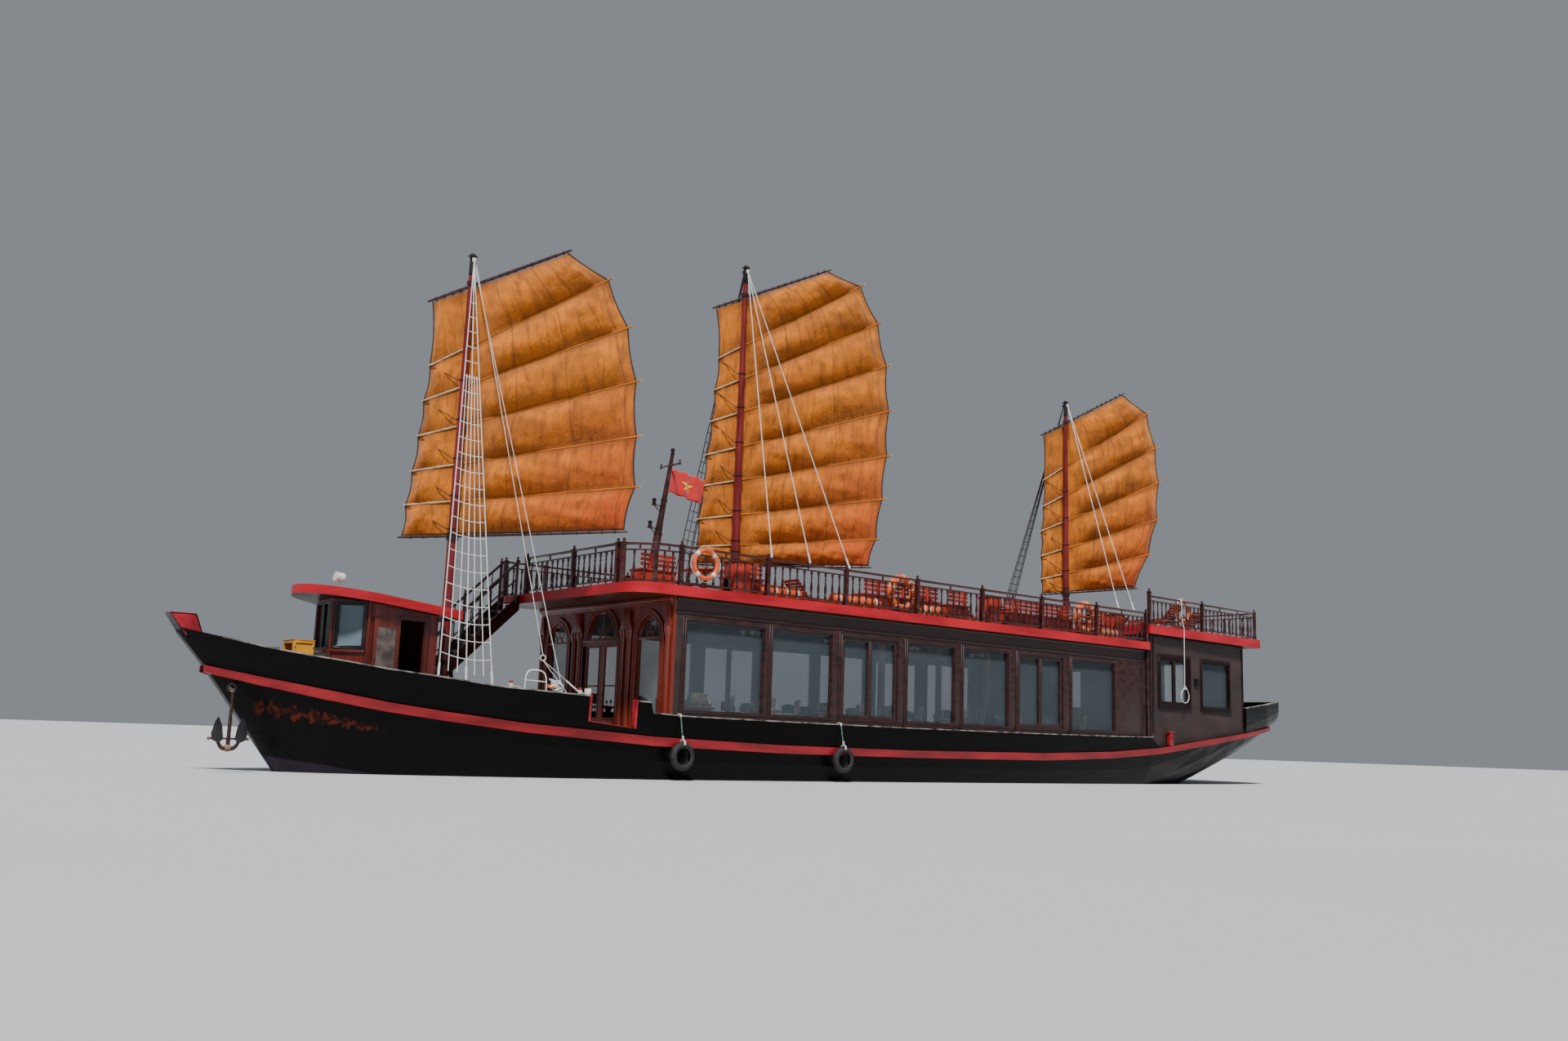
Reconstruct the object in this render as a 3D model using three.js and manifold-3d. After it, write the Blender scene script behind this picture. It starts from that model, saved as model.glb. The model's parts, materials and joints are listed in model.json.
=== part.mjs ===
// A three-masted sailing junk fitted out for dining cruises, in millimetres.
// The origin is on the centreline at the waterline amidships, +X to the bow, +Y to port, +Z up.
import * as THREE from "three";
import { mergeVertices } from "three/addons/utils/BufferGeometryUtils.js";
import Module from "manifold-3d";

const wasm = await Module();
wasm.setup();

// Clearance left between pieces that touch, and round a shaft or mast that turns in a hole.
const GAP = 0.3;
const RUNNING_GAP = 0.5;
// How high and how wide a cutting block reaches to clear the decks and the sides.
const HIGH = 5000;
const WIDE = 4000;

// Hull
const TRANSOM_X = -18500;
const BULWARK_THICK = 110;
const KEEL_HALF = 90;
const WALE_PROUD = 70;

// Stations of the hull: x, height of the keel or stem, half breadth and height of the sheer,
// and how full the section is between them.
const STATIONS = [
  { x: 19130, keelZ: 2700, half: 210, sheerZ: 2790, full: 1.0 },
  { x: 18560, keelZ: 2050, half: 560, sheerZ: 2670, full: 1.05 },
  { x: 17690, keelZ: 920, half: 990, sheerZ: 2480, full: 1.2 },
  { x: 16980, keelZ: 0, half: 1350, sheerZ: 2360, full: 1.35 },
  { x: 16300, keelZ: -650, half: 1660, sheerZ: 2270, full: 1.45 },
  { x: 15500, keelZ: -1000, half: 1940, sheerZ: 2150, full: 1.55 },
  { x: 14500, keelZ: -1180, half: 2210, sheerZ: 2050, full: 1.7 },
  { x: 13200, keelZ: -1290, half: 2500, sheerZ: 1900, full: 1.9 },
  { x: 11600, keelZ: -1370, half: 2780, sheerZ: 1820, full: 2.15 },
  { x: 9740, keelZ: -1420, half: 3025, sheerZ: 1720, full: 2.4 },
  { x: 9680, keelZ: -1421, half: 3030, sheerZ: 1490, full: 2.41 },
  { x: 8900, keelZ: -1430, half: 3090, sheerZ: 1445, full: 2.5 },
  { x: 6000, keelZ: -1450, half: 3200, sheerZ: 1420, full: 2.6 },
  { x: 1500, keelZ: -1450, half: 3250, sheerZ: 1400, full: 2.7 },
  { x: -3800, keelZ: -1430, half: 3250, sheerZ: 1410, full: 2.6 },
  { x: -7000, keelZ: -1330, half: 3210, sheerZ: 1430, full: 2.4 },
  { x: -9100, keelZ: -1150, half: 3170, sheerZ: 1460, full: 2.3 },
  { x: -10700, keelZ: -820, half: 3120, sheerZ: 1780, full: 2.3 },
  { x: -12600, keelZ: -180, half: 3020, sheerZ: 2200, full: 2.8 },
  { x: -14000, keelZ: 420, half: 2920, sheerZ: 2450, full: 3.6 },
  { x: -15100, keelZ: 870, half: 2820, sheerZ: 2600, full: 4.2 },
  { x: -17000, keelZ: 1500, half: 2480, sheerZ: 2800, full: 4.2 },
  { x: -18500, keelZ: 1980, half: 2060, sheerZ: 2960, full: 4.0 },
];
// Heights of a section's points, as shares of the way from keel to sheer.
const SECTION_STEPS = [0, 0.07, 0.17, 0.3, 0.46, 0.64, 0.82, 1];

// Top edge of the red rubbing strake, and how high the strake is there.
const WALE = [
  { x: 18600, z: 2085, high: 142 },
  { x: 17640, z: 1880, high: 170 },
  { x: 16580, z: 1680, high: 200 },
  { x: 15450, z: 1480, high: 195 },
  { x: 14270, z: 1330, high: 190 },
  { x: 12660, z: 1160, high: 195 },
  { x: 9590, z: 960, high: 205 },
  { x: 5940, z: 860, high: 195 },
  { x: 1540, z: 830, high: 190 },
  { x: -3780, z: 870, high: 210 },
  { x: -6980, z: 970, high: 200 },
  { x: -9520, z: 1140, high: 190 },
  { x: -12630, z: 1490, high: 190 },
  { x: -14950, z: 1740, high: 150 },
  { x: -17600, z: 2040, high: 120 },
  { x: TRANSOM_X, z: 2160, high: 110 },
];

// Decks
// Heights of the foredeck's seat under the windlass, the wheelhouse and the foremast, and at the saloon.
const DECK_Z = { windlass: 1440, wheelhouse: 1380, mast: 1110, saloon: 910 };
const FOREDECK = [
  { x: 17550, z: DECK_Z.windlass },
  { x: 16430, z: DECK_Z.windlass },
  { x: 16410, z: DECK_Z.wheelhouse },
  { x: 14040, z: DECK_Z.wheelhouse },
  { x: 13990, z: DECK_Z.mast },
  { x: 12900, z: DECK_Z.mast },
  { x: 11600, z: 990 },
  { x: 9800, z: DECK_Z.saloon },
  { x: 9235, z: DECK_Z.saloon },
];
const FOREDECK_END = FOREDECK[FOREDECK.length - 1].x;
const DECK_THICK = 40;
const SALOON_FLOOR_Z = DECK_Z.saloon;
const SALOON_SEAT_Z = 1395;
const AFT_FLOOR_Z = 1500;
const STERN_DECK_Z = 2200;
// Fore peak platform, below the sheer by this much, and where it ends.
const PEAK = { front: 18600, back: 17560, drop: 300 };
// Head of the stem, seen from the side: x and height of its corners.
const STEM_HEAD = [
  [19360, 3080],
  [18850, 3080],
  [18660, 2600],
  [19010, 2600],
];
const STEM_HEAD_HALF = 190;

// Boarding gate in the forward bulwark, and the sloping end of the bulwark behind it.
const GATE = { front: 11190, back: 10120, sillFront: 1240, sillBack: 1120, inside: 2300 };
// Where the midship bulwark ends, sloping down to the strake.
const MID_END = { top: -9150, foot: -9560 };
// Where the after bulwark begins behind the aft cabin.
const STERN_BULWARK_X = -15050;
const STERN_BENDS = STATIONS.map(({ x }) => x).filter((x) => x < STERN_BULWARK_X && x > TRANSOM_X);

// Skeg, propeller aperture and rudder under the counter.
const SKEG = { front: -7000, back: -11900, half: 70, low: -1500 };
const HEEL = { back: -13250, high: -1420 };
const PROPELLER = { x: -12250, z: -920, hub: 95, tip: 440, shaft: 45, bore: 520 };
const RUDDER = { x: -12980, stock: 50, fore: 200, aft: 760, low: -1415, high: -260, portTop: 260 };

// Saloon
const SALOON = { front: 9230, back: -8900, half: 3000, inner: 2900, wall: 80, top: 4180 };
// Side windows of the saloon: forward edge, aft edge, and whether it has two panes.
const SALOON_WINDOWS = [
  { front: 8860, back: 6530, paired: false },
  { front: 6270, back: 4330, paired: false },
  { front: 3970, back: 1990, paired: true },
  { front: 1620, back: -190, paired: false },
  { front: -560, back: -2420, paired: false },
  { front: -2860, back: -4870, paired: true },
  { front: -5300, back: -7380, paired: false },
];
const WINDOW_SILL = 1560;
const WINDOW_HEAD = 3650;
const MULLION = 70;
const GLASS_THICK = 10;
// How far a sheet of glass runs past its opening, behind the wall.
const GLASS_LAP = 60;
// Front wall: the doorway under its round fanlight, and the arched light at each side.
const FRONT_DOOR = { half: 800, head: 3230 };
// Opening in a front door's leaf: width of its stiles, and how far it stands off the foot and the head.
const DOOR_LIGHT = { stile: 130, low: 420, head: 150 };
const FANLIGHT = { half: 640, sill: 3290, spring: 3300 };
const FRONT_ARCH = { y: 2070, half: 480, sill: 1250, spring: 3265 };
const FRONT_WALL = 90;
// Hinges of the front doors: barrel radius and length, how far inside the leaf the pin stands, and heights.
const HINGE = { radius: 14, long: 120, inset: 8, heights: [1200, 2000, 2850] };

// Upper deck
const UPPER_DECK = { front: 10450, back: -8990, half: 3200, bottom: 4180, top: 4420, corner: 750 };
const RAIL_INSET = 100;
const RAIL_HIGH = 940;
const NEWEL_HIGH = 1050;

// Aft cabin
const AFT = { front: -9030, back: -15049, halfFront: 3060, halfBack: 2740, wall: 80, top: 4700 };
const AFT_WINDOWS = [
  { front: -9720, back: -11500 },
  { front: -12300, back: -14050 },
];
const AFT_WINDOW_SILL = 2510;
const AFT_WINDOW_HEAD = 4010;
// Doorway from the stern deck, and the one in the bulkhead between the saloon and the cabin.
const AFT_DOOR = { half: 420, head: 4140 };
const BULKHEAD_DOOR = { half: 450, sill: 1600, head: 3550 };
const AFT_ROOF = { front: -9010, back: -15850, half: 3200, halfBack: 2950, bottom: 4700, top: 4990 };

// Wheelhouse
const WHEELHOUSE = { back: 14060, shoulder: 15620, front: 16200, half: 1000, frontHalf: 430, wall: 60 };
const WHEELHOUSE_ROOF = { back: 13610, waist: 15400, nose: 16890, half: 1250, thick: 190, zBack: 3350, zFront: 3704 };
const WHEELHOUSE_DOOR = { front: 14950, back: 14380, sill: 1480, head: 3250 };
// A leaf's thickness, and how far it stands off the wall.
const DOOR_LEAF = { thick: 44, stand: 6 };
// Windows: heights, half breadth of the one in the front, and length of those in the slanting walls.
const WHEELHOUSE_WINDOW = { sill: 2610, head: 3530, half: 350, slant: 610 };

// Masts: x, foot, top, and radius at the foot.
const MASTS = {
  fore: { x: 13400, foot: DECK_Z.mast + DECK_THICK, top: 12150, radius: 135 },
  main: { x: 5200, foot: 4420, top: 14000, radius: 130 },
  mizzen: { x: -8850, foot: 4420, top: 12800, radius: 115 },
};
const MAST_TIP_RADIUS = 60;
const MAST_SIDES = 16;
// How far the sails are swung out to port, and how far the cloth hangs beside the mast.
const SAIL_SWING = 40;
const SAIL_THICK = 30;
const SAIL_CLEAR = 46;
// Battens: radius, and how far they stand out of the cloth at each edge.
const BATTEN = { radius: 30, luff: 30, leech: 90 };
// Spars: above (1) or below (-1) the cloth, radius, and how far they run past it; they bed into it a little.
const YARD = { side: 1, radius: 42, reach: 110 };
const BOOM = { side: -1, radius: 38, reach: 90 };
const SPAR_BED = 4;
// Hoops that hold the spars to the mast.
const HOOP = { high: 96, thick: 28 };
// Sail edges, in mm along the yard's plane from the mast (aft is positive) and in height:
// the luff end and the leech end of the yard, each batten and the foot.
const SAILS = {
  fore: [
    { luff: [-910, 10980], leech: [2220, 12290] },
    { luff: [-860, 9410], leech: [3220, 11650] },
    { luff: [-950, 8550], leech: [3750, 10490] },
    { luff: [-1010, 7700], leech: [4010, 9180] },
    { luff: [-1090, 6860], leech: [4080, 7860] },
    { luff: [-1180, 6060], leech: [4110, 6660] },
    { luff: [-1210, 5340], leech: [3900, 5640] },
  ],
  main: [
    { luff: [-790, 12780], leech: [2280, 13940] },
    { luff: [-670, 11340], leech: [3200, 13540] },
    { luff: [-750, 10430], leech: [3710, 12480] },
    { luff: [-800, 9540], leech: [3970, 11270] },
    { luff: [-900, 8600], leech: [4060, 9990] },
    { luff: [-970, 7730], leech: [4030, 8730] },
    { luff: [-1050, 6810], leech: [3930, 7530] },
    { luff: [-1060, 6060], leech: [3790, 6420] },
    { luff: [-1050, 5620], leech: [3590, 5690] },
  ],
  mizzen: [
    { luff: [-720, 11600], leech: [1990, 13110] },
    { luff: [-720, 10030], leech: [2820, 12470] },
    { luff: [-740, 9120], leech: [3100, 11270] },
    { luff: [-810, 8260], leech: [3200, 10060] },
    { luff: [-810, 7410], leech: [3120, 8780] },
    { luff: [-810, 6620], leech: [2820, 7570] },
    { luff: [-780, 6150], leech: [2340, 6450] },
  ],
};

// Shrouds: how high they are gathered on the mast, and x of their feet on each side. The foremast's
// stand on the bulwark and the others on the handrails. To starboard they lead aft, clear of the sails.
const SHROUDS = {
  fore: { hound: 11970, port: [14520, 13950, 13400], starboard: [] },
  main: { hound: 13800, port: [6450, 5200, 3850], starboard: [5000, 4550, 3850] },
  mizzen: { hound: 12620, port: [-7500, -8300], starboard: [-9300, -9750] },
};
const SHROUD_RADIUS = 14;
const SHROUD_SINK = 40;

// Rails of the upper decks: sections of the handrail, foot rail, balusters and newels.
const RAIL = { thick: 60, top: 70, foot: 70, lift: 60, post: 45, newel: 110 };
const RAIL_Y = UPPER_DECK.half - RAIL_INSET;
const RAIL_X = UPPER_DECK.front - RAIL_INSET;
const SIDE_NEWELS = [9150, 6560, 3970, 1380, -1210, -3800, -6390, -8920];
const RAIL_BAY = 430;
const AFT_RAIL = { front: -9110, middle: -12250, back: -15650, halfMiddle: 2980, halfBack: 2860 };

// Stair from the foredeck to the upper deck, drawn from its head, going forward and down. Its handrail and
// the bar below it stand above the string on posts.
const STAIR = {
  back: 62.5,
  y: -2390,
  run: 3445,
  width: 680,
  steps: 15,
  turn: 11,
  plank: 45,
  head: -6,
  deep: 400,
  toe: 270,
  tread: { from: -240, to: -50, thick: 40 },
  posts: [120, 1200, 2280, 3370],
  post: { low: -120, high: 960, radius: 38 },
  rails: [
    { from: 60, up: 900, radius: 32 },
    { from: 120, up: 480, radius: 20 },
  ],
};

// Step that holds the foremast: a box on the foredeck, and a raked brace and hoop behind the mast.
const TABERNACLE = {
  front: 230,
  back: 330,
  half: 240,
  high: 420,
  brace: [60, 50],
  hoop: [1250, 1350],
  wall: 40,
};

// Anchor hanging at the port bow on a short length of chain.
const ANCHOR = { x: 18190, y: 760, top: 1560, crown: 400, arm: 420, stock: 400, chain: [-60, -620, 120] };

// Windlass on the foredeck before the wheelhouse: a housing, open to the front and back above its base,
// with the drum through its sides.
const WINDLASS = { back: 16470, front: 16920, half: 300, high: 1230, base: 420, plate: 60 };
const DRUM = { x: 16690, z: 720, half: 460, radius: 150 };

// Searchlight on the wheelhouse roof.
const SEARCHLIGHT = { x: 15940, z: 340, stem: 22, flange: 70 };
const LAMP_HEAD = { back: -90, front: 110, rear: 95, rim: 110, tilt: 15 };

// Raked light mast on the upper deck, with its crosstree and lamps.
const LIGHT_MAST = {
  foot: [7990, 0, UPPER_DECK.top + GAP],
  top: [7385, 0, 8290],
  radius: [105, 45],
  arms: [6250, 6850],
  crosstree: { z: 7950, half: 30, reach: 420 },
};

// Flag on the light mast: its hoist, how far each fold reaches aft and droops, and how deep the folds are.
const FLAG = { low: 7260, high: 7880, thick: 12, stand: 82 };
const FOLDS = { count: 6, reach: 180, droop: 36, deep: 70, turn: 1.3 };

// Tyre fenders hung from the bulwark's cap on short ropes.
const FENDERS = [
  { name: "fender_fore", x: 8980 },
  { name: "fender_aft", x: 4160 },
];
const TYRE = { outer: 318, inner: 190, thick: 165, z: 540 };

// Rope with a loop at its end, hanging from the aft rail outside the cabin; its route is in mm.
const ROPE = { radius: 14, sides: 8, step: 70 };
const ROPE_ROUTE = [
  [-10920, 3075.2, 5880],
  [-10925, 3088, 5500],
  [-10928, 3106, 5180],
  [-10930, 3150, 5000],
  [-10930, 3152, 4650],
  [-10925, 3152, 4000],
  [-10920, 3152, 3400],
  [-10895, 3152, 3090],
  [-10780, 3152, 2980],
  [-10712, 3152, 2830],
  [-10765, 3152, 2670],
  [-10930, 3152, 2600],
  [-11095, 3152, 2670],
  [-11148, 3152, 2830],
  [-11075, 3160, 2990],
  [-10955, 3192, 3070],
];

// Colours, roughness and metalness
const FINISHES = {
  hullBlack: [0x0b0a0c, 0.25, 0],
  waleRed: [0x9c1424, 0.4, 0],
  fasciaRed: [0xb8213a, 0.45, 0],
  mastRed: [0x6a1216, 0.4, 0],
  teak: [0x8a6a48, 0.7, 0],
  mahogany: [0x4a1a12, 0.3, 0],
  darkRail: [0x2a0f0e, 0.35, 0],
  wallBrown: [0x2a2323, 0.8, 0],
  glass: [0x8fa0a6, 0.05, 0],
  canvas: [0xc8812a, 0.9, 0],
  rope: [0xd8d4c8, 0.9, 0],
  iron: [0x2a2420, 0.7, 0.6],
  bronze: [0x8a6a3a, 0.35, 0.9],
  rubber: [0x17171a, 0.85, 0],
  white: [0xe8e8e4, 0.4, 0],
  flagRed: [0xd01c20, 0.8, 0],
  yellow: [0xd89a1c, 0.5, 0],
};

function finish(name) {
  const [color, roughness, metalness] = FINISHES[name];
  return new THREE.MeshStandardMaterial({ color, roughness, metalness });
}

// A closed geometry as a solid that can be joined and cut.
function solid(geometry) {
  const bare = geometry.index ? geometry.clone() : geometry;
  for (const name of ["normal", "uv"]) bare.deleteAttribute(name);
  const merged = mergeVertices(bare, 1e-3);
  const mesh = new wasm.Mesh({
    numProp: 3,
    vertProperties: Float32Array.from(merged.attributes.position.array),
    triVerts: Uint32Array.from(merged.index.array),
  });
  return new wasm.Manifold(mesh);
}

function join(...solids) {
  return solids.reduce((a, b) => a.add(b));
}

function cut(body, ...tools) {
  return tools.reduce((a, b) => a.subtract(b), body);
}

function geometryOf(body) {
  const mesh = body.getMesh();
  const stride = mesh.numProp;
  const points = new Float32Array(mesh.numVert * 3);
  for (let i = 0; i < mesh.numVert; i++) {
    points.set(mesh.vertProperties.subarray(i * stride, i * stride + 3), i * 3);
  }
  const geometry = new THREE.BufferGeometry();
  geometry.setAttribute("position", new THREE.BufferAttribute(points, 3));
  geometry.setIndex(new THREE.BufferAttribute(mesh.triVerts, 1));
  return geometry;
}

const ship = new THREE.Group();

function addPiece(name, body, look) {
  const geometry = body.isBufferGeometry ? body : geometryOf(body);
  const mesh = new THREE.Mesh(geometry, finish(look));
  mesh.name = name;
  ship.add(mesh);
  return mesh;
}

// A block between two corners.
function block(x0, x1, y0, y1, z0, z1) {
  const box = new THREE.BoxGeometry(Math.abs(x1 - x0), Math.abs(y1 - y0), Math.abs(z1 - z0));
  box.translate((x0 + x1) / 2, (y0 + y1) / 2, (z0 + z1) / 2);
  return solid(box);
}

// A straight round bar from one point to another, with as many sides as asked.
function bar(from, to, r0, r1 = r0, sides = 8) {
  const a = new THREE.Vector3(...from);
  const b = new THREE.Vector3(...to);
  const rod = new THREE.CylinderGeometry(r1, r0, a.distanceTo(b), sides);
  const turn = new THREE.Quaternion().setFromUnitVectors(
    new THREE.Vector3(0, 1, 0),
    b.clone().sub(a).normalize(),
  );
  rod.applyQuaternion(turn);
  rod.translate((a.x + b.x) / 2, (a.y + b.y) / 2, (a.z + b.z) / 2);
  return solid(rod);
}

// A flat outline, given as a shape or as its corners.
function outlineOf(points) {
  if (points instanceof THREE.Shape) return points;
  return new THREE.Shape(points.map(([a, b]) => new THREE.Vector2(a, b)));
}

// A flat outline in plan, pushed up from one height to another.
function slab(points, z0, z1) {
  const shape = outlineOf(points);
  const plate = new THREE.ExtrudeGeometry(shape, { depth: z1 - z0, bevelEnabled: false, curveSegments: 8 });
  plate.translate(0, 0, z0);
  return solid(plate);
}

// An outline drawn in X and Z, pushed across the ship from y0 to y1.
function sideProfile(points, y0, y1) {
  const shape = outlineOf(points);
  const plate = new THREE.ExtrudeGeometry(shape, {
    depth: Math.abs(y1 - y0),
    bevelEnabled: false,
    curveSegments: 8,
  });
  plate.rotateX(Math.PI / 2);
  plate.translate(0, Math.max(y0, y1), 0);
  return solid(plate);
}

// An outline drawn in Y and Z, pushed along the ship from x0 to x1.
function crossProfile(points, x0, x1) {
  const shape = outlineOf(points);
  const plate = new THREE.ExtrudeGeometry(shape, {
    depth: Math.abs(x1 - x0),
    bevelEnabled: false,
    curveSegments: 10,
  });
  plate.rotateX(Math.PI / 2);
  plate.rotateZ(Math.PI / 2);
  plate.translate(Math.min(x0, x1), 0, 0);
  return solid(plate);
}

// Rings of points, each with the same count, skinned into one closed body.
function skin(rings) {
  const count = rings[0].length;
  const points = rings.flat(2);
  const index = [];
  for (let i = 0; i + 1 < rings.length; i++) {
    for (let j = 0; j < count; j++) {
      const a = i * count + j;
      const b = i * count + ((j + 1) % count);
      index.push(a, b, b + count, a, b + count, a + count);
    }
  }
  const last = (rings.length - 1) * count;
  for (let j = 1; j + 1 < count; j++) {
    index.push(0, j + 1, j, last, last + j, last + j + 1);
  }
  const geometry = new THREE.BufferGeometry();
  geometry.setAttribute("position", new THREE.Float32BufferAttribute(points, 3));
  geometry.setIndex(index);
  const made = solid(geometry);
  if (made.volume() > 0) return made;
  const turned = index.slice();
  for (let i = 0; i < turned.length; i += 3) [turned[i + 1], turned[i + 2]] = [turned[i + 2], turned[i + 1]];
  geometry.setIndex(turned);
  return solid(geometry);
}

// Value of a table's column at x, straight between its rows; rows run from bow to stern.
function along(table, x, column) {
  if (x >= table[0].x) return table[0][column];
  for (let i = 1; i < table.length; i++) {
    const [a, b] = [table[i - 1], table[i]];
    if (x >= b.x) return b[column] + ((a[column] - b[column]) * (x - b.x)) / (a.x - b.x);
  }
  return table[table.length - 1][column];
}

function sheerZ(x) {
  return along(STATIONS, x, "sheerZ");
}

// Half breadth of a section at a share of its height.
function sectionHalf(station, share) {
  const rise = Math.pow(1 - Math.pow(1 - share, station.full), 1 / station.full);
  return KEEL_HALF + Math.max(station.half - KEEL_HALF, 0) * rise;
}

// Half breadth of the hull's side at any place on it.
function hullHalf(x, z) {
  const at = (column) => along(STATIONS, x, column);
  const share = Math.min(Math.max((z - at("keelZ")) / (at("sheerZ") - at("keelZ")), 0), 1);
  return sectionHalf({ half: at("half"), full: at("full") }, share);
}

// The whole outer form of the hull, swelled by a margin on each side.
function hullForm(margin = 0) {
  const rings = STATIONS.map((station) => {
    const side = SECTION_STEPS.map((share) => [
      station.x,
      sectionHalf(station, share) + margin,
      station.keelZ + (station.sheerZ - station.keelZ) * share,
    ]);
    const other = side.map(([x, y, z]) => [x, -y, z]).reverse();
    return [...side, ...other];
  });
  return skin(rings);
}

// A space inside the bulwarks, from a floor up past the sheer, between two stations.
function deckWell(xs, inset, floorAt) {
  const rings = xs.map((x) => {
    const floor = floorAt(x);
    const low = hullHalf(x, floor) - inset;
    const high = hullHalf(x, sheerZ(x)) - inset;
    const top = sheerZ(x) + 900;
    return [
      [x, low, floor],
      [x, high, top],
      [x, -high, top],
      [x, -low, floor],
    ];
  });
  return skin(rings);
}

// Planking laid on the floor of such a space.
function planking(xs, inset, floorAt) {
  const rings = xs.map((x) => {
    const floor = floorAt(x);
    const half = hullHalf(x, floor) - inset - 2;
    return [
      [x, half, floor + GAP],
      [x, half, floor + DECK_THICK],
      [x, -half, floor + DECK_THICK],
      [x, -half, floor + GAP],
    ];
  });
  return skin(rings);
}

// The places where the foredeck's height, or the hull's form, bends.
function foredeckStations() {
  const bends = [...FOREDECK, ...STATIONS].map(({ x }) => x);
  const inside = bends.filter((x) => x <= FOREDECK[0].x && x >= FOREDECK_END);
  return [...new Set(inside)].sort((a, b) => b - a);
}

const foredeckZ = (x) => along(FOREDECK, x, "z");
const waleZ = (x) => along(WALE, x, "z");

// Aft cabin half breadth, tapering to the stern, less a margin.
function aftHalf(x, margin = 0) {
  const share = (AFT.front - x) / (AFT.front - AFT.back);
  return AFT.halfFront + (AFT.halfBack - AFT.halfFront) * share - margin;
}

// Outline of the aft cabin in plan, inset by a margin.
function aftPlan(margin) {
  const [front, back] = [AFT.front - margin, AFT.back + margin];
  return [
    [front, -aftHalf(front, margin)],
    [front, aftHalf(front, margin)],
    [back, aftHalf(back, margin)],
    [back, -aftHalf(back, margin)],
  ];
}

// What is taken off the hull above the strake, beside the aft cabin.
function aftShoulder() {
  const edge = WALE.filter(({ x }) => x < MID_END.foot && x > STERN_BULWARK_X).map(({ x, z }) => [x, z]);
  return sideProfile(
    [
      [MID_END.top, HIGH],
      [MID_END.top, SALOON_SEAT_Z],
      [MID_END.foot, waleZ(MID_END.foot)],
      ...edge,
      [STERN_BULWARK_X, waleZ(STERN_BULWARK_X)],
      [STERN_BULWARK_X, HIGH],
    ],
    -WIDE,
    WIDE,
  );
}

// A running hole for a round shaft.
function turnedHole(from, to, radius) {
  const round = (radius + RUNNING_GAP) / Math.cos(Math.PI / MAST_SIDES);
  return bar(from, to, round, round, MAST_SIDES);
}

// Under the after keel, down to the skeg's foot.
function keelBelow() {
  return sideProfile(
    [
      [SKEG.front, SKEG.low + 130],
      [SKEG.front - 900, SKEG.low],
      [SKEG.back, SKEG.low],
      [SKEG.back, 0],
      [SKEG.front, 0],
    ],
    -200,
    200,
  );
}

function makeHull() {
  const form = hullForm();
  const head = sideProfile(STEM_HEAD, -STEM_HEAD_HALF, STEM_HEAD_HALF);
  const foredeckWell = deckWell(foredeckStations(), BULWARK_THICK, foredeckZ);
  const peakWell = deckWell([PEAK.front, 17690, PEAK.back], BULWARK_THICK, (x) => sheerZ(x) - PEAK.drop);
  const seat = (back, front, half, floor) => block(back, front, -half, half, floor, HIGH);
  const saloonWell = seat(SALOON.back, FOREDECK_END, SALOON.inner, SALOON_FLOOR_Z);
  const wallSeat = seat(MID_END.top, SALOON.front + 10, SALOON.half + 20, SALOON_SEAT_Z);
  const cornerSeat = seat(MID_END.top, SALOON.back, AFT.halfFront + 15, SALOON_SEAT_Z);
  const { front, back, sillFront, sillBack, inside } = GATE;
  const gate = [
    [front, sillFront],
    [front, HIGH],
    [back, HIGH],
    [back, sillBack],
  ];
  const gates = [1, -1].map((side) => sideProfile(gate, side * inside, side * WIDE));
  const sternEnds = [...STERN_BENDS, TRANSOM_X + BULWARK_THICK];
  const sternWell = deckWell([STERN_BULWARK_X, ...sternEnds], BULWARK_THICK, () => STERN_DECK_Z);
  const aftFloor = slab(aftPlan(AFT.wall + 2), 1000, AFT_FLOOR_Z).intersect(form);
  const aftWell = slab(aftPlan(AFT.wall + 2), AFT_FLOOR_Z, HIGH);
  const skeg = block(SKEG.front, SKEG.back, -SKEG.half, SKEG.half, SKEG.low, 0).intersect(keelBelow());
  const heel = block(SKEG.back + 50, HEEL.back, -SKEG.half, SKEG.half, SKEG.low, HEEL.high);
  const shaftEnd = PROPELLER.x + PROPELLER.bore;
  const bore = turnedHole([SKEG.back - 50, 0, PROPELLER.z], [shaftEnd, 0, PROPELLER.z], PROPELLER.shaft);
  const port = turnedHole([RUDDER.x, 0, -300], [RUDDER.x, 0, RUDDER.portTop], RUDDER.stock);
  const whole = cut(join(form, head, skeg, heel), bore, port);
  const hollowed = cut(whole, foredeckWell, peakWell, saloonWell, wallSeat, cornerSeat, ...gates, sternWell);
  return cut(join(cut(hollowed, aftShoulder()), aftFloor), aftWell);
}

// The red strake along one side, lying on the hull.
function makeWale(side, hullGrown) {
  const bends = [...WALE, ...STATIONS].map(({ x }) => x);
  const xs = [...new Set(bends)].filter((x) => x <= WALE[0].x && x > TRANSOM_X + 5).sort((a, b) => b - a);
  const rings = xs.map((x) => {
    const top = waleZ(x);
    const low = top - along(WALE, x, "high");
    const out = hullHalf(x, top) + WALE_PROUD;
    const inside = Math.max(hullHalf(x, low) - 250, KEEL_HALF + 20);
    return [
      [x, side * inside, low],
      [x, side * out, low],
      [x, side * out, top - 2],
      [x, side * inside, top - 2],
    ];
  });
  const strake = skin(rings).subtract(hullGrown);
  return strake.decompose().sort((a, b) => b.volume() - a.volume())[0];
}

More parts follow.
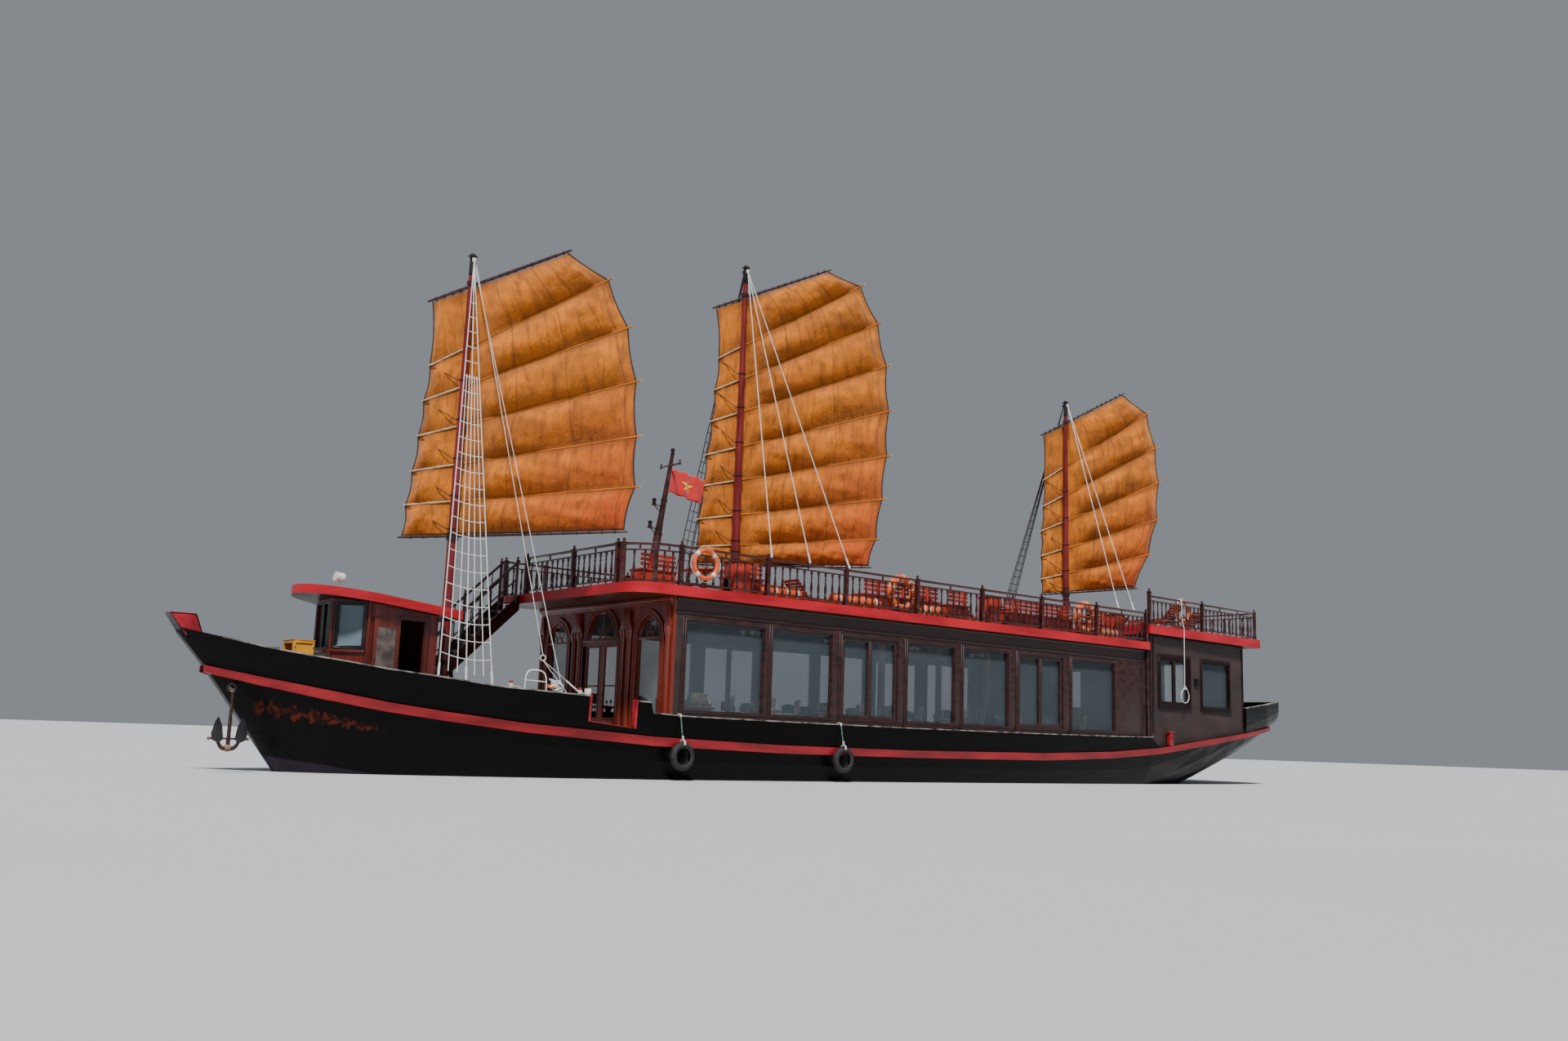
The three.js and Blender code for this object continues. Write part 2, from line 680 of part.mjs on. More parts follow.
const hull = makeHull();
addPiece("hull", hull, "hullBlack");
const hullGrown = hullForm(GAP + 0.2);
addPiece("wale_port", makeWale(1, hullGrown), "waleRed");
addPiece("wale_starboard", makeWale(-1, hullGrown), "waleRed");
addPiece("foredeck", planking(foredeckStations(), BULWARK_THICK, foredeckZ), "teak");
const sternStations = [STERN_BULWARK_X - 1, ...STERN_BENDS, TRANSOM_X + BULWARK_THICK + 1];
addPiece("stern_deck", planking(sternStations, BULWARK_THICK, () => STERN_DECK_Z), "teak");
const saloonFloor = block(
  SALOON.back + 1,
  FOREDECK_END - 1,
  1 - SALOON.inner,
  SALOON.inner - 1,
  SALOON_FLOOR_Z + GAP,
  SALOON_FLOOR_Z + DECK_THICK,
);
addPiece("saloon_floor", saloonFloor, "teak");

// The same outline moved inwards by a distance; its corners run counter-clockwise.
function insetPlan(points, distance) {
  const count = points.length;
  const lines = points.map(([x, y], i) => {
    const [nx, ny] = points[(i + 1) % count];
    const long = Math.hypot(nx - x, ny - y);
    const normal = [-(ny - y) / long, (nx - x) / long];
    const way = [(nx - x) / long, (ny - y) / long];
    return { at: [x + normal[0] * distance, y + normal[1] * distance], way };
  });
  return lines.map((line, i) => {
    const before = lines[(i + count - 1) % count];
    const turn = before.way[0] * line.way[1] - before.way[1] * line.way[0];
    const [dx, dy] = [line.at[0] - before.at[0], line.at[1] - before.at[1]];
    const reach = (dx * line.way[1] - dy * line.way[0]) / turn;
    return [before.at[0] + before.way[0] * reach, before.at[1] + before.way[1] * reach];
  });
}

// An opening with a half-round head, in Y and Z.
function archOutline(y, half, sill, spring) {
  const shape = new THREE.Shape();
  shape.moveTo(y - half, sill);
  shape.lineTo(y + half, sill);
  shape.lineTo(y + half, spring);
  shape.absarc(y, spring, half, 0, Math.PI, false);
  shape.lineTo(y - half, sill);
  return shape;
}

// Saloon
function makeSaloonSide(side) {
  const [inner, outer] = [SALOON.half - SALOON.wall, SALOON.half].map((y) => y * side);
  const front = SALOON.front - FRONT_WALL - GAP;
  const back = AFT.front + GAP;
  const seat = SALOON_SEAT_Z + GAP;
  const wall = block(back, front, inner, outer, seat, SALOON.top - GAP);
  const openings = SALOON_WINDOWS.flatMap(({ front: fore, back: aft, paired }) => {
    const middle = (fore + aft) / 2;
    const panes = paired ? [[aft, middle - MULLION / 2], [middle + MULLION / 2, fore]] : [[aft, fore]];
    return panes.map(([a, b]) => block(a, b, inner * 0.9, outer * 1.1, WINDOW_SILL, WINDOW_HEAD));
  });
  return cut(wall, ...openings);
}

function makeSaloonGlass(side) {
  const inner = SALOON.half - SALOON.wall - GAP;
  const [first, last] = [SALOON_WINDOWS[0], SALOON_WINDOWS[SALOON_WINDOWS.length - 1]];
  return block(
    last.back - GLASS_LAP,
    first.front + GLASS_LAP,
    side * (inner - GLASS_THICK),
    side * inner,
    WINDOW_SILL - GLASS_LAP,
    WINDOW_HEAD + GLASS_LAP,
  );
}

function makeSaloonFront() {
  const foot = SALOON_FLOOR_Z + DECK_THICK + GAP;
  const seat = SALOON_SEAT_Z + GAP;
  const top = SALOON.top - GAP;
  const inside = SALOON.inner - 2;
  const edge = [
    [-inside, foot],
    [inside, foot],
    [inside, seat],
    [SALOON.half, seat],
    [SALOON.half, top],
    [-SALOON.half, top],
    [-SALOON.half, seat],
    [-inside, seat],
  ];
  const [x0, x1] = [SALOON.front - FRONT_WALL, SALOON.front];
  const doorway = block(x0 - 50, x1 + 50, -FRONT_DOOR.half, FRONT_DOOR.half, 0, FRONT_DOOR.head);
  const round = archOutline(0, FANLIGHT.half, FANLIGHT.sill, FANLIGHT.spring);
  const fanlight = crossProfile(round, x0 - 50, x1 + 50);
  const arches = [1, -1].map((side) =>
    crossProfile(
      archOutline(side * FRONT_ARCH.y, FRONT_ARCH.half, FRONT_ARCH.sill, FRONT_ARCH.spring),
      x0 - 50,
      x1 + 50,
    ),
  );
  return cut(crossProfile(edge, x0, x1), doorway, fanlight, ...arches);
}

function makeSaloonFrontGlass() {
  const x1 = SALOON.front - FRONT_WALL - GAP;
  const half = SALOON.inner - 200;
  const top = FANLIGHT.spring + FANLIGHT.half + GLASS_LAP;
  const sheet = block(x1 - GLASS_THICK, x1, -half, half, FRONT_ARCH.sill - GLASS_LAP, top);
  const doorway = FRONT_DOOR.half + 50;
  return cut(sheet, block(x1 - 50, x1 + 50, -doorway, doorway, 0, FRONT_DOOR.head + 20));
}

// One leaf of the double door, hinged at its outer edge.
function makeSaloonDoor(side) {
  const [x0, x1] = [SALOON.front - 68, SALOON.front - 23];
  const foot = SALOON_FLOOR_Z + DECK_THICK + 8;
  const leaf = block(x0, x1, side * 5, side * (FRONT_DOOR.half - 6), foot, FRONT_DOOR.head - 8);
  const { stile, low, head } = DOOR_LIGHT;
  const [inside, outside] = [side * stile, side * (FRONT_DOOR.half - stile)];
  const light = block(x0 - 9, x1 + 9, inside, outside, foot + low, FRONT_DOOR.head - head);
  const y = side * (FRONT_DOOR.half - HINGE.radius - GAP);
  const hinges = HINGE.heights.map((z) =>
    bar([x0 - HINGE.inset, y, z], [x0 - HINGE.inset, y, z + HINGE.long], HINGE.radius, HINGE.radius, 12),
  );
  return join(cut(leaf, light), ...hinges);
}

// Upper deck: a thick slab whose port front corner is round.
function makeUpperDeck() {
  const { front, back, half, corner, bottom, top } = UPPER_DECK;
  const shape = new THREE.Shape();
  shape.moveTo(back, -half);
  shape.lineTo(front - 150, -half);
  shape.absarc(front - 150, -half + 150, 150, -Math.PI / 2, 0, false);
  shape.lineTo(front, half - corner);
  shape.absarc(front - corner, half - corner, corner, 0, Math.PI / 2, false);
  shape.lineTo(back, half);
  shape.lineTo(back, -half);
  return slab(shape, bottom, top);
}

// Aft cabin: two sides and a back in one shell, and the bulkhead before it.
function belowStrake(rise) {
  const beside = WALE.filter(({ x }) => x < MID_END.foot && x > STERN_BULWARK_X);
  const edge = beside.map(({ x, z }) => [x, z + rise]);
  return sideProfile(
    [
      [-8500, 0],
      [-8500, SALOON_SEAT_Z + rise],
      [MID_END.top, SALOON_SEAT_Z + rise],
      [MID_END.foot, waleZ(MID_END.foot) + rise],
      ...edge,
      [-15500, waleZ(-15500) + rise],
      [-15500, 0],
    ],
    -WIDE,
    WIDE,
  );
}

function makeAftCabin() {
  const inner = aftPlan(AFT.wall);
  const open = AFT.front + 100;
  inner[0] = [open, -aftHalf(open, AFT.wall)];
  inner[1] = [open, aftHalf(open, AFT.wall)];
  const shell = cut(slab(aftPlan(0), 900, AFT.top - GAP), slab(inner, 0, 6000));
  const windows = AFT_WINDOWS.map((pane) =>
    block(pane.back, pane.front, -WIDE, WIDE, AFT_WINDOW_SILL, AFT_WINDOW_HEAD),
  );
  const { half, head } = AFT_DOOR;
  const doorway = block(AFT.back - 100, AFT.back + 200, -half, half, STERN_DECK_Z + DECK_THICK + 20, head);
  return cut(shell, ...windows, doorway, belowStrake(GAP));
}

function makeAftBulkhead() {
  const x = AFT.front;
  const half = aftHalf(x - AFT.wall, AFT.wall) - 1;
  const panel = block(x - AFT.wall, x - GAP, -half, half, SALOON_SEAT_Z + GAP, AFT.top - GAP);
  const { half: wide, sill, head } = BULKHEAD_DOOR;
  return cut(panel, block(x - 200, x + 100, -wide, wide, sill, head));
}

function makeAftGlass(side) {
  const rings = AFT_WINDOWS.flatMap(({ front, back }) => [front + GLASS_LAP, back - GLASS_LAP]);
  const [front, back] = [Math.max(...rings), Math.min(...rings)];
  const at = (x, margin) => [x, side * aftHalf(x, AFT.wall + GAP + 0.1 + margin)];
  const sheet = [at(front, 0), at(back, 0), at(back, GLASS_THICK), at(front, GLASS_THICK)];
  return slab(sheet, AFT_WINDOW_SILL - GLASS_LAP, AFT_WINDOW_HEAD + GLASS_LAP);
}

function makeAftRoof() {
  const { front, back, half, halfBack, bottom, top } = AFT_ROOF;
  return slab(
    [
      [front, -half],
      [front, half],
      [back, halfBack],
      [back, -halfBack],
    ],
    bottom,
    top,
  );
}

// Wheelhouse
const WHEELHOUSE_PLAN = [
  [WHEELHOUSE.back, -WHEELHOUSE.half],
  [WHEELHOUSE.shoulder, -WHEELHOUSE.half],
  [WHEELHOUSE.front, -WHEELHOUSE.frontHalf],
  [WHEELHOUSE.front, WHEELHOUSE.frontHalf],
  [WHEELHOUSE.shoulder, WHEELHOUSE.half],
  [WHEELHOUSE.back, WHEELHOUSE.half],
];

function wheelhouseRoofZ(x) {
  const { back, nose, zBack, zFront } = WHEELHOUSE_ROOF;
  return zBack + ((zFront - zBack) * (x - back)) / (nose - back);
}

function makeWheelhouseRoof() {
  const { back, waist, nose, half, thick } = WHEELHOUSE_ROOF;
  const shape = new THREE.Shape();
  shape.moveTo(back, -half);
  shape.lineTo(waist, -half);
  shape.absellipse(waist, 0, nose - waist, half, -Math.PI / 2, Math.PI / 2, false);
  shape.lineTo(back, half);
  shape.lineTo(back, -half);
  const plate = new THREE.ExtrudeGeometry(shape, { depth: thick, bevelEnabled: false, curveSegments: 18 });
  const spots = plate.attributes.position;
  for (let i = 0; i < spots.count; i++) spots.setZ(i, spots.getZ(i) + wheelhouseRoofZ(spots.getX(i)));
  return solid(plate);
}

function makeWheelhouseWalls() {
  const foot = DECK_Z.wheelhouse + DECK_THICK + GAP;
  const room = slab(insetPlan(WHEELHOUSE_PLAN, WHEELHOUSE.wall), 0, HIGH);
  const shell = cut(slab(WHEELHOUSE_PLAN, foot, 4500), room);
  const above = sideProfile(
    [
      [13000, wheelhouseRoofZ(13000) - GAP],
      [17500, wheelhouseRoofZ(17500) - GAP],
      [17500, HIGH],
      [13000, HIGH],
    ],
    -WIDE,
    WIDE,
  );
  const { sill, head, half, slant } = WHEELHOUSE_WINDOW;
  const frontLight = block(WHEELHOUSE.front - 100, WHEELHOUSE.front + 100, -half, half, sill, head);
  const door = WHEELHOUSE_DOOR;
  const doors = block(door.back, door.front, -WIDE, WIDE, door.sill, door.head);
  const slants = [1, -1].map((side) => {
    const [ax, ay] = [WHEELHOUSE.shoulder, side * WHEELHOUSE.half];
    const [bx, by] = [WHEELHOUSE.front, side * WHEELHOUSE.frontHalf];
    const box = new THREE.BoxGeometry(slant, 300, head - sill);
    box.rotateZ(Math.atan2(by - ay, bx - ax));
    box.translate((ax + bx) / 2, (ay + by) / 2, (sill + head) / 2);
    return solid(box);
  });
  return cut(shell, above, frontLight, doors, ...slants);
}

function makeWheelhouseGlass() {
  const outer = insetPlan(WHEELHOUSE_PLAN, WHEELHOUSE.wall + GAP + 0.1);
  const inner = insetPlan(WHEELHOUSE_PLAN, WHEELHOUSE.wall + GAP + GLASS_THICK);
  const [z0, z1] = [WHEELHOUSE_WINDOW.sill - 50, WHEELHOUSE_WINDOW.head + 20];
  const ring = cut(slab(outer, z0, z1), slab(inner, 0, HIGH));
  return cut(ring, block(13000, WHEELHOUSE.shoulder - GLASS_LAP, -WIDE, WIDE, 0, HIGH));
}

// A wheelhouse door leaf on its hinge pin, outside the wall: folded forward, or closed over its doorway.
function makeWheelhouseDoor(side, folded) {
  const { front, back, sill, head } = WHEELHOUSE_DOOR;
  const { thick, stand } = DOOR_LEAF;
  const wide = front - back + 10;
  const y0 = side * (WHEELHOUSE.half + stand);
  const [a, b] = folded ? [4, wide] : [-wide, -4];
  const leaf = block(front + a, front + b, y0, y0 + side * thick, sill, head + 10);
  const y = y0 + (side * thick) / 2;
  const radius = stand + thick / 2 - GAP;
  return join(leaf, bar([front, y, sill + 60], [front, y, head - 60], radius, radius, 12));
}

function makeSearchlight() {
  const { x, stem, flange } = SEARCHLIGHT;
  const { back, front, rear, rim, tilt } = LAMP_HEAD;
  const roof = wheelhouseRoofZ(x) + WHEELHOUSE_ROOF.thick;
  const z = roof + SEARCHLIGHT.z;
  const rise = wheelhouseRoofZ(x + flange) - wheelhouseRoofZ(x);
  const seat = roof + rise + GAP;
  const post = bar([x, 0, seat + 1], [x, 0, z - 90], stem);
  const foot = bar([x, 0, seat], [x, 0, seat + 25], flange, flange, 12);
  const head = bar([x + back, 0, z], [x + front, 0, z + tilt], rear, rim, 12);
  const yoke = block(x - stem, x + stem, -40, 40, z - 100, z - 60);
  return join(post, foot, head, yoke);
}

for (const [name, side] of [["port", 1], ["starboard", -1]]) {
  addPiece("saloon_side_" + name, makeSaloonSide(side), "wallBrown");
  addPiece("saloon_glass_" + name, makeSaloonGlass(side), "glass");
  addPiece("saloon_door_" + name, makeSaloonDoor(side), "mahogany");
  addPiece("aft_glass_" + name, makeAftGlass(side), "glass");
  addPiece("wheelhouse_door_" + name, makeWheelhouseDoor(side, side > 0), "mahogany");
}
addPiece("saloon_front", makeSaloonFront(), "mahogany");
addPiece("saloon_front_glass", makeSaloonFrontGlass(), "glass");
addPiece("upper_deck", makeUpperDeck(), "fasciaRed");
addPiece("aft_cabin", makeAftCabin(), "wallBrown");
addPiece("aft_bulkhead", makeAftBulkhead(), "wallBrown");
addPiece("aft_roof", makeAftRoof(), "fasciaRed");
addPiece("wheelhouse_walls", makeWheelhouseWalls(), "mahogany");
addPiece("wheelhouse_roof", makeWheelhouseRoof(), "fasciaRed");
addPiece("wheelhouse_glass", makeWheelhouseGlass(), "glass");
addPiece("searchlight", makeSearchlight(), "white");

// Masts and sails
function mastRadius(mast, z) {
  const share = (z - mast.foot) / (mast.top - mast.foot);
  return mast.radius + (MAST_TIP_RADIUS - mast.radius) * share;
}

function mastFoot(mast) {
  return mast.foot + GAP;
}

// A mast with its cap, and the collar on which the boom's hoop turns.
function makeMast(mast, hoopZ) {
  const tip = mast.top - 90;
  const pole = bar([mast.x, 0, mastFoot(mast)], [mast.x, 0, tip], mast.radius, MAST_TIP_RADIUS, MAST_SIDES);
  const cap = bar([mast.x, 0, tip - 20], [mast.x, 0, tip + 30], 105, 105, MAST_SIDES);
  const button = bar([mast.x, 0, tip + 10], [mast.x, 0, mast.top], 55, 40, MAST_SIDES);
  const top = hoopZ - HOOP.high / 2 - GAP;
  const wide = mastRadius(mast, top) + HOOP.thick;
  const collar = bar([mast.x, 0, top - HOOP.high], [mast.x, 0, top], wide, wide, MAST_SIDES);
  return join(pole, cap, button, collar);
}

// A hoop round the mast that carries a spar beside it, in the sail's own frame.
function makeParrel(radius, z, offset) {
  const hole = (radius + RUNNING_GAP) / Math.cos(Math.PI / MAST_SIDES);
  const [low, high] = [z - HOOP.high / 2, z + HOOP.high / 2];
  const ring = bar([0, 0, low], [0, 0, high], hole + HOOP.thick, hole + HOOP.thick, MAST_SIDES);
  const arm = block(-32, 32, radius + 12, offset, low, high);
  return cut(join(ring, arm), bar([0, 0, low - 50], [0, 0, high + 50], hole, hole, MAST_SIDES));
}

// Direction of a sail's row from luff to leech, in X and Z.
function rowWay({ luff, leech }) {
  const [x, z] = [leech[0] - luff[0], leech[1] - luff[1]];
  const long = Math.hypot(x, z);
  return [x / long, z / long];
}

// Height of the hoop of a spar that lies along a row, above it or below it, where it crosses the mast.
function hoopHeight(row, { side, radius }) {
  const [dx, dz] = rowWay(row);
  return row.luff[1] - (row.luff[0] * dz) / dx + (side * (radius - SPAR_BED)) / dx;
}

function makeSpar(mast, row, spar, cloth, offset) {
  const [dx, dz] = rowWay(row);
  const lift = spar.side * (spar.radius - SPAR_BED);
  const place = ([x, z], out) => [x + out * dx - lift * dz, offset, z + out * dz + lift * dx];
  const pole = bar(place(row.luff, -spar.reach), place(row.leech, spar.reach), spar.radius, spar.radius, 10);
  const z = hoopHeight(row, spar);
  const hoop = makeParrel(mastRadius(mast, z - HOOP.high / 2), z, offset);
  const bed = geometryOf(cloth).translate(-dz * spar.side * GAP, 0, dx * spar.side * GAP);
  return cut(join(pole, hoop), solid(bed));
}

// The cloth of a sail, swelled by a margin on both faces and more at its edges.
function makeCloth(rows, offset, margin) {
  const end = (row, [x, z], out) => {
    const [dx, dz] = rowWay(row);
    return [x + out * dx, z + out * dz];
  };
  const outline = [
    ...rows.map((row) => end(row, row.leech, 4 * margin)),
    ...rows.map((row) => end(row, row.luff, -4 * margin)).reverse(),
  ];
  const half = SAIL_THICK / 2 + margin;
  return sideProfile(outline, offset - half, offset + half);
}

// Cloth and battens of a sail as one body, in its own frame.
function makeSail(rows, offset) {
  const battens = rows.slice(1, -1).map((row) => {
    const [dx, dz] = rowWay(row);
    const { luff, leech } = row;
    const from = [luff[0] - BATTEN.luff * dx, offset, luff[1] - BATTEN.luff * dz];
    const to = [leech[0] + BATTEN.leech * dx, offset, leech[1] + BATTEN.leech * dz];
    return bar(from, to, BATTEN.radius, BATTEN.radius, 6);
  });
  return join(makeCloth(rows, offset, 0), ...battens);
}

// One sail with its yard and boom, built with its chord along +X and standing at the mast's axis.
function addRig(name, mast, rows) {
  const rig = new THREE.Group();
  rig.position.set(mast.x, 0, 0);
  rig.rotation.z = THREE.MathUtils.degToRad(180 - SAIL_SWING);
  const [head, foot] = [rows[0], rows[rows.length - 1]];
  const offset = mastRadius(mast, foot.luff[1]) + SAIL_CLEAR;
  const bed = makeCloth(rows, offset, GAP);
  const pieces = [
    [name + "_sail", makeSail(rows, offset), "canvas"],
    [name + "_yard", makeSpar(mast, head, YARD, bed, offset), "darkRail"],
    [name + "_boom", makeSpar(mast, foot, BOOM, bed, offset), "darkRail"],
  ];
  for (const [label, body, look] of pieces) rig.add(addPiece(label, body, look));
  ship.add(rig);
}

for (const [name, mast] of Object.entries(MASTS)) {
  const rows = SAILS[name];
  addPiece(name + "_mast", makeMast(mast, hoopHeight(rows[rows.length - 1], BOOM)), "mastRed");
  addRig(name, mast, rows);
}

// Where a shroud's foot stands: half breadth and height.
function shroudFoot(x) {
  if (x > UPPER_DECK.front) return [hullHalf(x, sheerZ(x)) - BULWARK_THICK / 2, sheerZ(x)];
  if (x > AFT_RAIL.front) return [RAIL_Y, UPPER_DECK.top + RAIL_HIGH];
  const share = (AFT_RAIL.front - x) / (AFT_RAIL.front - AFT_RAIL.middle);
  return [RAIL_Y + (AFT_RAIL.halfMiddle - RAIL_Y) * share, AFT_ROOF.top + RAIL_HIGH];
}

function makeShrouds(mast, hound, feet, side, below) {
  const radius = mastRadius(mast, hound);
  const [inside, outside] = [side * (radius + 1), side * (radius + 40)];
  const band = block(mast.x - 45, mast.x + 45, inside, outside, hound - 50, hound + 50);
  const lines = feet.map((x) => {
    const [y, z] = shroudFoot(x);
    const foot = [x, side * y, z - SHROUD_SINK];
    return bar([mast.x, side * (radius + 22), hound], foot, SHROUD_RADIUS, SHROUD_RADIUS, 6);
  });
  return cut(join(band, ...lines), below);
}

// A straight run of rail between two places in plan: a handrail, a foot rail and balusters.
function railRun([x0, y0], [x1, y1], deck, bays) {
  const long = Math.hypot(x1 - x0, y1 - y0);
  const pieces = [
    block(0, long, -RAIL.thick / 2, RAIL.thick / 2, RAIL_HIGH - RAIL.top, RAIL_HIGH),
    block(0, long, -RAIL.thick / 2, RAIL.thick / 2, RAIL.lift, RAIL.lift + RAIL.foot),
  ];
  const half = RAIL.post / 2;
  for (let i = 1; i < bays; i++) {
    const at = (long * i) / bays;
    pieces.push(block(at - half, at + half, -half, half, RAIL.lift + 20, RAIL_HIGH - 20));
  }
  const run = geometryOf(join(...pieces));
  run.rotateZ(Math.atan2(y1 - y0, x1 - x0));
  run.translate(x0, y0, deck);
  return solid(run);
}

function newel([x, y], deck, high = NEWEL_HIGH) {
  const half = RAIL.newel / 2;
  return block(x - half, x + half, y - half, y + half, deck + GAP, deck + high);
}

// A rail through a list of places, with a newel at each and bays about so long.
function makeRail(places, deck, bay) {
  const runs = places.slice(1).map((place, i) => {
    const before = places[i];
    const long = Math.hypot(place[0] - before[0], place[1] - before[1]);
    return railRun(before, place, deck, Math.max(1, Math.round(long / bay)));
  });
  return join(...places.map((place) => newel(place, deck)), ...runs);
}

const portRail = [[RAIL_X - 40, 2430], [9800, 3010], ...SIDE_NEWELS.map((x) => [x, RAIL_Y])];
const starboardRail = [[RAIL_X, -RAIL_Y + 20], ...SIDE_NEWELS.map((x) => [x, -RAIL_Y])];
const frontRail = [
  [RAIL_X, -1950],
  [RAIL_X, 310],
  [RAIL_X, 2250],
];
const aftRail = [
  [AFT_RAIL.front, RAIL_Y],
  [AFT_RAIL.middle, AFT_RAIL.halfMiddle],
  [AFT_RAIL.back, AFT_RAIL.halfBack],
  [AFT_RAIL.back, 0],
  [AFT_RAIL.back, -AFT_RAIL.halfBack],
  [AFT_RAIL.middle, -AFT_RAIL.halfMiddle],
  [AFT_RAIL.front, -RAIL_Y],
];
addPiece("rail_port", makeRail(portRail, UPPER_DECK.top, RAIL_BAY), "darkRail");
addPiece("rail_starboard", makeRail(starboardRail, UPPER_DECK.top, RAIL_BAY), "darkRail");
addPiece("rail_front", makeRail(frontRail, UPPER_DECK.top, RAIL_BAY), "darkRail");
addPiece("rail_aft", makeRail(aftRail, AFT_ROOF.top, RAIL_BAY), "darkRail");

const underHandrails = join(
  block(AFT_RAIL.front + 100, UPPER_DECK.front, -3300, 3300, 0, UPPER_DECK.top + RAIL_HIGH + GAP),
  block(AFT_RAIL.back - 300, AFT_RAIL.front + 100, -3300, 3300, 0, AFT_ROOF.top + RAIL_HIGH + GAP),
);
const hullLifted = solid(geometryOf(hull).translate(0, 0, GAP + 0.2));
for (const [name, { hound, port, starboard }] of Object.entries(SHROUDS)) {
  const below = name === "fore" ? hullLifted : underHandrails;
  addPiece(name + "_shrouds_port", makeShrouds(MASTS[name], hound, port, 1, below), "rope");
  if (!starboard.length) continue;
  addPiece(name + "_shrouds_starboard", makeShrouds(MASTS[name], hound, starboard, -1, below), "rope");
}

function makeStair() {
  const drop = UPPER_DECK.top - (DECK_Z.mast + DECK_THICK);
  const half = STAIR.width / 2;
  const { head, deep, toe, tread, post } = STAIR;
  const foot = -drop + 10;
  const slope = (foot + toe - head) / STAIR.run;
  const string = [
    [3, head],
    [STAIR.run, foot + toe],
    [STAIR.run, foot],
    [STAIR.run + (deep - toe) / slope, foot],
    [3, head - deep],
  ];
  const strings = [1, -1].map((side) => sideProfile(string, side * half, side * (half - STAIR.plank)));
  const rise = drop / STAIR.steps;
  const treads = Array.from({ length: STAIR.steps - 1 }, (_, i) => {
    const z = -rise * (i + 1);
    const x = z / slope;
    return block(x + tread.from, x + tread.to, -half + 10, half - 10, z - tread.thick, z);
  });
  const rails = [1, -1].flatMap((side) => {
    const at = (x, up) => [x, side * (half - 22), head + slope * x + up];
    const posts = STAIR.posts.map((x) => bar(at(x, post.low), at(x, post.high), post.radius, post.radius, 6));
    const bars = STAIR.rails.map(({ from, up, radius }) =>
      bar(at(from, up), at(STAIR.run - 60, up), radius, radius, 6),
    );
    return [...posts, ...bars];
  });
  return join(...strings, ...treads, ...rails);
}

const stair = addPiece("stair", makeStair(), "mahogany");
stair.position.set(UPPER_DECK.front + STAIR.back, STAIR.y, UPPER_DECK.top);
stair.rotation.z = THREE.MathUtils.degToRad(STAIR.turn);

function makeTabernacle() {
  const mast = MASTS.fore;
  const foot = DECK_Z.mast + DECK_THICK + GAP;
  const round = (mast.radius + GAP) / Math.cos(Math.PI / MAST_SIDES);
  const { front, back, half, high, brace, hoop, wall } = TABERNACLE;
  const [low, top] = hoop.map((z) => foot + z);
  const box = block(mast.x - back, mast.x + front, -half, half, foot, foot + high);
  const hole = bar([mast.x, 0, foot - 50], [mast.x, 0, top + 1150], round, round, MAST_SIDES);
  const strut = bar([mast.x - 300, 0, foot + 300], [mast.x - 175, 0, top], ...brace, 8);
  const ring = bar([mast.x, 0, low], [mast.x, 0, top], round + wall, round + wall, MAST_SIDES);
  return cut(join(box, strut, ring), hole);
}

function makeAnchor(clearOf) {
  const { x, y, top, crown, arm, stock } = ANCHOR;
  const [dx, dy, dz] = ANCHOR.chain;
  const shank = bar([x, y, crown + 40], [x, y, top], 34, 26, 8);
  const flukes = [1, -1].map((side) => {
    const tip = [x + side * arm * 0.55, y + 30, crown + 640];
    const elbow = [x + side * arm * 0.4, y, crown + 130];
    return join(
      bar([x, y, crown + 40], elbow, 48, 40, 8),
      bar(elbow, tip, 42, 10, 6),
      block(x + side * 40, x + side * (arm * 0.62), y - 12, y + 20, crown + 160, crown + 520),
    );
  });
  const cross = bar([x - stock, y, crown + 250], [x + stock, y, crown + 250], 24, 24, 8);
  const chain = bar([x, y, top - 30], [x + dx, y + dy, top + dz], 24, 24, 6);
  return cut(join(shank, ...flukes, cross, chain), clearOf);
}

function makeWindlass() {
  const foot = DECK_Z.windlass + DECK_THICK + GAP;
  const { back, front, half, high, base, plate } = WINDLASS;
  const housing = block(back, front, -half, half, foot, foot + high);
  const inside = half - plate;
  const opening = block(back - 50, front + 50, -inside, inside, foot + base, foot + high - plate);
  const z = foot + DRUM.z;
  const barrel = bar([DRUM.x, -DRUM.half, z], [DRUM.x, DRUM.half, z], DRUM.radius, DRUM.radius, 12);
  return join(cut(housing, opening), barrel);
}

function lightMastX(z) {
  const { foot, top } = LIGHT_MAST;
  return foot[0] + ((top[0] - foot[0]) * (z - foot[2])) / (top[2] - foot[2]);
}

function lightPole(margin) {
  const { foot, top, radius } = LIGHT_MAST;
  const low = foot[2] + 40;
  return bar([lightMastX(low), 0, low], top, radius[0] + margin, radius[1] + margin, 10);
}

function makeLightMast() {
  const { foot, top } = LIGHT_MAST;
  const pole = lightPole(0);
  const shoe = bar([foot[0], 0, foot[2]], [foot[0], 0, foot[2] + 120], 190, 170, 12);
  const { z: high, half, reach } = LIGHT_MAST.crosstree;
  const cross = lightMastX(high);
  const crosstree = block(cross - half, cross + half, -reach, reach, high - half, high + half);
  const arms = LIGHT_MAST.arms.map((z) => {
    const x = lightMastX(z);
    return join(
      block(x - 20, x + 300, -20, 20, z - 25, z + 25),
      bar([x + 260, 0, z + 10], [x + 260, 0, z + 190], 70, 70, 8),
    );
  });
  const lamp = bar([top[0], 0, top[2] - 60], [top[0], 0, top[2] + 130], 55, 50, 8);
  return join(pole, shoe, crosstree, ...arms, lamp);
}

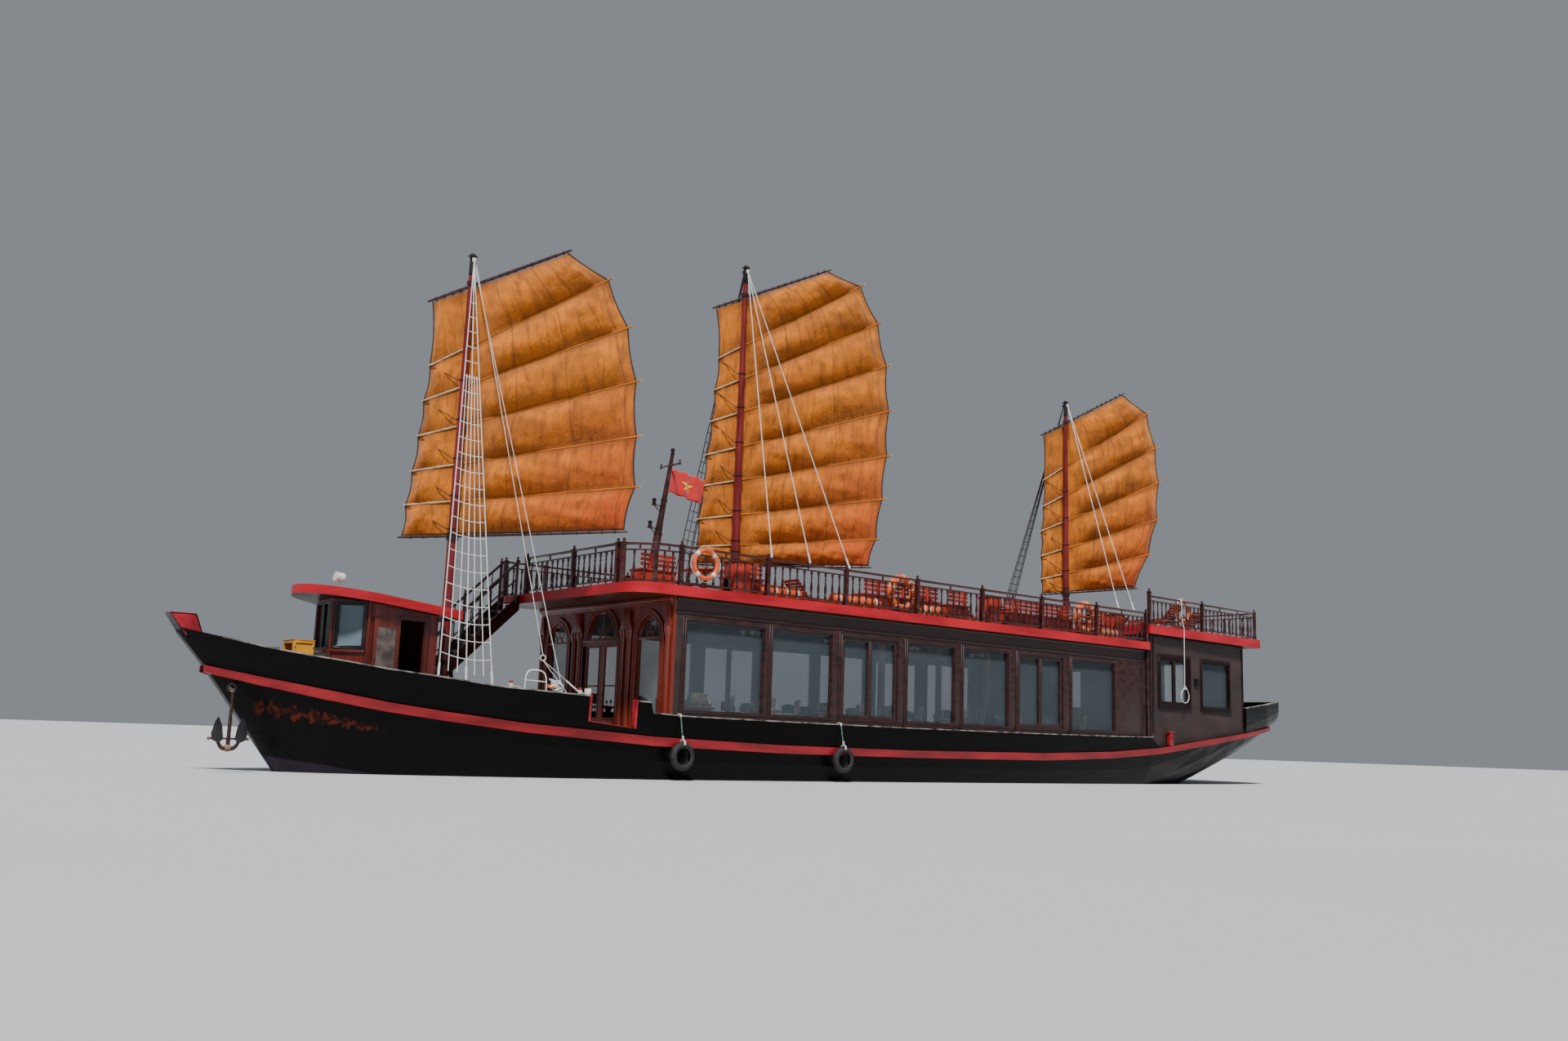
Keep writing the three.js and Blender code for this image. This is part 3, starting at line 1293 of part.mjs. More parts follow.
// Flag flying from the light mast, a rippled sheet drawn in X and Z.
function makeFlag() {
  const { low, high, thick, stand } = FLAG;
  const { count, reach, droop, deep, turn } = FOLDS;
  const hoist = (z) => lightMastX(z) - stand;
  const rings = Array.from({ length: count + 1 }, (_, i) => {
    const y = deep * Math.sin(i * turn);
    const corner = (z, side) => [hoist(z) - i * reach, y + (side * thick) / 2, z - i * droop];
    return [corner(low, -1), corner(low, 1), corner(high, 1), corner(high, -1)];
  });
  const sheet = skin(rings);
  const toggles = [low + 60, high - 100].map((z) =>
    block(hoist(z) - 30, lightMastX(z) - 20, -5, 5, z - 12, z + 12),
  );
  return cut(join(sheet, ...toggles), lightPole(0.4));
}

// Skeg with the propeller's bore, heel and rudder port are part of the hull; these parts move.
function makeRudder() {
  const { x, stock, fore, aft, low, high } = RUDDER;
  const post = bar([x, 0, low + 60], [x, 0, RUDDER.portTop - 30], stock, stock, MAST_SIDES);
  const blade = sideProfile(
    [
      [x + fore, low],
      [x + fore, high],
      [x - aft + 120, high],
      [x - aft, high - 350],
      [x - aft, low + 60],
      [x - aft + 200, low],
    ],
    -45,
    45,
  );
  const pintle = bar([x, 0, HEEL.high + GAP], [x, 0, low + 20], 30, 30, MAST_SIDES);
  return join(post, blade, pintle);
}

function makePropeller() {
  const { x, z, hub, tip, shaft, bore } = PROPELLER;
  const axle = bar([x - 130, 0, z], [x + bore - GAP, 0, z], shaft, shaft, MAST_SIDES);
  const boss = bar([x - 140, 0, z], [x + 120, 0, z], hub * 0.6, hub, 12);
  const blades = [0, 1, 2, 3].map((i) => {
    const plate = new THREE.BoxGeometry(26, 250, tip - hub + 40);
    plate.translate(0, 0, (tip + hub) / 2 - 10);
    plate.rotateZ(THREE.MathUtils.degToRad(32));
    plate.rotateX((i * Math.PI) / 2 + Math.PI / 4);
    plate.translate(x, 0, z);
    return solid(plate);
  });
  return join(axle, boss, ...blades);
}

function makeFender({ x }, clearOf) {
  const side = [x - TYRE.outer, x, x + TYRE.outer].map((at) => hullHalf(at, waleZ(at)));
  const y = Math.max(...side) + WALE_PROUD + TYRE.thick / 2 + 0.5;
  const section = [
    [TYRE.inner, -40],
    [TYRE.outer - 45, -TYRE.thick / 2],
    [TYRE.outer, -45],
    [TYRE.outer, 45],
    [TYRE.outer - 45, TYRE.thick / 2],
    [TYRE.inner, 40],
    [TYRE.inner, -40],
  ].map(([r, h]) => new THREE.Vector2(r, h));
  const ring = new THREE.LatheGeometry(section, 28);
  ring.translate(x, y, TYRE.z);
  const cap = sheerZ(x);
  const over = hullHalf(x, cap) + 30;
  const rope = join(
    bar([x, y, TYRE.z + TYRE.outer - 20], [x, over, cap - 20], 13, 13, 6),
    bar([x, over, cap - 25], [x, over - 10, cap + 25], 13, 13, 6),
    bar([x, over, cap + 8], [x, over - 85, cap + 8], 13, 13, 6),
  );
  return cut(join(solid(ring), rope), clearOf);
}

const hullClear = join(hullLifted, hullGrown);
addPiece("fore_tabernacle", makeTabernacle(), "mastRed");
addPiece("anchor", makeAnchor(hullClear), "iron");
addPiece("windlass", makeWindlass(), "yellow");
addPiece("light_mast", makeLightMast(), "darkRail");
addPiece("flag", makeFlag(), "flagRed");
addPiece("rudder", makeRudder(), "hullBlack");
addPiece("propeller", makePropeller(), "bronze");
for (const fender of FENDERS) addPiece(fender.name, makeFender(fender, hullClear), "rubber");

function makeRope() {
  const path = new THREE.CatmullRomCurve3(ROPE_ROUTE.map((at) => new THREE.Vector3(...at)));
  const section = new THREE.Shape();
  for (let i = 0; i < ROPE.sides; i++) {
    const angle = (2 * Math.PI * i) / ROPE.sides;
    const at = [ROPE.radius * Math.cos(angle), ROPE.radius * Math.sin(angle)];
    if (i) section.lineTo(...at);
    else section.moveTo(...at);
  }
  const steps = Math.round(path.getLength() / ROPE.step);
  return solid(new THREE.ExtrudeGeometry(section, { steps, extrudePath: path, bevelEnabled: false }));
}

addPiece("hanging_rope", makeRope(), "rope");

export default ship;
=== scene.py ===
import json
import math

import bmesh
import bpy
from bpy.props import FloatProperty, FloatVectorProperty, IntProperty, PointerProperty
from mathutils import Matrix, Vector, noise

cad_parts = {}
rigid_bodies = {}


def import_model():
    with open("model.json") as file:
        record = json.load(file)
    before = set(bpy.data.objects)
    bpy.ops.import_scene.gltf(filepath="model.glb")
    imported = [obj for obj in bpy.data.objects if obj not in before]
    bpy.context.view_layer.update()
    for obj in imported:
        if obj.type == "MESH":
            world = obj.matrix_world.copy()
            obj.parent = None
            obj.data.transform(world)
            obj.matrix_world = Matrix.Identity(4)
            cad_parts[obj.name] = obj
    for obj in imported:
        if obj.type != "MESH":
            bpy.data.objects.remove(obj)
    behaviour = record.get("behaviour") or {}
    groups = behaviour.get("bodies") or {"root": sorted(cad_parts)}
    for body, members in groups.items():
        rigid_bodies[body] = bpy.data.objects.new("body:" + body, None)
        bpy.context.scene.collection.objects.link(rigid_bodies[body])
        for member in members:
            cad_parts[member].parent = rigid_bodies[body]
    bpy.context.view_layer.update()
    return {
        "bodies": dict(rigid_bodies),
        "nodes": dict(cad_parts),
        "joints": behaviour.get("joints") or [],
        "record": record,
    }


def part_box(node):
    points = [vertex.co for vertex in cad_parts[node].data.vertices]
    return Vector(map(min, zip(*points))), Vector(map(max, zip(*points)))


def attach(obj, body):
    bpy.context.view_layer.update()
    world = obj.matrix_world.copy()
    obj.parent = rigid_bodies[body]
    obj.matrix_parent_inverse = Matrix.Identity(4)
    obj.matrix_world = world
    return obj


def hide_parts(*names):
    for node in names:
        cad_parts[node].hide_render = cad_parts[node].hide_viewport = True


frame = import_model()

bl_info = {
    "name": "Sailing junk looks",
    "version": (1, 0, 0),
    "blender": (4, 5, 0),
    "location": "View3D > Sidebar > Junk",
    "description": "Sails, rigging, railings, trim and finishes of a cruise junk, around its fixed frame",
    "category": "Object",
}

SHIP = "ship"
SIDES = (("port", 1), ("starboard", -1))
MATERIALS = {}
# Trim stands this far off the solid behind it, so that no two faces lie in one plane.
LIFT = 0.0005
MERGE = 1e-5
SMOOTH_BELOW = math.radians(40)
QUARTER = math.radians(90)


# Nodes of a material

class Nodes:
    """A material's node tree, with short ways to add and join nodes."""

    def __init__(self, name):
        self.material = MATERIALS[name] = bpy.data.materials.new(name)
        self.material.use_nodes = True
        self.tree = self.material.node_tree
        self.shader = self.tree.nodes["Principled BSDF"]
        self.place = self.add("ShaderNodeTexCoord").outputs["Object"]

    def add(self, kind, **settings):
        node = self.tree.nodes.new(kind)
        for key, value in settings.items():
            setattr(node, key, value)
        return node

    def join(self, output, target):
        if isinstance(output, bpy.types.NodeSocket):
            self.tree.links.new(output, target)
        else:
            target.default_value = output

    def scaled(self, scale, source=None):
        """Coordinates stretched by a scale along each axis."""
        node = self.add("ShaderNodeMapping")
        self.join(source or self.place, node.inputs["Vector"])
        node.inputs["Scale"].default_value = scale
        return node.outputs["Vector"]

    def noise(self, scale, detail=4.0, stretch=(1, 1, 1), source=None, distortion=0.0):
        node = self.add("ShaderNodeTexNoise")
        self.join(self.scaled(stretch, source), node.inputs["Vector"])
        node.inputs["Scale"].default_value = scale
        node.inputs["Detail"].default_value = detail
        node.inputs["Distortion"].default_value = distortion
        return node.outputs["Fac"]

    def math(self, operation, a, b=0.0):
        node = self.add("ShaderNodeMath", operation=operation)
        self.join(a, node.inputs[0])
        self.join(b, node.inputs[1])
        return node.outputs[0]

    def plus(self, a, b):
        return self.math("ADD", a, b)

    def times(self, a, b):
        return self.math("MULTIPLY", a, b)

    def span(self, value, low, high, to_low=0.0, to_high=1.0):
        """A value mapped from one span to another, clamped."""
        node = self.add("ShaderNodeMapRange")
        self.join(value, node.inputs["Value"])
        for key, number in zip(("From Min", "From Max", "To Min", "To Max"), (low, high, to_low, to_high)):
            node.inputs[key].default_value = number
        return node.outputs["Result"]

    def axis(self, index, source=None):
        node = self.add("ShaderNodeSeparateXYZ")
        self.join(source or self.place, node.inputs[0])
        return node.outputs[index]

    def mix(self, share, a, b):
        """Two colours mixed by a share."""
        node = self.add("ShaderNodeMix", data_type="RGBA")
        self.join(share, node.inputs["Factor"])
        for value, target in ((a, node.inputs["A"]), (b, node.inputs["B"])):
            self.join(value if isinstance(value, bpy.types.NodeSocket) else (*value, 1.0), target)
        return node.outputs["Result"]

    def bump(self, height, distance, strength=1.0):
        node = self.add("ShaderNodeBump")
        node.inputs["Strength"].default_value = strength
        node.inputs["Distance"].default_value = distance
        self.join(height, node.inputs["Height"])
        self.join(node.outputs["Normal"], self.shader.inputs["Normal"])

    def set(self, **values):
        """Shader inputs by name, with spaces written as underscores."""
        for key, value in values.items():
            target = self.shader.inputs[key.replace("_", " ")]
            if isinstance(value, tuple) and len(value) == 3:
                value = (*value, 1.0)
            self.join(value, target)

    def facing_up(self):
        """One where the surface faces up, none on walls and ceilings."""
        up = self.axis(2, self.add("ShaderNodeNewGeometry").outputs["Normal"])
        return self.span(up, 0.6, 0.8)


def srgb(red, green, blue):
    """A colour as seen on a screen, 0 to 255, in linear light."""
    return tuple(((c / 255 + 0.055) / 1.055) ** 2.4 if c > 10 else c / 3295 for c in (red, green, blue))


def shade(colour, factor):
    """A colour made darker or brighter."""
    return tuple(min(1.0, value * factor) for value in colour[:3])


def plain(name, dark, light, scale, rough, bump=0.0, stretch=(1, 1, 1), metallic=0.0, coat=0.0):
    """A painted or cast surface: two tones in patches, uneven gloss and a fine relief."""
    nodes = Nodes(name)
    patch = nodes.noise(scale, 6.0, stretch)
    fine = nodes.noise(scale * 12, 3.0, stretch)
    nodes.set(
        Base_Color=nodes.mix(nodes.span(patch, 0.35, 0.65), dark, light),
        Roughness=nodes.span(patch, 0.3, 0.7, rough[0], rough[1]),
        Metallic=metallic,
        Coat_Weight=coat,
    )
    if bump:
        nodes.bump(nodes.plus(nodes.times(patch, 0.6), nodes.times(fine, 0.4)), bump)


def plank_pattern(nodes, across, width, along, length=None):
    """Seams between planks, a tone for each plank, and the grain along them."""
    side = nodes.math("DIVIDE", nodes.axis(across), width)
    row = nodes.math("FLOOR", side)
    seam = nodes.math("PINGPONG", side, 0.5)
    edge = nodes.span(seam, 0.0, 0.05)
    cells = nodes.add("ShaderNodeCombineXYZ")
    nodes.join(row, cells.inputs[0])
    if length:
        shift = nodes.times(row, 0.37)
        run = nodes.plus(nodes.math("DIVIDE", nodes.axis(along), length), shift)
        nodes.join(nodes.math("FLOOR", run), cells.inputs[1])
        butt = nodes.span(nodes.math("PINGPONG", run, 0.5), 0.0, 0.05 * width / length)
        edge = nodes.math("MINIMUM", edge, butt)
    tone = nodes.add("ShaderNodeTexWhiteNoise")
    nodes.join(cells.outputs[0], tone.inputs["Vector"])
    stretch = [14.0, 14.0, 14.0]
    stretch[along] = 0.9
    grain = nodes.noise(2.2, 6.0, stretch, distortion=0.6)
    return edge, tone.outputs["Value"], grain


def wood(name, dark, light, across, width, along, rough, length=None, coat=0.0,
         seam_colour=(0.01, 0.008, 0.006)):
    """Boards side by side, each with its own tone, with dark seams between them."""
    nodes = Nodes(name)
    edge, tone, grain = plank_pattern(nodes, across, width, along, length)
    share = nodes.plus(nodes.times(tone, 0.45), nodes.times(grain, 0.55))
    colour = nodes.mix(nodes.span(share, 0.25, 0.75), dark, light)
    nodes.set(
        Base_Color=nodes.mix(edge, seam_colour, colour),
        Roughness=nodes.span(grain, 0.3, 0.7, rough[0], rough[1]),
        Coat_Weight=coat,
        Coat_Roughness=0.15,
    )
    nodes.bump(nodes.plus(edge, nodes.times(grain, 0.15)), 0.004)


# Meshes

def piece(name, mesh, material, body=SHIP, replaces=()):
    """A finished object from a bmesh, at the origin, riding on a body, smooth up to its sharp edges."""
    data = bpy.data.meshes.new(name)
    for face in mesh.faces:
        face.smooth = True
    mesh.to_mesh(data)
    mesh.free()
    for one in material if isinstance(material, (list, tuple)) else [material]:
        data.materials.append(MATERIALS[one])
    obj = bpy.data.objects.new(name, data)
    bpy.context.scene.collection.objects.link(obj)
    obj.modifiers.new("edges", "EDGE_SPLIT").split_angle = SMOOTH_BELOW
    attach(obj, body)
    if replaces:
        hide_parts(*replaces)
    return obj


def put(mesh, part, places=(Matrix(),), index=None):
    """Adds copies of a small bmesh to a larger one, one at each place, and frees it."""
    bmesh.ops.recalc_face_normals(part, faces=part.faces[:])
    if index is not None:
        for face in part.faces:
            face.material_index = index
    data = bpy.data.meshes.new("part")
    part.to_mesh(data)
    part.free()
    for place in places:
        copy = data.copy()
        copy.transform(place)
        mesh.from_mesh(copy)
        bpy.data.meshes.remove(copy)
    bpy.data.meshes.remove(data)


def round_off(part, edges, size, segments=2):
    """Bevels edges to a round."""
    bmesh.ops.bevel(part, geom=edges, offset=size, segments=segments, affect="EDGES", profile=0.5,
                    material=-1)


def box(mesh, low, high, bevel=0.0, turn=Matrix(), index=0):
    """A block between two corners, its edges rounded; turn is a matrix put on it last."""
    low, high = Vector(low), Vector(high)
    size = Vector(abs(s) for s in high - low)
    part = bmesh.new()
    bmesh.ops.create_cube(part, size=1.0,
                          matrix=Matrix.Translation((low + high) / 2) @ Matrix.Diagonal((*size, 1.0)))
    if bevel:
        round_off(part, part.edges[:], bevel)
    put(mesh, part, [turn], index)


def strip(mesh, xs, y, side, out, zs, bevel=0.0, index=0):
    """A board lying on the wall at y, that faces port for side 1 and starboard for -1."""
    box(mesh, (xs[0], y + side * LIFT, zs[0]), (xs[1], y + side * out, zs[1]), bevel, index=index)


def frame_along(direction):
    """A matrix whose Z axis lies along a direction."""
    return Vector((0, 0, 1)).rotation_difference(direction).to_matrix().to_4x4()


def closed_line(part, points):
    """New vertices at points, and the edges of the ring through them."""
    verts = [part.verts.new(point) for point in points]
    return verts, [part.edges.new(pair) for pair in zip(verts, verts[1:] + verts[:1])]


def spin(mesh, part, geom, sides, at, way, index):
    """Spins an outline about the Z axis, and adds it at a place with that axis along a direction."""
    bmesh.ops.spin(part, geom=geom, axis=(0, 0, 1), angle=math.tau, steps=sides, use_merge=True)
    bmesh.ops.remove_doubles(part, verts=part.verts[:], dist=MERGE)
    put(mesh, part, [Matrix.Translation(at) @ frame_along(Vector(way))], index)


def oriented(axis, a, b, c):
    """A point with c along an axis, and a and b along the other two, in order."""
    return Vector({0: (c, a, b), 1: (a, c, b), 2: (a, b, c)}[axis])


def push(part, faces, way):
    """Draws faces out into a solid."""
    made = bmesh.ops.extrude_face_region(part, geom=faces)["geom"]
    bmesh.ops.translate(part, verts=[vert for vert in made if isinstance(vert, bmesh.types.BMVert)], vec=way)


def rod(mesh, start, end, r0, r1=None, sides=10, index=0):
    """A straight round bar."""
    start, end = Vector(start), Vector(end)
    way = end - start
    place = Matrix.Translation((start + end) / 2) @ frame_along(way)
    part = bmesh.new()
    bmesh.ops.create_cone(
        part, cap_ends=True, segments=sides, radius1=r0, radius2=r0 if r1 is None else r1, depth=way.length
    )
    put(mesh, part, [place], index)


def tube(mesh, points, radius, sides=8, index=0, closed=False):
    """A round tube drawn out along points; radius is one number or one for each point."""
    points = [Vector(p) for p in points]
    count = len(points)
    radii = radius if isinstance(radius, (list, tuple)) else [radius] * count
    frames = []
    normal = None
    for i, point in enumerate(points):
        before = points[i - 1] if i or closed else point
        after = points[(i + 1) % count] if i + 1 < count or closed else point
        way = (after - before).normalized()
        normal = normal or way.orthogonal()
        normal = (normal - way * normal.dot(way)).normalized()
        turn = Matrix((normal, way.cross(normal), way)).transposed().to_4x4()
        frames.append(Matrix.Translation(point) @ turn @ Matrix.Diagonal((radii[i], radii[i], 1.0, 1.0)))
    part = bmesh.new()
    bmesh.ops.create_circle(part, cap_ends=not closed, segments=sides, radius=1.0, matrix=frames[0])
    ring = first = part.edges[:]
    for a, b in zip(frames, frames[1:]):
        made = bmesh.ops.extrude_edge_only(part, edges=ring)["geom"]
        ring = [e for e in made if isinstance(e, bmesh.types.BMEdge)]
        bmesh.ops.transform(part, matrix=b @ a.inverted(), verts=list({v for e in ring for v in e.verts}))
    if closed:
        bmesh.ops.bridge_loops(part, edges=ring + first)
    else:
        bmesh.ops.contextual_create(part, geom=ring)
    put(mesh, part, index=index)


def turned(mesh, profile, at=(0, 0, 0), way=(0, 0, 1), sides=16, index=0):
    """A turned piece: radius and height pairs spun about an axis through a place."""
    outline = [(0, profile[0][1]), *profile, (0, profile[-1][1])]
    part = bmesh.new()
    verts = [part.verts.new((r, 0, h)) for r, h in outline]
    edges = [part.edges.new(pair) for pair in zip(verts, verts[1:])]
    spin(mesh, part, verts + edges, sides, at, way, index)


def hoop(mesh, at, way, radius, thick, sides=24, index=0):
    """A round ring about an axis."""
    part = bmesh.new()
    place = Matrix.Translation((radius, 0, 0)) @ Matrix.Rotation(QUARTER, 4, "X")
    bmesh.ops.create_circle(part, segments=8, radius=thick, matrix=place)
    spin(mesh, part, part.verts[:] + part.edges[:], sides, at, way, index)


def band(mesh, at, way, inner, outer, low, high, sides=24, index=0):
    """A flat ring about an axis, between two radii and two heights."""
    part = bmesh.new()
    verts, edges = closed_line(part, [(inner, 0, low), (outer, 0, low), (outer, 0, high), (inner, 0, high)])
    spin(mesh, part, verts + edges, sides, at, way, index)


def prism(mesh, outline, low, high, axis=2, index=0, bevel=0.0):
    """A flat outline pushed along an axis; its points are the other two coordinates, in order."""
    part = bmesh.new()
    face = part.faces.new([part.verts.new(oriented(axis, a, b, low)) for a, b in outline])
    push(part, [face], oriented(axis, 0, 0, high - low))
    if bevel:
        round_off(part, part.edges[:], bevel)
    put(mesh, part, index=index)


def smooth_line(points, count):
    """A Catmull-Rom curve through points, with so many steps."""
    points = [Vector(p) for p in points]
    ends = [points[0] * 2 - points[1], *points, points[-1] * 2 - points[-2]]
    made = []
    for i in range(count + 1):
        t = (len(points) - 1) * i / count
        k = min(int(t), len(points) - 2)
        t -= k
        a, b, c, d = ends[k : k + 4]
        cubed = (3 * b - a - 3 * c + d) * t**3
        made.append(0.5 * (2 * b + (c - a) * t + (2 * a - 5 * b + 4 * c - d) * t**2 + cubed))
    return made


def along(table, x):
    """Values of a table at x, straight between its rows; rows run from bow to stern."""
    if x >= table[0][0]:
        return table[0][1:]
    for a, b in zip(table, table[1:]):
        if x >= b[0]:
            t = (x - b[0]) / (a[0] - b[0])
            return tuple(q + (p - q) * t for p, q in zip(a[1:], b[1:]))
    return table[-1][1:]


# Finishes

def canvas(colour, worn):
    """Sailcloth, by its own coordinates: along the chord, and down the panels, counted from the head. Its
    colour holds painted shadow under each batten, painted shade low in each panel and along the folds, and a
    painted red reflection of the deck low at the leech.
    """
    nodes = Nodes("canvas")
    spot = nodes.add("ShaderNodeUVMap", uv_map="panels").outputs[0]
    chord, down = nodes.axis(0, spot), nodes.axis(1, spot)
    depth = nodes.axis(0, nodes.add("ShaderNodeUVMap", uv_map="depth").outputs[0])
    phase = nodes.math("FRACT", down)
    cloud = nodes.noise(0.9, 6.0, (1, 1, 1.6), distortion=0.8)
    streak = nodes.noise(1.6, 5.0, (1.3, 1.3, 0.35), distortion=1.2)
    folds = nodes.noise(1.0, 5.0, (34, 1.6, 1), spot, distortion=0.5)
    tone = nodes.plus(nodes.times(cloud, 0.6), nodes.times(streak, 0.4))
    bright, dark = shade(colour, 1.1), shade(colour, 0.13)
    colour = nodes.mix(nodes.span(tone, 0.38, 0.62), shade(colour, 0.55), bright)
    # Painted red reflection of the deck, stronger towards the foot and the leech.
    low = nodes.times(nodes.span(depth, 0.45, 1.0), nodes.span(chord, 0.35, 1.0))
    colour = nodes.mix(nodes.times(low, 0.8), colour, worn)
    # Painted shadow under each batten, and painted shade low in each panel, both mottled by noise.
    batten_shadow = nodes.times(nodes.span(phase, 0.2, 0.02), nodes.span(cloud, 0.3, 0.6, 0.5, 1.0))
    hollow = nodes.times(nodes.span(phase, 0.62, 1.0), nodes.span(streak, 0.35, 0.6, 0.5, 1.0))
    painted_shade = nodes.math("MAXIMUM", nodes.times(batten_shadow, 0.7), nodes.times(hollow, 0.5))
    colour = nodes.mix(painted_shade, colour, dark)
    # Painted shade along the folds of the cloth.
    colour = nodes.mix(nodes.span(folds, 0.5, 0.32, 0.0, 0.45), colour, dark)
    pocket = nodes.math("GREATER_THAN", nodes.math("PINGPONG", down, 0.5), 0.04)
    wavy = nodes.plus(chord, nodes.times(nodes.noise(0.5, 1.0), 0.1))
    seams = nodes.span(nodes.math("PINGPONG", nodes.times(wavy, 4.0), 0.5), 0.0, 0.025)
    lines = nodes.times(nodes.plus(nodes.times(pocket, 0.3), 0.7),
                       nodes.plus(nodes.times(seams, 0.5), 0.5))
    nodes.set(Base_Color=nodes.mix(lines, dark, colour), Roughness=0.92, Sheen_Weight=0.15)
    weave = nodes.noise(160.0, 2.0)
    crease = nodes.noise(5.0, 5.0, (2.2, 2.2, 0.5), distortion=1.5)
    wrinkles = nodes.plus(crease, nodes.times(folds, 0.9))
    nodes.bump(nodes.plus(nodes.times(weave, 0.05), wrinkles), 0.045, 0.8)


def hull_paint(colour):
    """Gloss black topsides with laid planks, a grey-violet boot-top and red lead under water."""
    nodes = Nodes("hull_black")
    height = nodes.axis(2)
    waver = nodes.noise(0.7, 4.0)
    patch = nodes.noise(1.1, 6.0, (0.4, 1, 1.8))
    black = nodes.mix(nodes.span(patch, 0.35, 0.7), shade(colour, 0.35), colour)
    along_hull = nodes.axis(0)
    middle = nodes.plus(nodes.times(along_hull, 0.178), -1.83)
    off = nodes.math("ABSOLUTE", nodes.math("SUBTRACT", height, middle))
    flames = nodes.noise(1.0, 3.0, (9.0, 1.0, 2.2), distortion=0.8)
    reach = nodes.times(nodes.span(along_hull, 15.3, 17.3, 0.06, 0.2), nodes.span(flames, 0.35, 0.6))
    ends = nodes.times(nodes.span(along_hull, 15.3, 15.9), nodes.span(along_hull, 17.7, 17.5))
    worn = nodes.span(nodes.noise(7.0, 5.0), 0.42, 0.58, 0.15, 0.9)
    flame = nodes.times(nodes.times(nodes.math("LESS_THAN", off, reach), ends), worn)
    line = nodes.plus(height, nodes.times(waver, 0.06))
    boot = nodes.span(along_hull, 15.4, 17.4, 0.05, 0.38)
    colour = nodes.mix(flame, black, srgb(96, 34, 16))
    colour = nodes.mix(nodes.math("LESS_THAN", line, boot), colour, srgb(44, 34, 46))
    colour = nodes.mix(nodes.span(line, 0.03, 0.01), colour, srgb(74, 24, 20))
    nodes.set(
        Base_Color=colour,
        Roughness=nodes.span(patch, 0.3, 0.7, 0.28, 0.46),
        Specular_IOR_Level=0.12,
    )
    strakes = nodes.span(nodes.math("PINGPONG", nodes.math("DIVIDE", height, 0.24), 0.5), 0.0, 0.04)
    nodes.bump(nodes.plus(strakes, nodes.times(nodes.noise(1.8, 5.0), 0.8)), 0.006, 0.5)


def roof_slab(name, top, side, below):
    """A roof: planked on top, painted on its edge, and varnished underneath."""
    nodes = Nodes(name)
    edge, tone, grain = plank_pattern(nodes, 1, 0.14, 0, 3.2)
    deck = nodes.mix(nodes.plus(nodes.times(tone, 0.5), nodes.times(grain, 0.5)), *top)
    deck = nodes.mix(edge, (0.02, 0.012, 0.01), deck)
    patch = nodes.noise(1.4, 6.0, (0.5, 0.5, 2.0))
    paint = nodes.mix(nodes.span(patch, 0.35, 0.65), *side)
    down = nodes.axis(2, nodes.add("ShaderNodeNewGeometry").outputs["Normal"])
    colour = nodes.mix(nodes.facing_up(), paint, deck)
    nodes.set(
        Specular_IOR_Level=nodes.span(down, -0.6, -0.8, 0.5, 0.05),
        Base_Color=nodes.mix(nodes.span(down, -0.6, -0.8), colour, below),
        Roughness=nodes.span(patch, 0.3, 0.7, 0.32, 0.5),
    )
    nodes.bump(nodes.times(nodes.facing_up(), edge), 0.004, 0.6)


def mast_paint(colour):
    """Dark red paint, black at the masthead."""
    nodes = Nodes("mast_red")
    patch = nodes.noise(2.0, 5.0, (3, 3, 0.5))
    paint = nodes.mix(nodes.span(patch, 0.3, 0.7), shade(colour, 0.5), colour)
    nodes.set(Base_Color=paint, Roughness=nodes.span(patch, 0.3, 0.7, 0.28, 0.45), Coat_Weight=0.2)
    nodes.bump(nodes.noise(9.0, 4.0, (3, 3, 0.3)), 0.003)


def laid_rope(name, dark, light, pitch):
    """Laid rope: strands winding at a slant, by world height and width."""
    nodes = Nodes(name)
    slant = nodes.plus(nodes.axis(2), nodes.times(nodes.axis(0), 0.7))
    strand = nodes.math("PINGPONG", nodes.math("DIVIDE", slant, pitch), 0.5)
    patch = nodes.noise(3.0, 4.0)
    # The colour is darker in the grooves between the strands: painted shade.
    share = nodes.plus(nodes.times(strand, 0.8), nodes.times(patch, 0.5))
    nodes.set(Base_Color=nodes.mix(nodes.span(share, 0.1, 0.8), dark, light), Roughness=0.9)
    nodes.bump(strand, 0.004)


def glass(name, colour, alpha):
    """Smeared window glass: some of what is behind it shows through."""
    nodes = Nodes(name)
    smear = nodes.noise(1.2, 4.0)
    nodes.set(
        Base_Color=colour, Roughness=nodes.span(smear, 0.3, 0.8, 0.02, 0.08), IOR=1.45,
        Alpha=nodes.span(smear, 0.3, 0.7, alpha, alpha + 0.08), Specular_IOR_Level=0.6,
    )
    nodes.material.surface_render_method = "BLENDED"


def red_flag(colour):
    """Red bunting with a yellow five-pointed star, drawn by the flag's own coordinates."""
    nodes = Nodes("flag_red")
    spot = nodes.add("ShaderNodeUVMap", uv_map="flag").outputs[0]
    x = nodes.math("SUBTRACT", nodes.axis(0, spot), 0.75)
    y = nodes.math("SUBTRACT", nodes.axis(1, spot), 0.5)
    turn = nodes.math("ARCTAN2", x, y)
    fifth = math.radians(72)
    wedge = nodes.math("PINGPONG", turn, fifth / 2)
    reach = nodes.math("SQRT", nodes.plus(nodes.times(x, x), nodes.times(y, y)))
    across = nodes.times(reach, nodes.math("SINE", wedge))
    out = nodes.times(reach, nodes.math("COSINE", wedge))
    slope = math.tan(math.radians(18))
    rim = nodes.plus(out, nodes.math("DIVIDE", across, slope))
    star = nodes.math("LESS_THAN", rim, 0.29)
    fade = nodes.noise(3.0, 4.0)
    red = nodes.mix(fade, shade(colour, 0.55), colour)
    nodes.set(Base_Color=nodes.mix(star, red, srgb(240, 200, 40)), Roughness=0.85, Sheen_Weight=0.3)
    nodes.bump(nodes.noise(180.0, 2.0), 0.001)


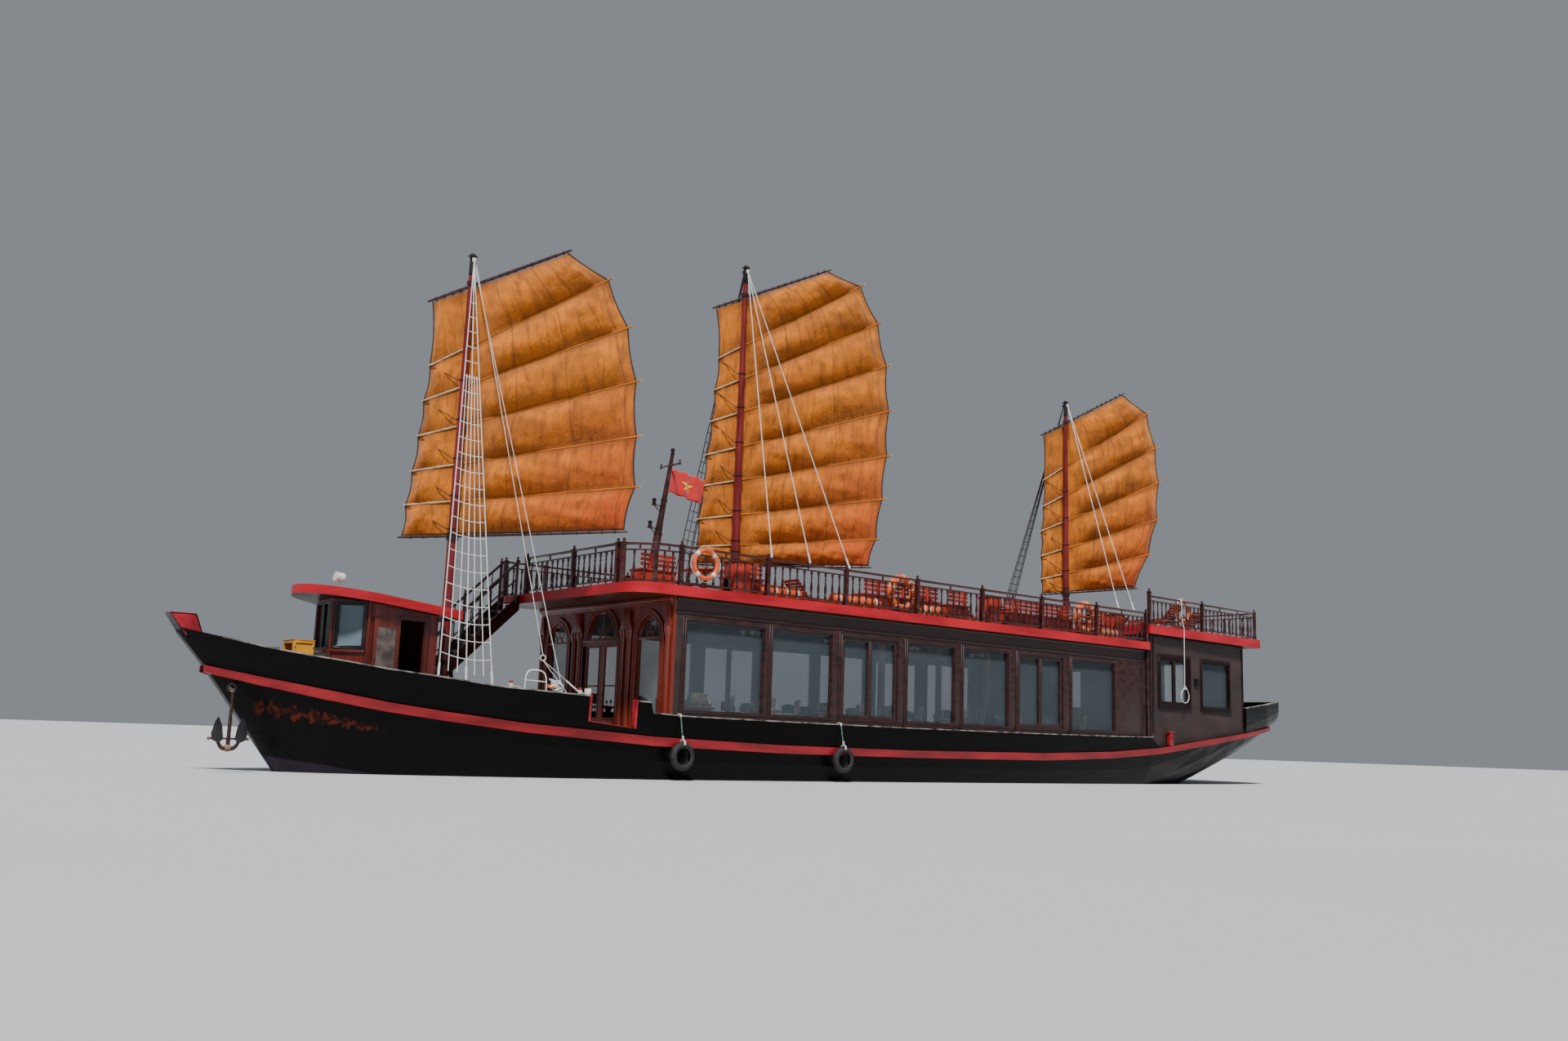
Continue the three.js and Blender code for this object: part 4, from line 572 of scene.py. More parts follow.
def make_materials(colours):
    """Every finish, in the colours of the add-on."""
    hull_paint(colours.hull)
    canvas(colours.sail, colours.sail_deck_glow)
    mast_paint(colours.mast)
    glass("window_glass", srgb(96, 108, 114), 0.22)
    glass("cabin_glass", srgb(128, 146, 156), 0.62)
    red_flag(colours.flag)
    plain("wale_red", shade(colours.wale, 0.45), colours.wale, 1.6, (0.3, 0.5), 0.004, (0.4, 1, 2), coat=0.15)
    plain("trim_red", shade(colours.trim, 0.45), colours.trim, 2.4, (0.28, 0.45), 0.002)
    plain("fascia_red", shade(colours.roof_edge, 0.6), colours.roof_edge, 1.5, (0.35, 0.5), 0.003,
          (0.4, 0.4, 2))
    plain("brown_wall", shade(colours.wall, 0.45), colours.wall, 1.3, (0.6, 0.8), 0.003, (0.6, 0.6, 1.6))
    plain("frame_brown", srgb(30, 15, 15), srgb(60, 28, 26), 3.0, (0.35, 0.5), 0.002, (1, 1, 3))
    plain("iron", srgb(26, 22, 22), srgb(78, 50, 36), 9.0, (0.55, 0.85), 0.006, metallic=0.4)
    plain("bronze", srgb(96, 74, 40), srgb(150, 118, 66), 8.0, (0.25, 0.5), 0.002, metallic=0.9)
    plain("rubber", srgb(18, 18, 20), srgb(44, 42, 42), 9.0, (0.6, 0.9), 0.006)
    plain("white_paint", srgb(206, 204, 198), srgb(238, 236, 230), 3.0, (0.3, 0.45), 0.001)
    plain("yellow_paint", srgb(196, 128, 22), srgb(232, 164, 40), 3.0, (0.35, 0.55), 0.003)
    plain("orange", srgb(206, 74, 26), srgb(236, 104, 44), 5.0, (0.5, 0.7), 0.002)
    plain("black_paint", srgb(12, 10, 12), srgb(34, 28, 30), 3.0, (0.25, 0.45), 0.002)
    plain("rail_paint", shade(colours.railing, 0.3), colours.railing, 3.5, (0.22, 0.4), 0.002, (1, 1, 2),
          coat=0.4)
    plain("worn_cap", srgb(36, 32, 32), srgb(150, 142, 132), 7.0, (0.5, 0.8), 0.003, (0.6, 1, 1))
    plain("china", srgb(214, 212, 206), srgb(240, 238, 232), 6.0, (0.12, 0.25), 0.001)
    plain("chair_wood", srgb(62, 50, 44), srgb(104, 88, 78), 6.0, (0.45, 0.6), 0.003)
    plain("grey_glass", srgb(70, 62, 60), srgb(112, 98, 92), 5.0, (0.08, 0.2), 0.001)
    plain("steel", srgb(150, 152, 154), srgb(196, 198, 200), 6.0, (0.2, 0.35), 0.001, metallic=1.0)
    plain("cloth_white", srgb(214, 210, 204), srgb(240, 238, 234), 6.0, (0.85, 0.95), 0.004)
    plain("cloth_red", srgb(150, 34, 30), srgb(196, 58, 46), 5.0, (0.8, 0.95), 0.006)
    plain("canvas_plain", shade(colours.sail, 0.6), colours.sail, 1.2, (0.9, 0.95), 0.004)
    plain("bamboo", srgb(150, 122, 88), srgb(206, 180, 140), 5.0, (0.5, 0.7), 0.003, (1, 1, 5))
    plain("dark_rope", srgb(26, 20, 18), srgb(58, 44, 36), 12.0, (0.8, 0.95), 0.003)
    plain("green_rope", srgb(40, 84, 66), srgb(92, 132, 104), 14.0, (0.8, 0.95), 0.003)
    plain("rust", srgb(70, 38, 26), srgb(150, 128, 108), 11.0, (0.7, 0.9), 0.006)
    plain("deck_red", srgb(112, 24, 16), srgb(184, 54, 34), 3.0, (0.3, 0.5), 0.003, coat=0.2)
    plain("ceiling", srgb(92, 48, 30), srgb(130, 72, 44), 1.6, (0.35, 0.5), 0.002, (0.4, 6, 1))
    laid_rope("white_rope", srgb(168, 164, 156), srgb(236, 234, 228), 0.05)
    wood("teak", srgb(104, 72, 48), srgb(150, 112, 78), 1, 0.14, 0, (0.55, 0.75), length=2.6)
    wood("mahogany_front", shade(colours.front, 0.5), colours.front, 1, 0.16, 2, (0.25, 0.4), coat=0.3)
    wood("mahogany_side", srgb(68, 18, 12), srgb(112, 36, 22), 0, 0.16, 2, (0.25, 0.4), coat=0.3)
    plain("dark_wood", srgb(34, 14, 14), srgb(66, 26, 22), 4.0, (0.25, 0.4), 0.003, (1, 1, 1), coat=0.3)
    plain("red_wood", srgb(84, 20, 16), srgb(132, 36, 28), 4.0, (0.25, 0.4), 0.003, (1, 1, 1), coat=0.3)
    deck_tones = (shade(colours.deck, 0.55), colours.deck)
    edge_tones = (shade(colours.roof_edge, 0.6), colours.roof_edge)
    roof_slab("deck_slab", deck_tones, edge_tones, srgb(84, 44, 30))
    roof_slab("roof_slab", deck_tones, edge_tones, srgb(40, 20, 18))


# Sails

# Masts as packed: x, foot, top, radius at the foot.
MASTS = {
    "fore": (13.4, 1.1503, 12.15, 0.135),
    "main": (5.2, 4.4203, 14.0, 0.130),
    "mizzen": (-8.85, 4.4203, 12.8, 0.115),
}
TIP_RADIUS = 0.06
SWING = math.radians(140)
SAIL_CLEAR = 0.046
# Sail rows from the yard to the foot: luff distance and height, leech distance and height.
SAILS = {
    "fore": [
        (-0.91, 10.98, 2.22, 12.29),
        (-0.86, 9.41, 3.22, 11.65),
        (-0.95, 8.55, 3.75, 10.49),
        (-1.01, 7.70, 4.01, 9.18),
        (-1.09, 6.86, 4.08, 7.86),
        (-1.18, 6.06, 4.11, 6.66),
        (-1.21, 5.34, 3.90, 5.64),
    ],
    "main": [
        (-0.79, 12.78, 2.28, 13.94),
        (-0.67, 11.34, 3.20, 13.54),
        (-0.75, 10.43, 3.71, 12.48),
        (-0.80, 9.54, 3.97, 11.27),
        (-0.90, 8.60, 4.06, 9.99),
        (-0.97, 7.73, 4.03, 8.73),
        (-1.05, 6.81, 3.93, 7.53),
        (-1.06, 6.06, 3.79, 6.42),
        (-1.05, 5.62, 3.59, 5.69),
    ],
    "mizzen": [
        (-0.72, 11.60, 1.99, 13.11),
        (-0.72, 10.03, 2.82, 12.47),
        (-0.74, 9.12, 3.10, 11.27),
        (-0.81, 8.26, 3.20, 10.06),
        (-0.81, 7.41, 3.12, 8.78),
        (-0.81, 6.62, 2.82, 7.57),
        (-0.78, 6.15, 2.34, 6.45),
    ],
}


def mast_radius(mast, z):
    """A mast's radius at a height."""
    _, foot, top, radius = MASTS[mast]
    return radius + (TIP_RADIUS - radius) * (z - foot) / (top - foot)


class Rig:
    """One sail's frame: distance aft of the mast, distance beside it, and height."""

    def __init__(self, mast):
        self.mast = mast
        self.body = mast + "_rig"
        self.rows = SAILS[mast]
        self.offset = mast_radius(mast, self.rows[-1][1]) + SAIL_CLEAR
        self.turn = Matrix.Translation((MASTS[mast][0], 0, 0)) @ Matrix.Rotation(SWING, 4, "Z")

    def at(self, aft, beside, z):
        return self.turn @ Vector((aft, beside, z))

    def row(self, i, u):
        """Distance and height along a row, from luff to leech."""
        a, za, b, zb = self.rows[i]
        return a + (b - a) * u, za + (zb - za) * u

    def crossing(self, i):
        """Height of a row where it passes the mast."""
        a, za, b, zb = self.rows[i]
        return za + (zb - za) * -a / (b - a)


def ease(value, low, high):
    """None below one limit, one above the other, and smooth between."""
    t = min(max((value - low) / (high - low), 0.0), 1.0)
    return t * t * (3 - 2 * t)


def billow(rig, i, u, v, belly):
    """How far the cloth stands out between two battens; beside the mast it lies flat."""
    aft = rig.row(i, u)[0] * (1 - v) + rig.row(i + 1, u)[0] * v
    down = (i + v) / (len(rig.rows) - 1)
    arc = max(0.0, math.sin(math.pi * v)) ** 0.85
    free = ease(abs(aft), 0.16, 0.95 if aft > 0 else 1.3)
    edge = ease(u, 0.0, 0.06) * ease(1 - u, 0.0, 0.08)
    fade = 1.0 - 0.5 * ease(down, 0.2, 0.9) * ease(u, 0.3, 1.0)
    seed = len(rig.mast)
    slow = noise.noise(Vector((u * 3.5, (i + v) * 0.9, seed)))
    folds = noise.noise(Vector((u * 24.0 + 4 * v, i * 7.0 + v * 0.9, seed)))
    cross = noise.noise(Vector((u * 9.0 - 5 * v, i * 5.0 + v * 3.0, seed + 3)))
    fan = math.sin((v * 4 + u * 3) * math.tau) * max(0.0, u - 0.55) * (1.0 if i < 2 else 0.3)
    crease = (0.026 * folds + 0.030 * cross + 0.030 * fan) * min(1.0, 5 * v, 5 * (1 - v)) * edge
    return belly * arc * free * edge * fade * (1 + 0.35 * slow) + crease * (0.3 + 0.7 * free)


def sail_spot(rig, u, down, belly):
    """A place on the cloth, by its share along the chord and the panels counted from the head."""
    last = len(rig.rows) - 1
    i = min(int(down + 1e-6), last - 1)
    v = down - i
    (a, za), (b, zb) = rig.row(i, u), rig.row(i + 1, u)
    hollow = 0.05 * math.sin(math.pi * v) * ((1 - u) ** 8 - u**8)
    ragged = 0.03 * noise.noise(Vector((u * 28.0, 0.5, 2.0))) - 0.02 if down < 1e-6 else 0.0
    beside = rig.offset - billow(rig, i, u, v, belly)
    return rig.at(a + (b - a) * v + hollow, beside, za + (zb - za) * v + ragged)


def draped(columns, rows, spot, maps):
    """A grid laid out by one function of its coordinates, with UV maps by others, and its area."""
    mesh = bmesh.new()
    layers = [(mesh.loops.layers.uv.new(name), mark) for name, mark in maps.items()]
    bmesh.ops.create_grid(mesh, x_segments=columns, y_segments=rows, size=0.5)
    for face in mesh.faces:
        for loop in face.loops:
            for layer, mark in layers:
                loop[layer].uv = mark(loop.vert.co.x, loop.vert.co.y)
    for vert in mesh.verts:
        vert.co = spot(vert.co.x, vert.co.y)
    return mesh, sum(face.calc_area() for face in mesh.faces)


def thicken(sheet, thickness):
    """Gives a sheet two sides, in place of the edge split of solid pieces."""
    sheet.modifiers.remove(sheet.modifiers["edges"])
    sheet.modifiers.new("thickness", "SOLIDIFY").thickness = thickness


def make_sail(rig, belly, columns, steps):
    """The cloth as one sheet. Its finish knows how far along the chord and how far down the panels it is."""
    last = len(rig.rows) - 1
    mesh, area = draped(
        columns, steps * last, lambda x, y: sail_spot(rig, x + 0.5, (0.5 - y) * last, belly),
        {"panels": lambda x, y: (x + 0.5, (0.5 - y) * last), "depth": lambda x, y: (0.5 - y, 0)},
    )
    node = rig.mast + "_sail"
    sail = piece(rig.mast + "_sailcloth", mesh, "canvas", rig.body, (node,))
    thicken(sail, 0.005)


def make_battens(rig):
    """Battens in their pockets, pale poles before the luff, edge ropes, and the lines to the mast."""
    mesh = bmesh.new()
    last = len(rig.rows) - 1
    for i in range(1, last):
        ends = [Vector((a, 0, z)) for a, z in (rig.row(i, 0), rig.row(i, 1))]
        way = (ends[1] - ends[0]).normalized()
        spots = [ends[0] - way * 0.02, ends[1] + way * 0.1]
        line = [rig.at(p.x, rig.offset + 0.004, p.z) for p in spots]
        tube(mesh, [line[0].lerp(line[1], t / 12) for t in range(13)], 0.024, 8)
        tip = [rig.at(p.x, rig.offset + 0.004, p.z) for p in (ends[1], ends[1] + way * 0.16)]
        rod(mesh, tip[0], tip[1], 0.02, 0.008, 8, 1)
        pole = [ends[0] - way * 0.04, ends[0].lerp(ends[1], 0.06), ends[0] + way * (0.04 - ends[0].x)]
        tube(mesh, [rig.at(p.x, rig.offset - 0.018, p.z) for p in pole], [0.024, 0.026, 0.022], 8, 1)
    edges = bmesh.new()
    outline = {0: [], 1: []}
    for i in range(last):
        for k in range(8):
            for u in (0, 1):
                v = k / 8
                (a, za), (b, zb) = rig.row(i, u), rig.row(i + 1, u)
                hollow = 0.05 * math.sin(math.pi * v) * (1 if u == 0 else -1)
                outline[u].append(rig.at(a + (b - a) * v + hollow, rig.offset, za + (zb - za) * v))
    for u in (0, 1):
        a, z = rig.row(last, u)
        outline[u].append(rig.at(a, rig.offset, z))
        tube(edges, outline[u], 0.016, 6)
    for i in range(1, last):
        a, z = rig.row(i, 0)
        low = rig.crossing(min(i + 1, last)) + 0.1
        beside = mast_radius(rig.mast, low) + 0.02
        tube(edges, [rig.at(a, rig.offset - 0.04, z), rig.at(-beside - 0.02, 0.06, low)], 0.009, 6)
        hoop(edges, rig.at(0, 0, low), (0, 0, 1), beside, 0.011, 16)
    piece(rig.mast + "_battens", mesh, ["canvas_plain", "bamboo"], rig.body)
    piece(rig.mast + "_edge_ropes", edges, "dark_rope", rig.body)


def spar_line(rig, i, lift, reach):
    """Both ends of a spar along a row, lifted off it and run past it."""
    (a, za), (b, zb) = rig.row(i, 0), rig.row(i, 1)
    way = Vector((b - a, 0, zb - za)).normalized()
    up = Vector((-way.z, 0, way.x)) * lift
    start, end = Vector((a, 0, za)) - way * reach + up, Vector((b, 0, zb)) + way * reach + up
    return [rig.at(p.x, rig.offset, p.z) for p in (start, end)]


def make_spar(rig, i, name, lift, reach, radius):
    """A tapered round spar with its lashings, and the hoop that holds it to the mast."""
    mesh = bmesh.new()
    start, end = spar_line(rig, i, lift, reach)
    count = 24
    swell = [radius * (0.62 + 0.38 * math.sin(math.pi * k / count) ** 0.5) for k in range(count + 1)]
    tube(mesh, [start.lerp(end, k / count) for k in range(count + 1)], swell, 16)
    way = (end - start).normalized()
    for k in range(1, 18):
        spot = start.lerp(end, k / 18)
        tube(mesh, [spot - way * 0.02, spot + way * 0.02], radius * 1.06, 14, 1)
    z = rig.crossing(i) + lift / math.cos(math.atan2(rig.rows[i][3] - rig.rows[i][1],
                                                     rig.rows[i][2] - rig.rows[i][0]))
    hold = mast_radius(rig.mast, z - 0.048) + 0.006
    centre = rig.at(0, 0, z)
    for low, high in ((-0.046, -0.012), (-0.010, 0.010), (0.012, 0.046)):
        band(mesh, centre, (0, 0, 1), hold, hold + 0.024, low, high)
    for side in (-1, 1):
        tube(mesh, [rig.at(side * 0.05, hold + 0.01, z), rig.at(side * 0.05, rig.offset, z + side * 0.01)],
             0.018, 8)
    piece(rig.mast + "_" + name + "_spar", mesh, ["dark_wood", "dark_rope"],
          rig.body, (rig.mast + "_" + name,))


# Masts and standing rigging

def make_mast(mast):
    """A smooth tapered pole with its black head, disc cap and button, and the boom's collar."""
    x, foot, top, _ = MASTS[mast]
    mesh = bmesh.new()
    tip = top - 0.09
    black = tip - 0.42
    heights = [foot + (black - foot) * k / 10 for k in range(11)]
    turned(mesh, [(mast_radius(mast, z), z) for z in heights], at=(x, 0, 0), sides=28)
    turned(mesh, [(mast_radius(mast, z) + 0.004, z) for z in (black - 0.01, tip)], at=(x, 0, 0), sides=28,
           index=1)
    turned(mesh, [(0.085, tip - 0.02), (0.105, tip - 0.01), (0.105, tip + 0.02), (0.09, tip + 0.03)],
           at=(x, 0, 0), sides=28, index=1)
    knob = [(0.05, tip + 0.02), (0.058, tip + 0.045), (0.052, tip + 0.07), (0.03, top - 0.002)]
    turned(mesh, knob, at=(x, 0, 0), sides=20, index=1)
    rig = Rig(mast)
    last = len(rig.rows) - 1
    a, za, b, zb = rig.rows[last]
    low = rig.crossing(last) - 0.034 / math.cos(math.atan2(zb - za, b - a)) - 0.048
    wide = mast_radius(mast, low) + 0.028
    turned(mesh,
           [(wide - 0.02, low - 0.096), (wide, low - 0.086), (wide, low - 0.01),
            (wide - 0.012, low - 0.0003)],
           at=(x, 0, 0), sides=28, index=1)
    for z in (foot + 0.01, foot + 1.5, black - 0.03):
        rise = [(mast_radius(mast, z) + 0.012, z), (mast_radius(mast, z) + 0.012, z + 0.03)]
        turned(mesh, rise, at=(x, 0, 0), sides=28, index=1)
    piece(mast + "_mast_pole", mesh, ["mast_red", "black_paint"],
          replaces=(mast + "_mast",))


# Shrouds as packed: how high they meet the mast, and x of their feet to port and to starboard.
SHROUDS = {
    "fore": (11.97, (14.52, 13.95, 13.4), ()),
    "main": (13.80, (6.45, 5.2, 3.85), (5.0, 4.55, 3.85)),
    "mizzen": (12.62, (-7.5, -8.3), (-9.3, -9.75)),
}
# Sheer of the hull: x, half breadth and height, from bow to stern.
SHEER = [
    (19.13, 0.21, 2.79),
    (18.56, 0.56, 2.67),
    (17.69, 0.99, 2.48),
    (16.98, 1.35, 2.36),
    (16.3, 1.66, 2.27),
    (15.5, 1.94, 2.15),
    (14.5, 2.21, 2.05),
    (13.2, 2.50, 1.90),
    (11.6, 2.78, 1.82),
    (9.74, 3.025, 1.72),
    (9.68, 3.03, 1.49),
    (8.9, 3.09, 1.445),
    (6.0, 3.20, 1.42),
    (1.5, 3.25, 1.40),
    (-3.8, 3.25, 1.41),
    (-7.0, 3.21, 1.43),
    (-9.1, 3.17, 1.46),
    (-10.7, 3.12, 1.78),
    (-12.6, 3.02, 2.20),
    (-14.0, 2.92, 2.45),
    (-15.1, 2.82, 2.60),
    (-17.0, 2.48, 2.80),
    (-18.5, 2.06, 2.96),
]
BULWARK_THICK = 0.11
RAIL_Y = 3.1
DECK_TOP = 4.42
AFT_TOP = 4.99
RAIL_HIGH = 0.94
# The port side of the railing round the aft deck: x and y from its front to its back corner.
AFT_RAIL = [(-9.11, RAIL_Y), (-12.25, 2.98), (-15.65, 2.86)]


def shroud_foot(x):
    """Half breadth and height of the rail or bulwark that a shroud stands on."""
    if x > 10.45:
        half, z = along(SHEER, x)
        return half - BULWARK_THICK / 2, z
    if x > AFT_RAIL[0][0]:
        return RAIL_Y, DECK_TOP + RAIL_HIGH
    return along(AFT_RAIL, x)[0], AFT_TOP + RAIL_HIGH


# The rope ladder: its reach from the first foot, its lowest share of a shroud, and shares along one step.
NET_REACH = 1.5
NET_FOOT = 0.985
NET_POINTS = (0, 0.2, 0.4, 0.6, 0.8, 1)


def shroud_line(mast, x, side):
    """A shroud's upper and lower end."""
    hound = SHROUDS[mast][0]
    y, z = shroud_foot(x)
    start = Vector((MASTS[mast][0], side * (mast_radius(mast, hound) + 0.022), hound))
    return start, Vector((x, side * y, z))


def make_shrouds(mast, side, feet, ratlines, radius, material):
    """Laid shrouds with thimbles and lashings at their feet, and ratlines tied across them."""
    mesh = bmesh.new()
    lines = [shroud_line(mast, x, side) for x in feet]
    for start, foot in lines:
        way = (foot - start).normalized()
        tube(mesh, [start.lerp(foot, k / 10) for k in range(11)], radius, 6)
        eye = foot - way * 0.30
        tube(mesh, [eye, eye + way * 0.28], radius * 1.9, 8)
        hoop(mesh, foot - way * 0.05, Vector((1, 0, 0)), 0.035, 0.009, 12)
    head = lines[0][0]
    box(mesh, (head.x - 0.044, head.y - 0.019, head.z - 0.048),
        (head.x + 0.044, head.y + 0.016, head.z + 0.048), 0.008)
    if ratlines:
        net = [line for line in lines if abs(line[1].x - feet[0]) < NET_REACH]
        first, last = net[0], net[-1]
        middles = [(first[0].lerp(last[0], t), first[1].lerp(last[1], t)) for t in (0.17, 0.34, 0.67, 0.84)]
        for start, foot in middles:
            tube(mesh, [start.lerp(foot, 0.3), start.lerp(foot, NET_FOOT)], radius * 0.8, 5)
        count = int((head.z - 2.5) / ratlines)
        for k in range(1, count):
            share = NET_FOOT * k / count
            a, b = first[0].lerp(first[1], share), last[0].lerp(last[1], share)
            sag = 0.06 * (a - b).length + 0.006 * math.sin(k * 2.3)
            points = [a.lerp(b, t) - Vector((0, 0, sag * 4 * t * (1 - t))) for t in NET_POINTS]
            tube(mesh, points, radius * 0.8, 5)
    name = mast + "_shrouds_" + ("port" if side > 0 else "starboard")
    piece(name + "_lines", mesh, material, replaces=(name,))


def make_stays():
    """Two lines from the foremast's head to the port cap rail, one of them with a ring and two tails."""
    mesh = bmesh.new()
    hound = Vector((13.34, 0.09, 11.85))
    ring = Vector((12.0, 2.01, 2.65))
    tube(mesh, [hound, hound.lerp(ring, 0.5), ring], 0.009, 6)
    tube(mesh, [hound + Vector((0.02, 0.02, -0.1)), Vector((11.85, 2.68, 1.86))], 0.009, 6)
    hoop(mesh, ring - Vector((0, 0, 0.05)), Vector((0.4, 1, 0)), 0.06, 0.014, 16)
    for foot in (Vector((11.75, 2.68, 1.85)), Vector((11.42, 2.73, 1.85))):
        tube(mesh, [ring - Vector((0, 0, 0.10)), foot], 0.007, 6)
    piece("stays", mesh, "white_rope")


# Railings

RAIL_NEWELS = (9.15, 6.56, 3.97, 1.38, -1.21, -3.8, -6.39, -8.92)
RAILINGS = {
    "port": (DECK_TOP, [(10.31, 2.43), (9.8, 3.01), *((x, RAIL_Y) for x in RAIL_NEWELS)]),
    "starboard": (DECK_TOP, [(10.35, -3.08), *((x, -RAIL_Y) for x in RAIL_NEWELS)]),
    "front": (DECK_TOP, [(10.35, -1.95), (10.35, 0.31), (10.35, 2.25)]),
    "aft": (
        AFT_TOP,
        [*AFT_RAIL, (-15.65, 0), *((x, -y) for x, y in reversed(AFT_RAIL))],
    ),
}
BALUSTER = [
    (0.032, 0.0),
    (0.032, 0.07),
    (0.017, 0.085),
    (0.028, 0.13),
    (0.035, 0.22),
    (0.023, 0.36),
    (0.016, 0.46),
    (0.028, 0.485),
    (0.016, 0.51),
    (0.022, 0.56),
    (0.032, 0.59),
    (0.032, 0.66),
]
FINIAL = [
    (0.045, 0.0),
    (0.050, 0.012),
    (0.030, 0.022),
    (0.018, 0.034),
    (0.030, 0.046),
    (0.037, 0.062),
    (0.033, 0.082),
    (0.016, 0.094),
]


def stamp_of(profile, sides):
    """A small turned piece on its own, to be copied along a rail."""
    part = bmesh.new()
    turned(part, profile, sides=sides)
    return part


def make_newel(mesh, x, y, deck, high, turn):
    """A square post with its edges taken off, a neck moulding, a cap and a ball on top."""
    place = Matrix.Translation((x, y, deck)) @ Matrix.Rotation(turn, 4, "Z")
    box(mesh, (-0.052, -0.052, 0.001), (0.052, 0.052, high - 0.13), 0.008, place)
    box(mesh, (-0.058, -0.058, 0.002), (0.058, 0.058, 0.14), 0.008, place)
    box(mesh, (-0.060, -0.060, high - 0.17), (0.060, 0.060, high - 0.15), 0.006, place)
    box(mesh, (-0.066, -0.066, high - 0.13), (0.066, 0.066, high - 0.098), 0.01, place)
    put(mesh, stamp_of(FINIAL, 14), [place @ Matrix.Translation((0, 0, high - 0.098))])


def make_run(mesh, start, end, deck, spacing):
    """A run between two newels: handrail, lower rail, foot rail, balusters and short pillars."""
    way = Vector((end[0] - start[0], end[1] - start[1], 0))
    turn = math.atan2(way.y, way.x)
    place = Matrix.Translation((start[0], start[1], deck)) @ Matrix.Rotation(turn, 4, "Z")
    ends = (0.045, way.length - 0.045)
    box(mesh, (ends[0], -0.040, 0.885), (ends[1], 0.040, 0.940), 0.018, place)
    box(mesh, (ends[0], -0.024, 0.755), (ends[1], 0.024, 0.790), 0.008, place)
    box(mesh, (ends[0], -0.026, 0.060), (ends[1], 0.026, 0.100), 0.008, place)
    count = max(2, round(way.length / spacing))
    steps = [way.length * k / count for k in range(1, count)]
    put(mesh, stamp_of(BALUSTER, 8), [place @ Matrix.Translation((x, 0, 0.097)) for x in steps])
    pillar = [(0.016, 0.0), (0.022, 0.02), (0.030, 0.045), (0.022, 0.07), (0.016, 0.10)]
    pillars = max(2, round(way.length / 1.3))
    spots = [way.length * k / pillars for k in range(1, pillars)]
    put(mesh, stamp_of(pillar, 10), [place @ Matrix.Translation((x, 0, 0.788)) for x in spots])


def make_railing(name, spacing):
    """One run of railing: newels, rails and balusters."""
    deck, places = RAILINGS[name]
    mesh = bmesh.new()
    for start, end in zip(places, places[1:]):
        make_run(mesh, start, end, deck, spacing)
    for k, (x, y) in enumerate(places):
        a, b = places[max(k - 1, 0)], places[min(k + 1, len(places) - 1)]
        high = 1.16 if name == "aft" and k in (0, len(places) - 1) else 1.05
        make_newel(mesh, x, y, deck, high, math.atan2(b[1] - a[1], b[0] - a[0]))
    piece("railing_" + name, mesh, "rail_paint", replaces=("rail_" + name,))


# Stair as packed: its head, turn, length, slope, and half the distance between its two rails.
STAIR = {"head": (10.5125, -2.39, 4.42), "turn": math.radians(11), "run": 3.445, "slope": -0.8663,
         "rail": 0.318}


def make_stair_trim():
    """Balusters between the stair's strings and handrails, with moulded heads on its posts."""
    mesh = bmesh.new()
    place = Matrix.Translation(STAIR["head"]) @ Matrix.Rotation(STAIR["turn"], 4, "Z")
    profile = [(0.020, -0.01), (0.020, 0.08), (0.012, 0.1), (0.021, 0.18), (0.014, 0.30), (0.019, 0.36),
               (0.019, 0.44)]
    upper = [(0.018, 0.50), (0.018, 0.56), (0.012, 0.6), (0.018, 0.70), (0.012, 0.80), (0.018, 0.87)]
    for side in (-1, 1):
        for k in range(1, 13):
            if k % 4 == 0:
                continue
            x = 0.12 + 0.27 * k
            at = place @ Vector((x, side * STAIR["rail"], STAIR["slope"] * x - 0.006))
            for line in (profile, upper):
                turned(mesh, line, at=at, sides=8)
        for x in (0.12, 1.20, 2.28, 3.37):
            at = place @ Vector((x, side * STAIR["rail"], STAIR["slope"] * x - 0.006 + 0.9605))
            turned(mesh, [(r * 0.85, z) for r, z in FINIAL], at=at, sides=14)
    piece("stair_trim", mesh, "rail_paint")


# Saloon

SIDE_Y = 3.0
# Side windows: forward edge, aft edge, and whether it has two sashes.
SALOON_WINDOWS = [
    (8.86, 6.53, False),
    (6.27, 4.33, False),
    (3.97, 1.99, True),
    (1.62, -0.19, False),
    (-0.56, -2.42, False),
    (-2.86, -4.87, True),
    (-5.30, -7.38, False),
]
SILL, HEAD = 1.56, 3.65
FRONT_X = 9.23
# The saloon's inside: where its furniture stands, and where its trim ends under the deck.
FLOOR, CEILING = 0.951, 4.178


def rectangle(a0, a1, b0, b1, grow=0.0):
    """The corners of a rectangle, grown on all sides."""
    return [(a0 - grow, b0 - grow), (a1 + grow, b0 - grow), (a1 + grow, b1 + grow), (a0 - grow, b1 + grow)]


def casing(mesh, opening, grow0, grow1, *push_out):
    """A square frame round an opening, between two distances from its edge."""
    surround(mesh, rectangle(*opening, grow0), rectangle(*opening, grow1), *push_out)


def surround(mesh, inner, outer, low, high, axis, index=0, bevel=0.0):
    """A frame of any outline: the space between two outlines, pushed along an axis."""
    part = bmesh.new()
    for outline in (inner, outer):
        closed_line(part, [oriented(axis, a, b, low) for a, b in outline])
    bmesh.ops.bridge_loops(part, edges=part.edges[:])
    push(part, part.faces[:], oriented(axis, 0, 0, high - low))
    if bevel:
        sharp = [e for e in part.edges if len(e.link_faces) == 2 and e.calc_face_angle(0) > 0.6]
        round_off(part, sharp, bevel, 1)
    put(mesh, part, index=index)


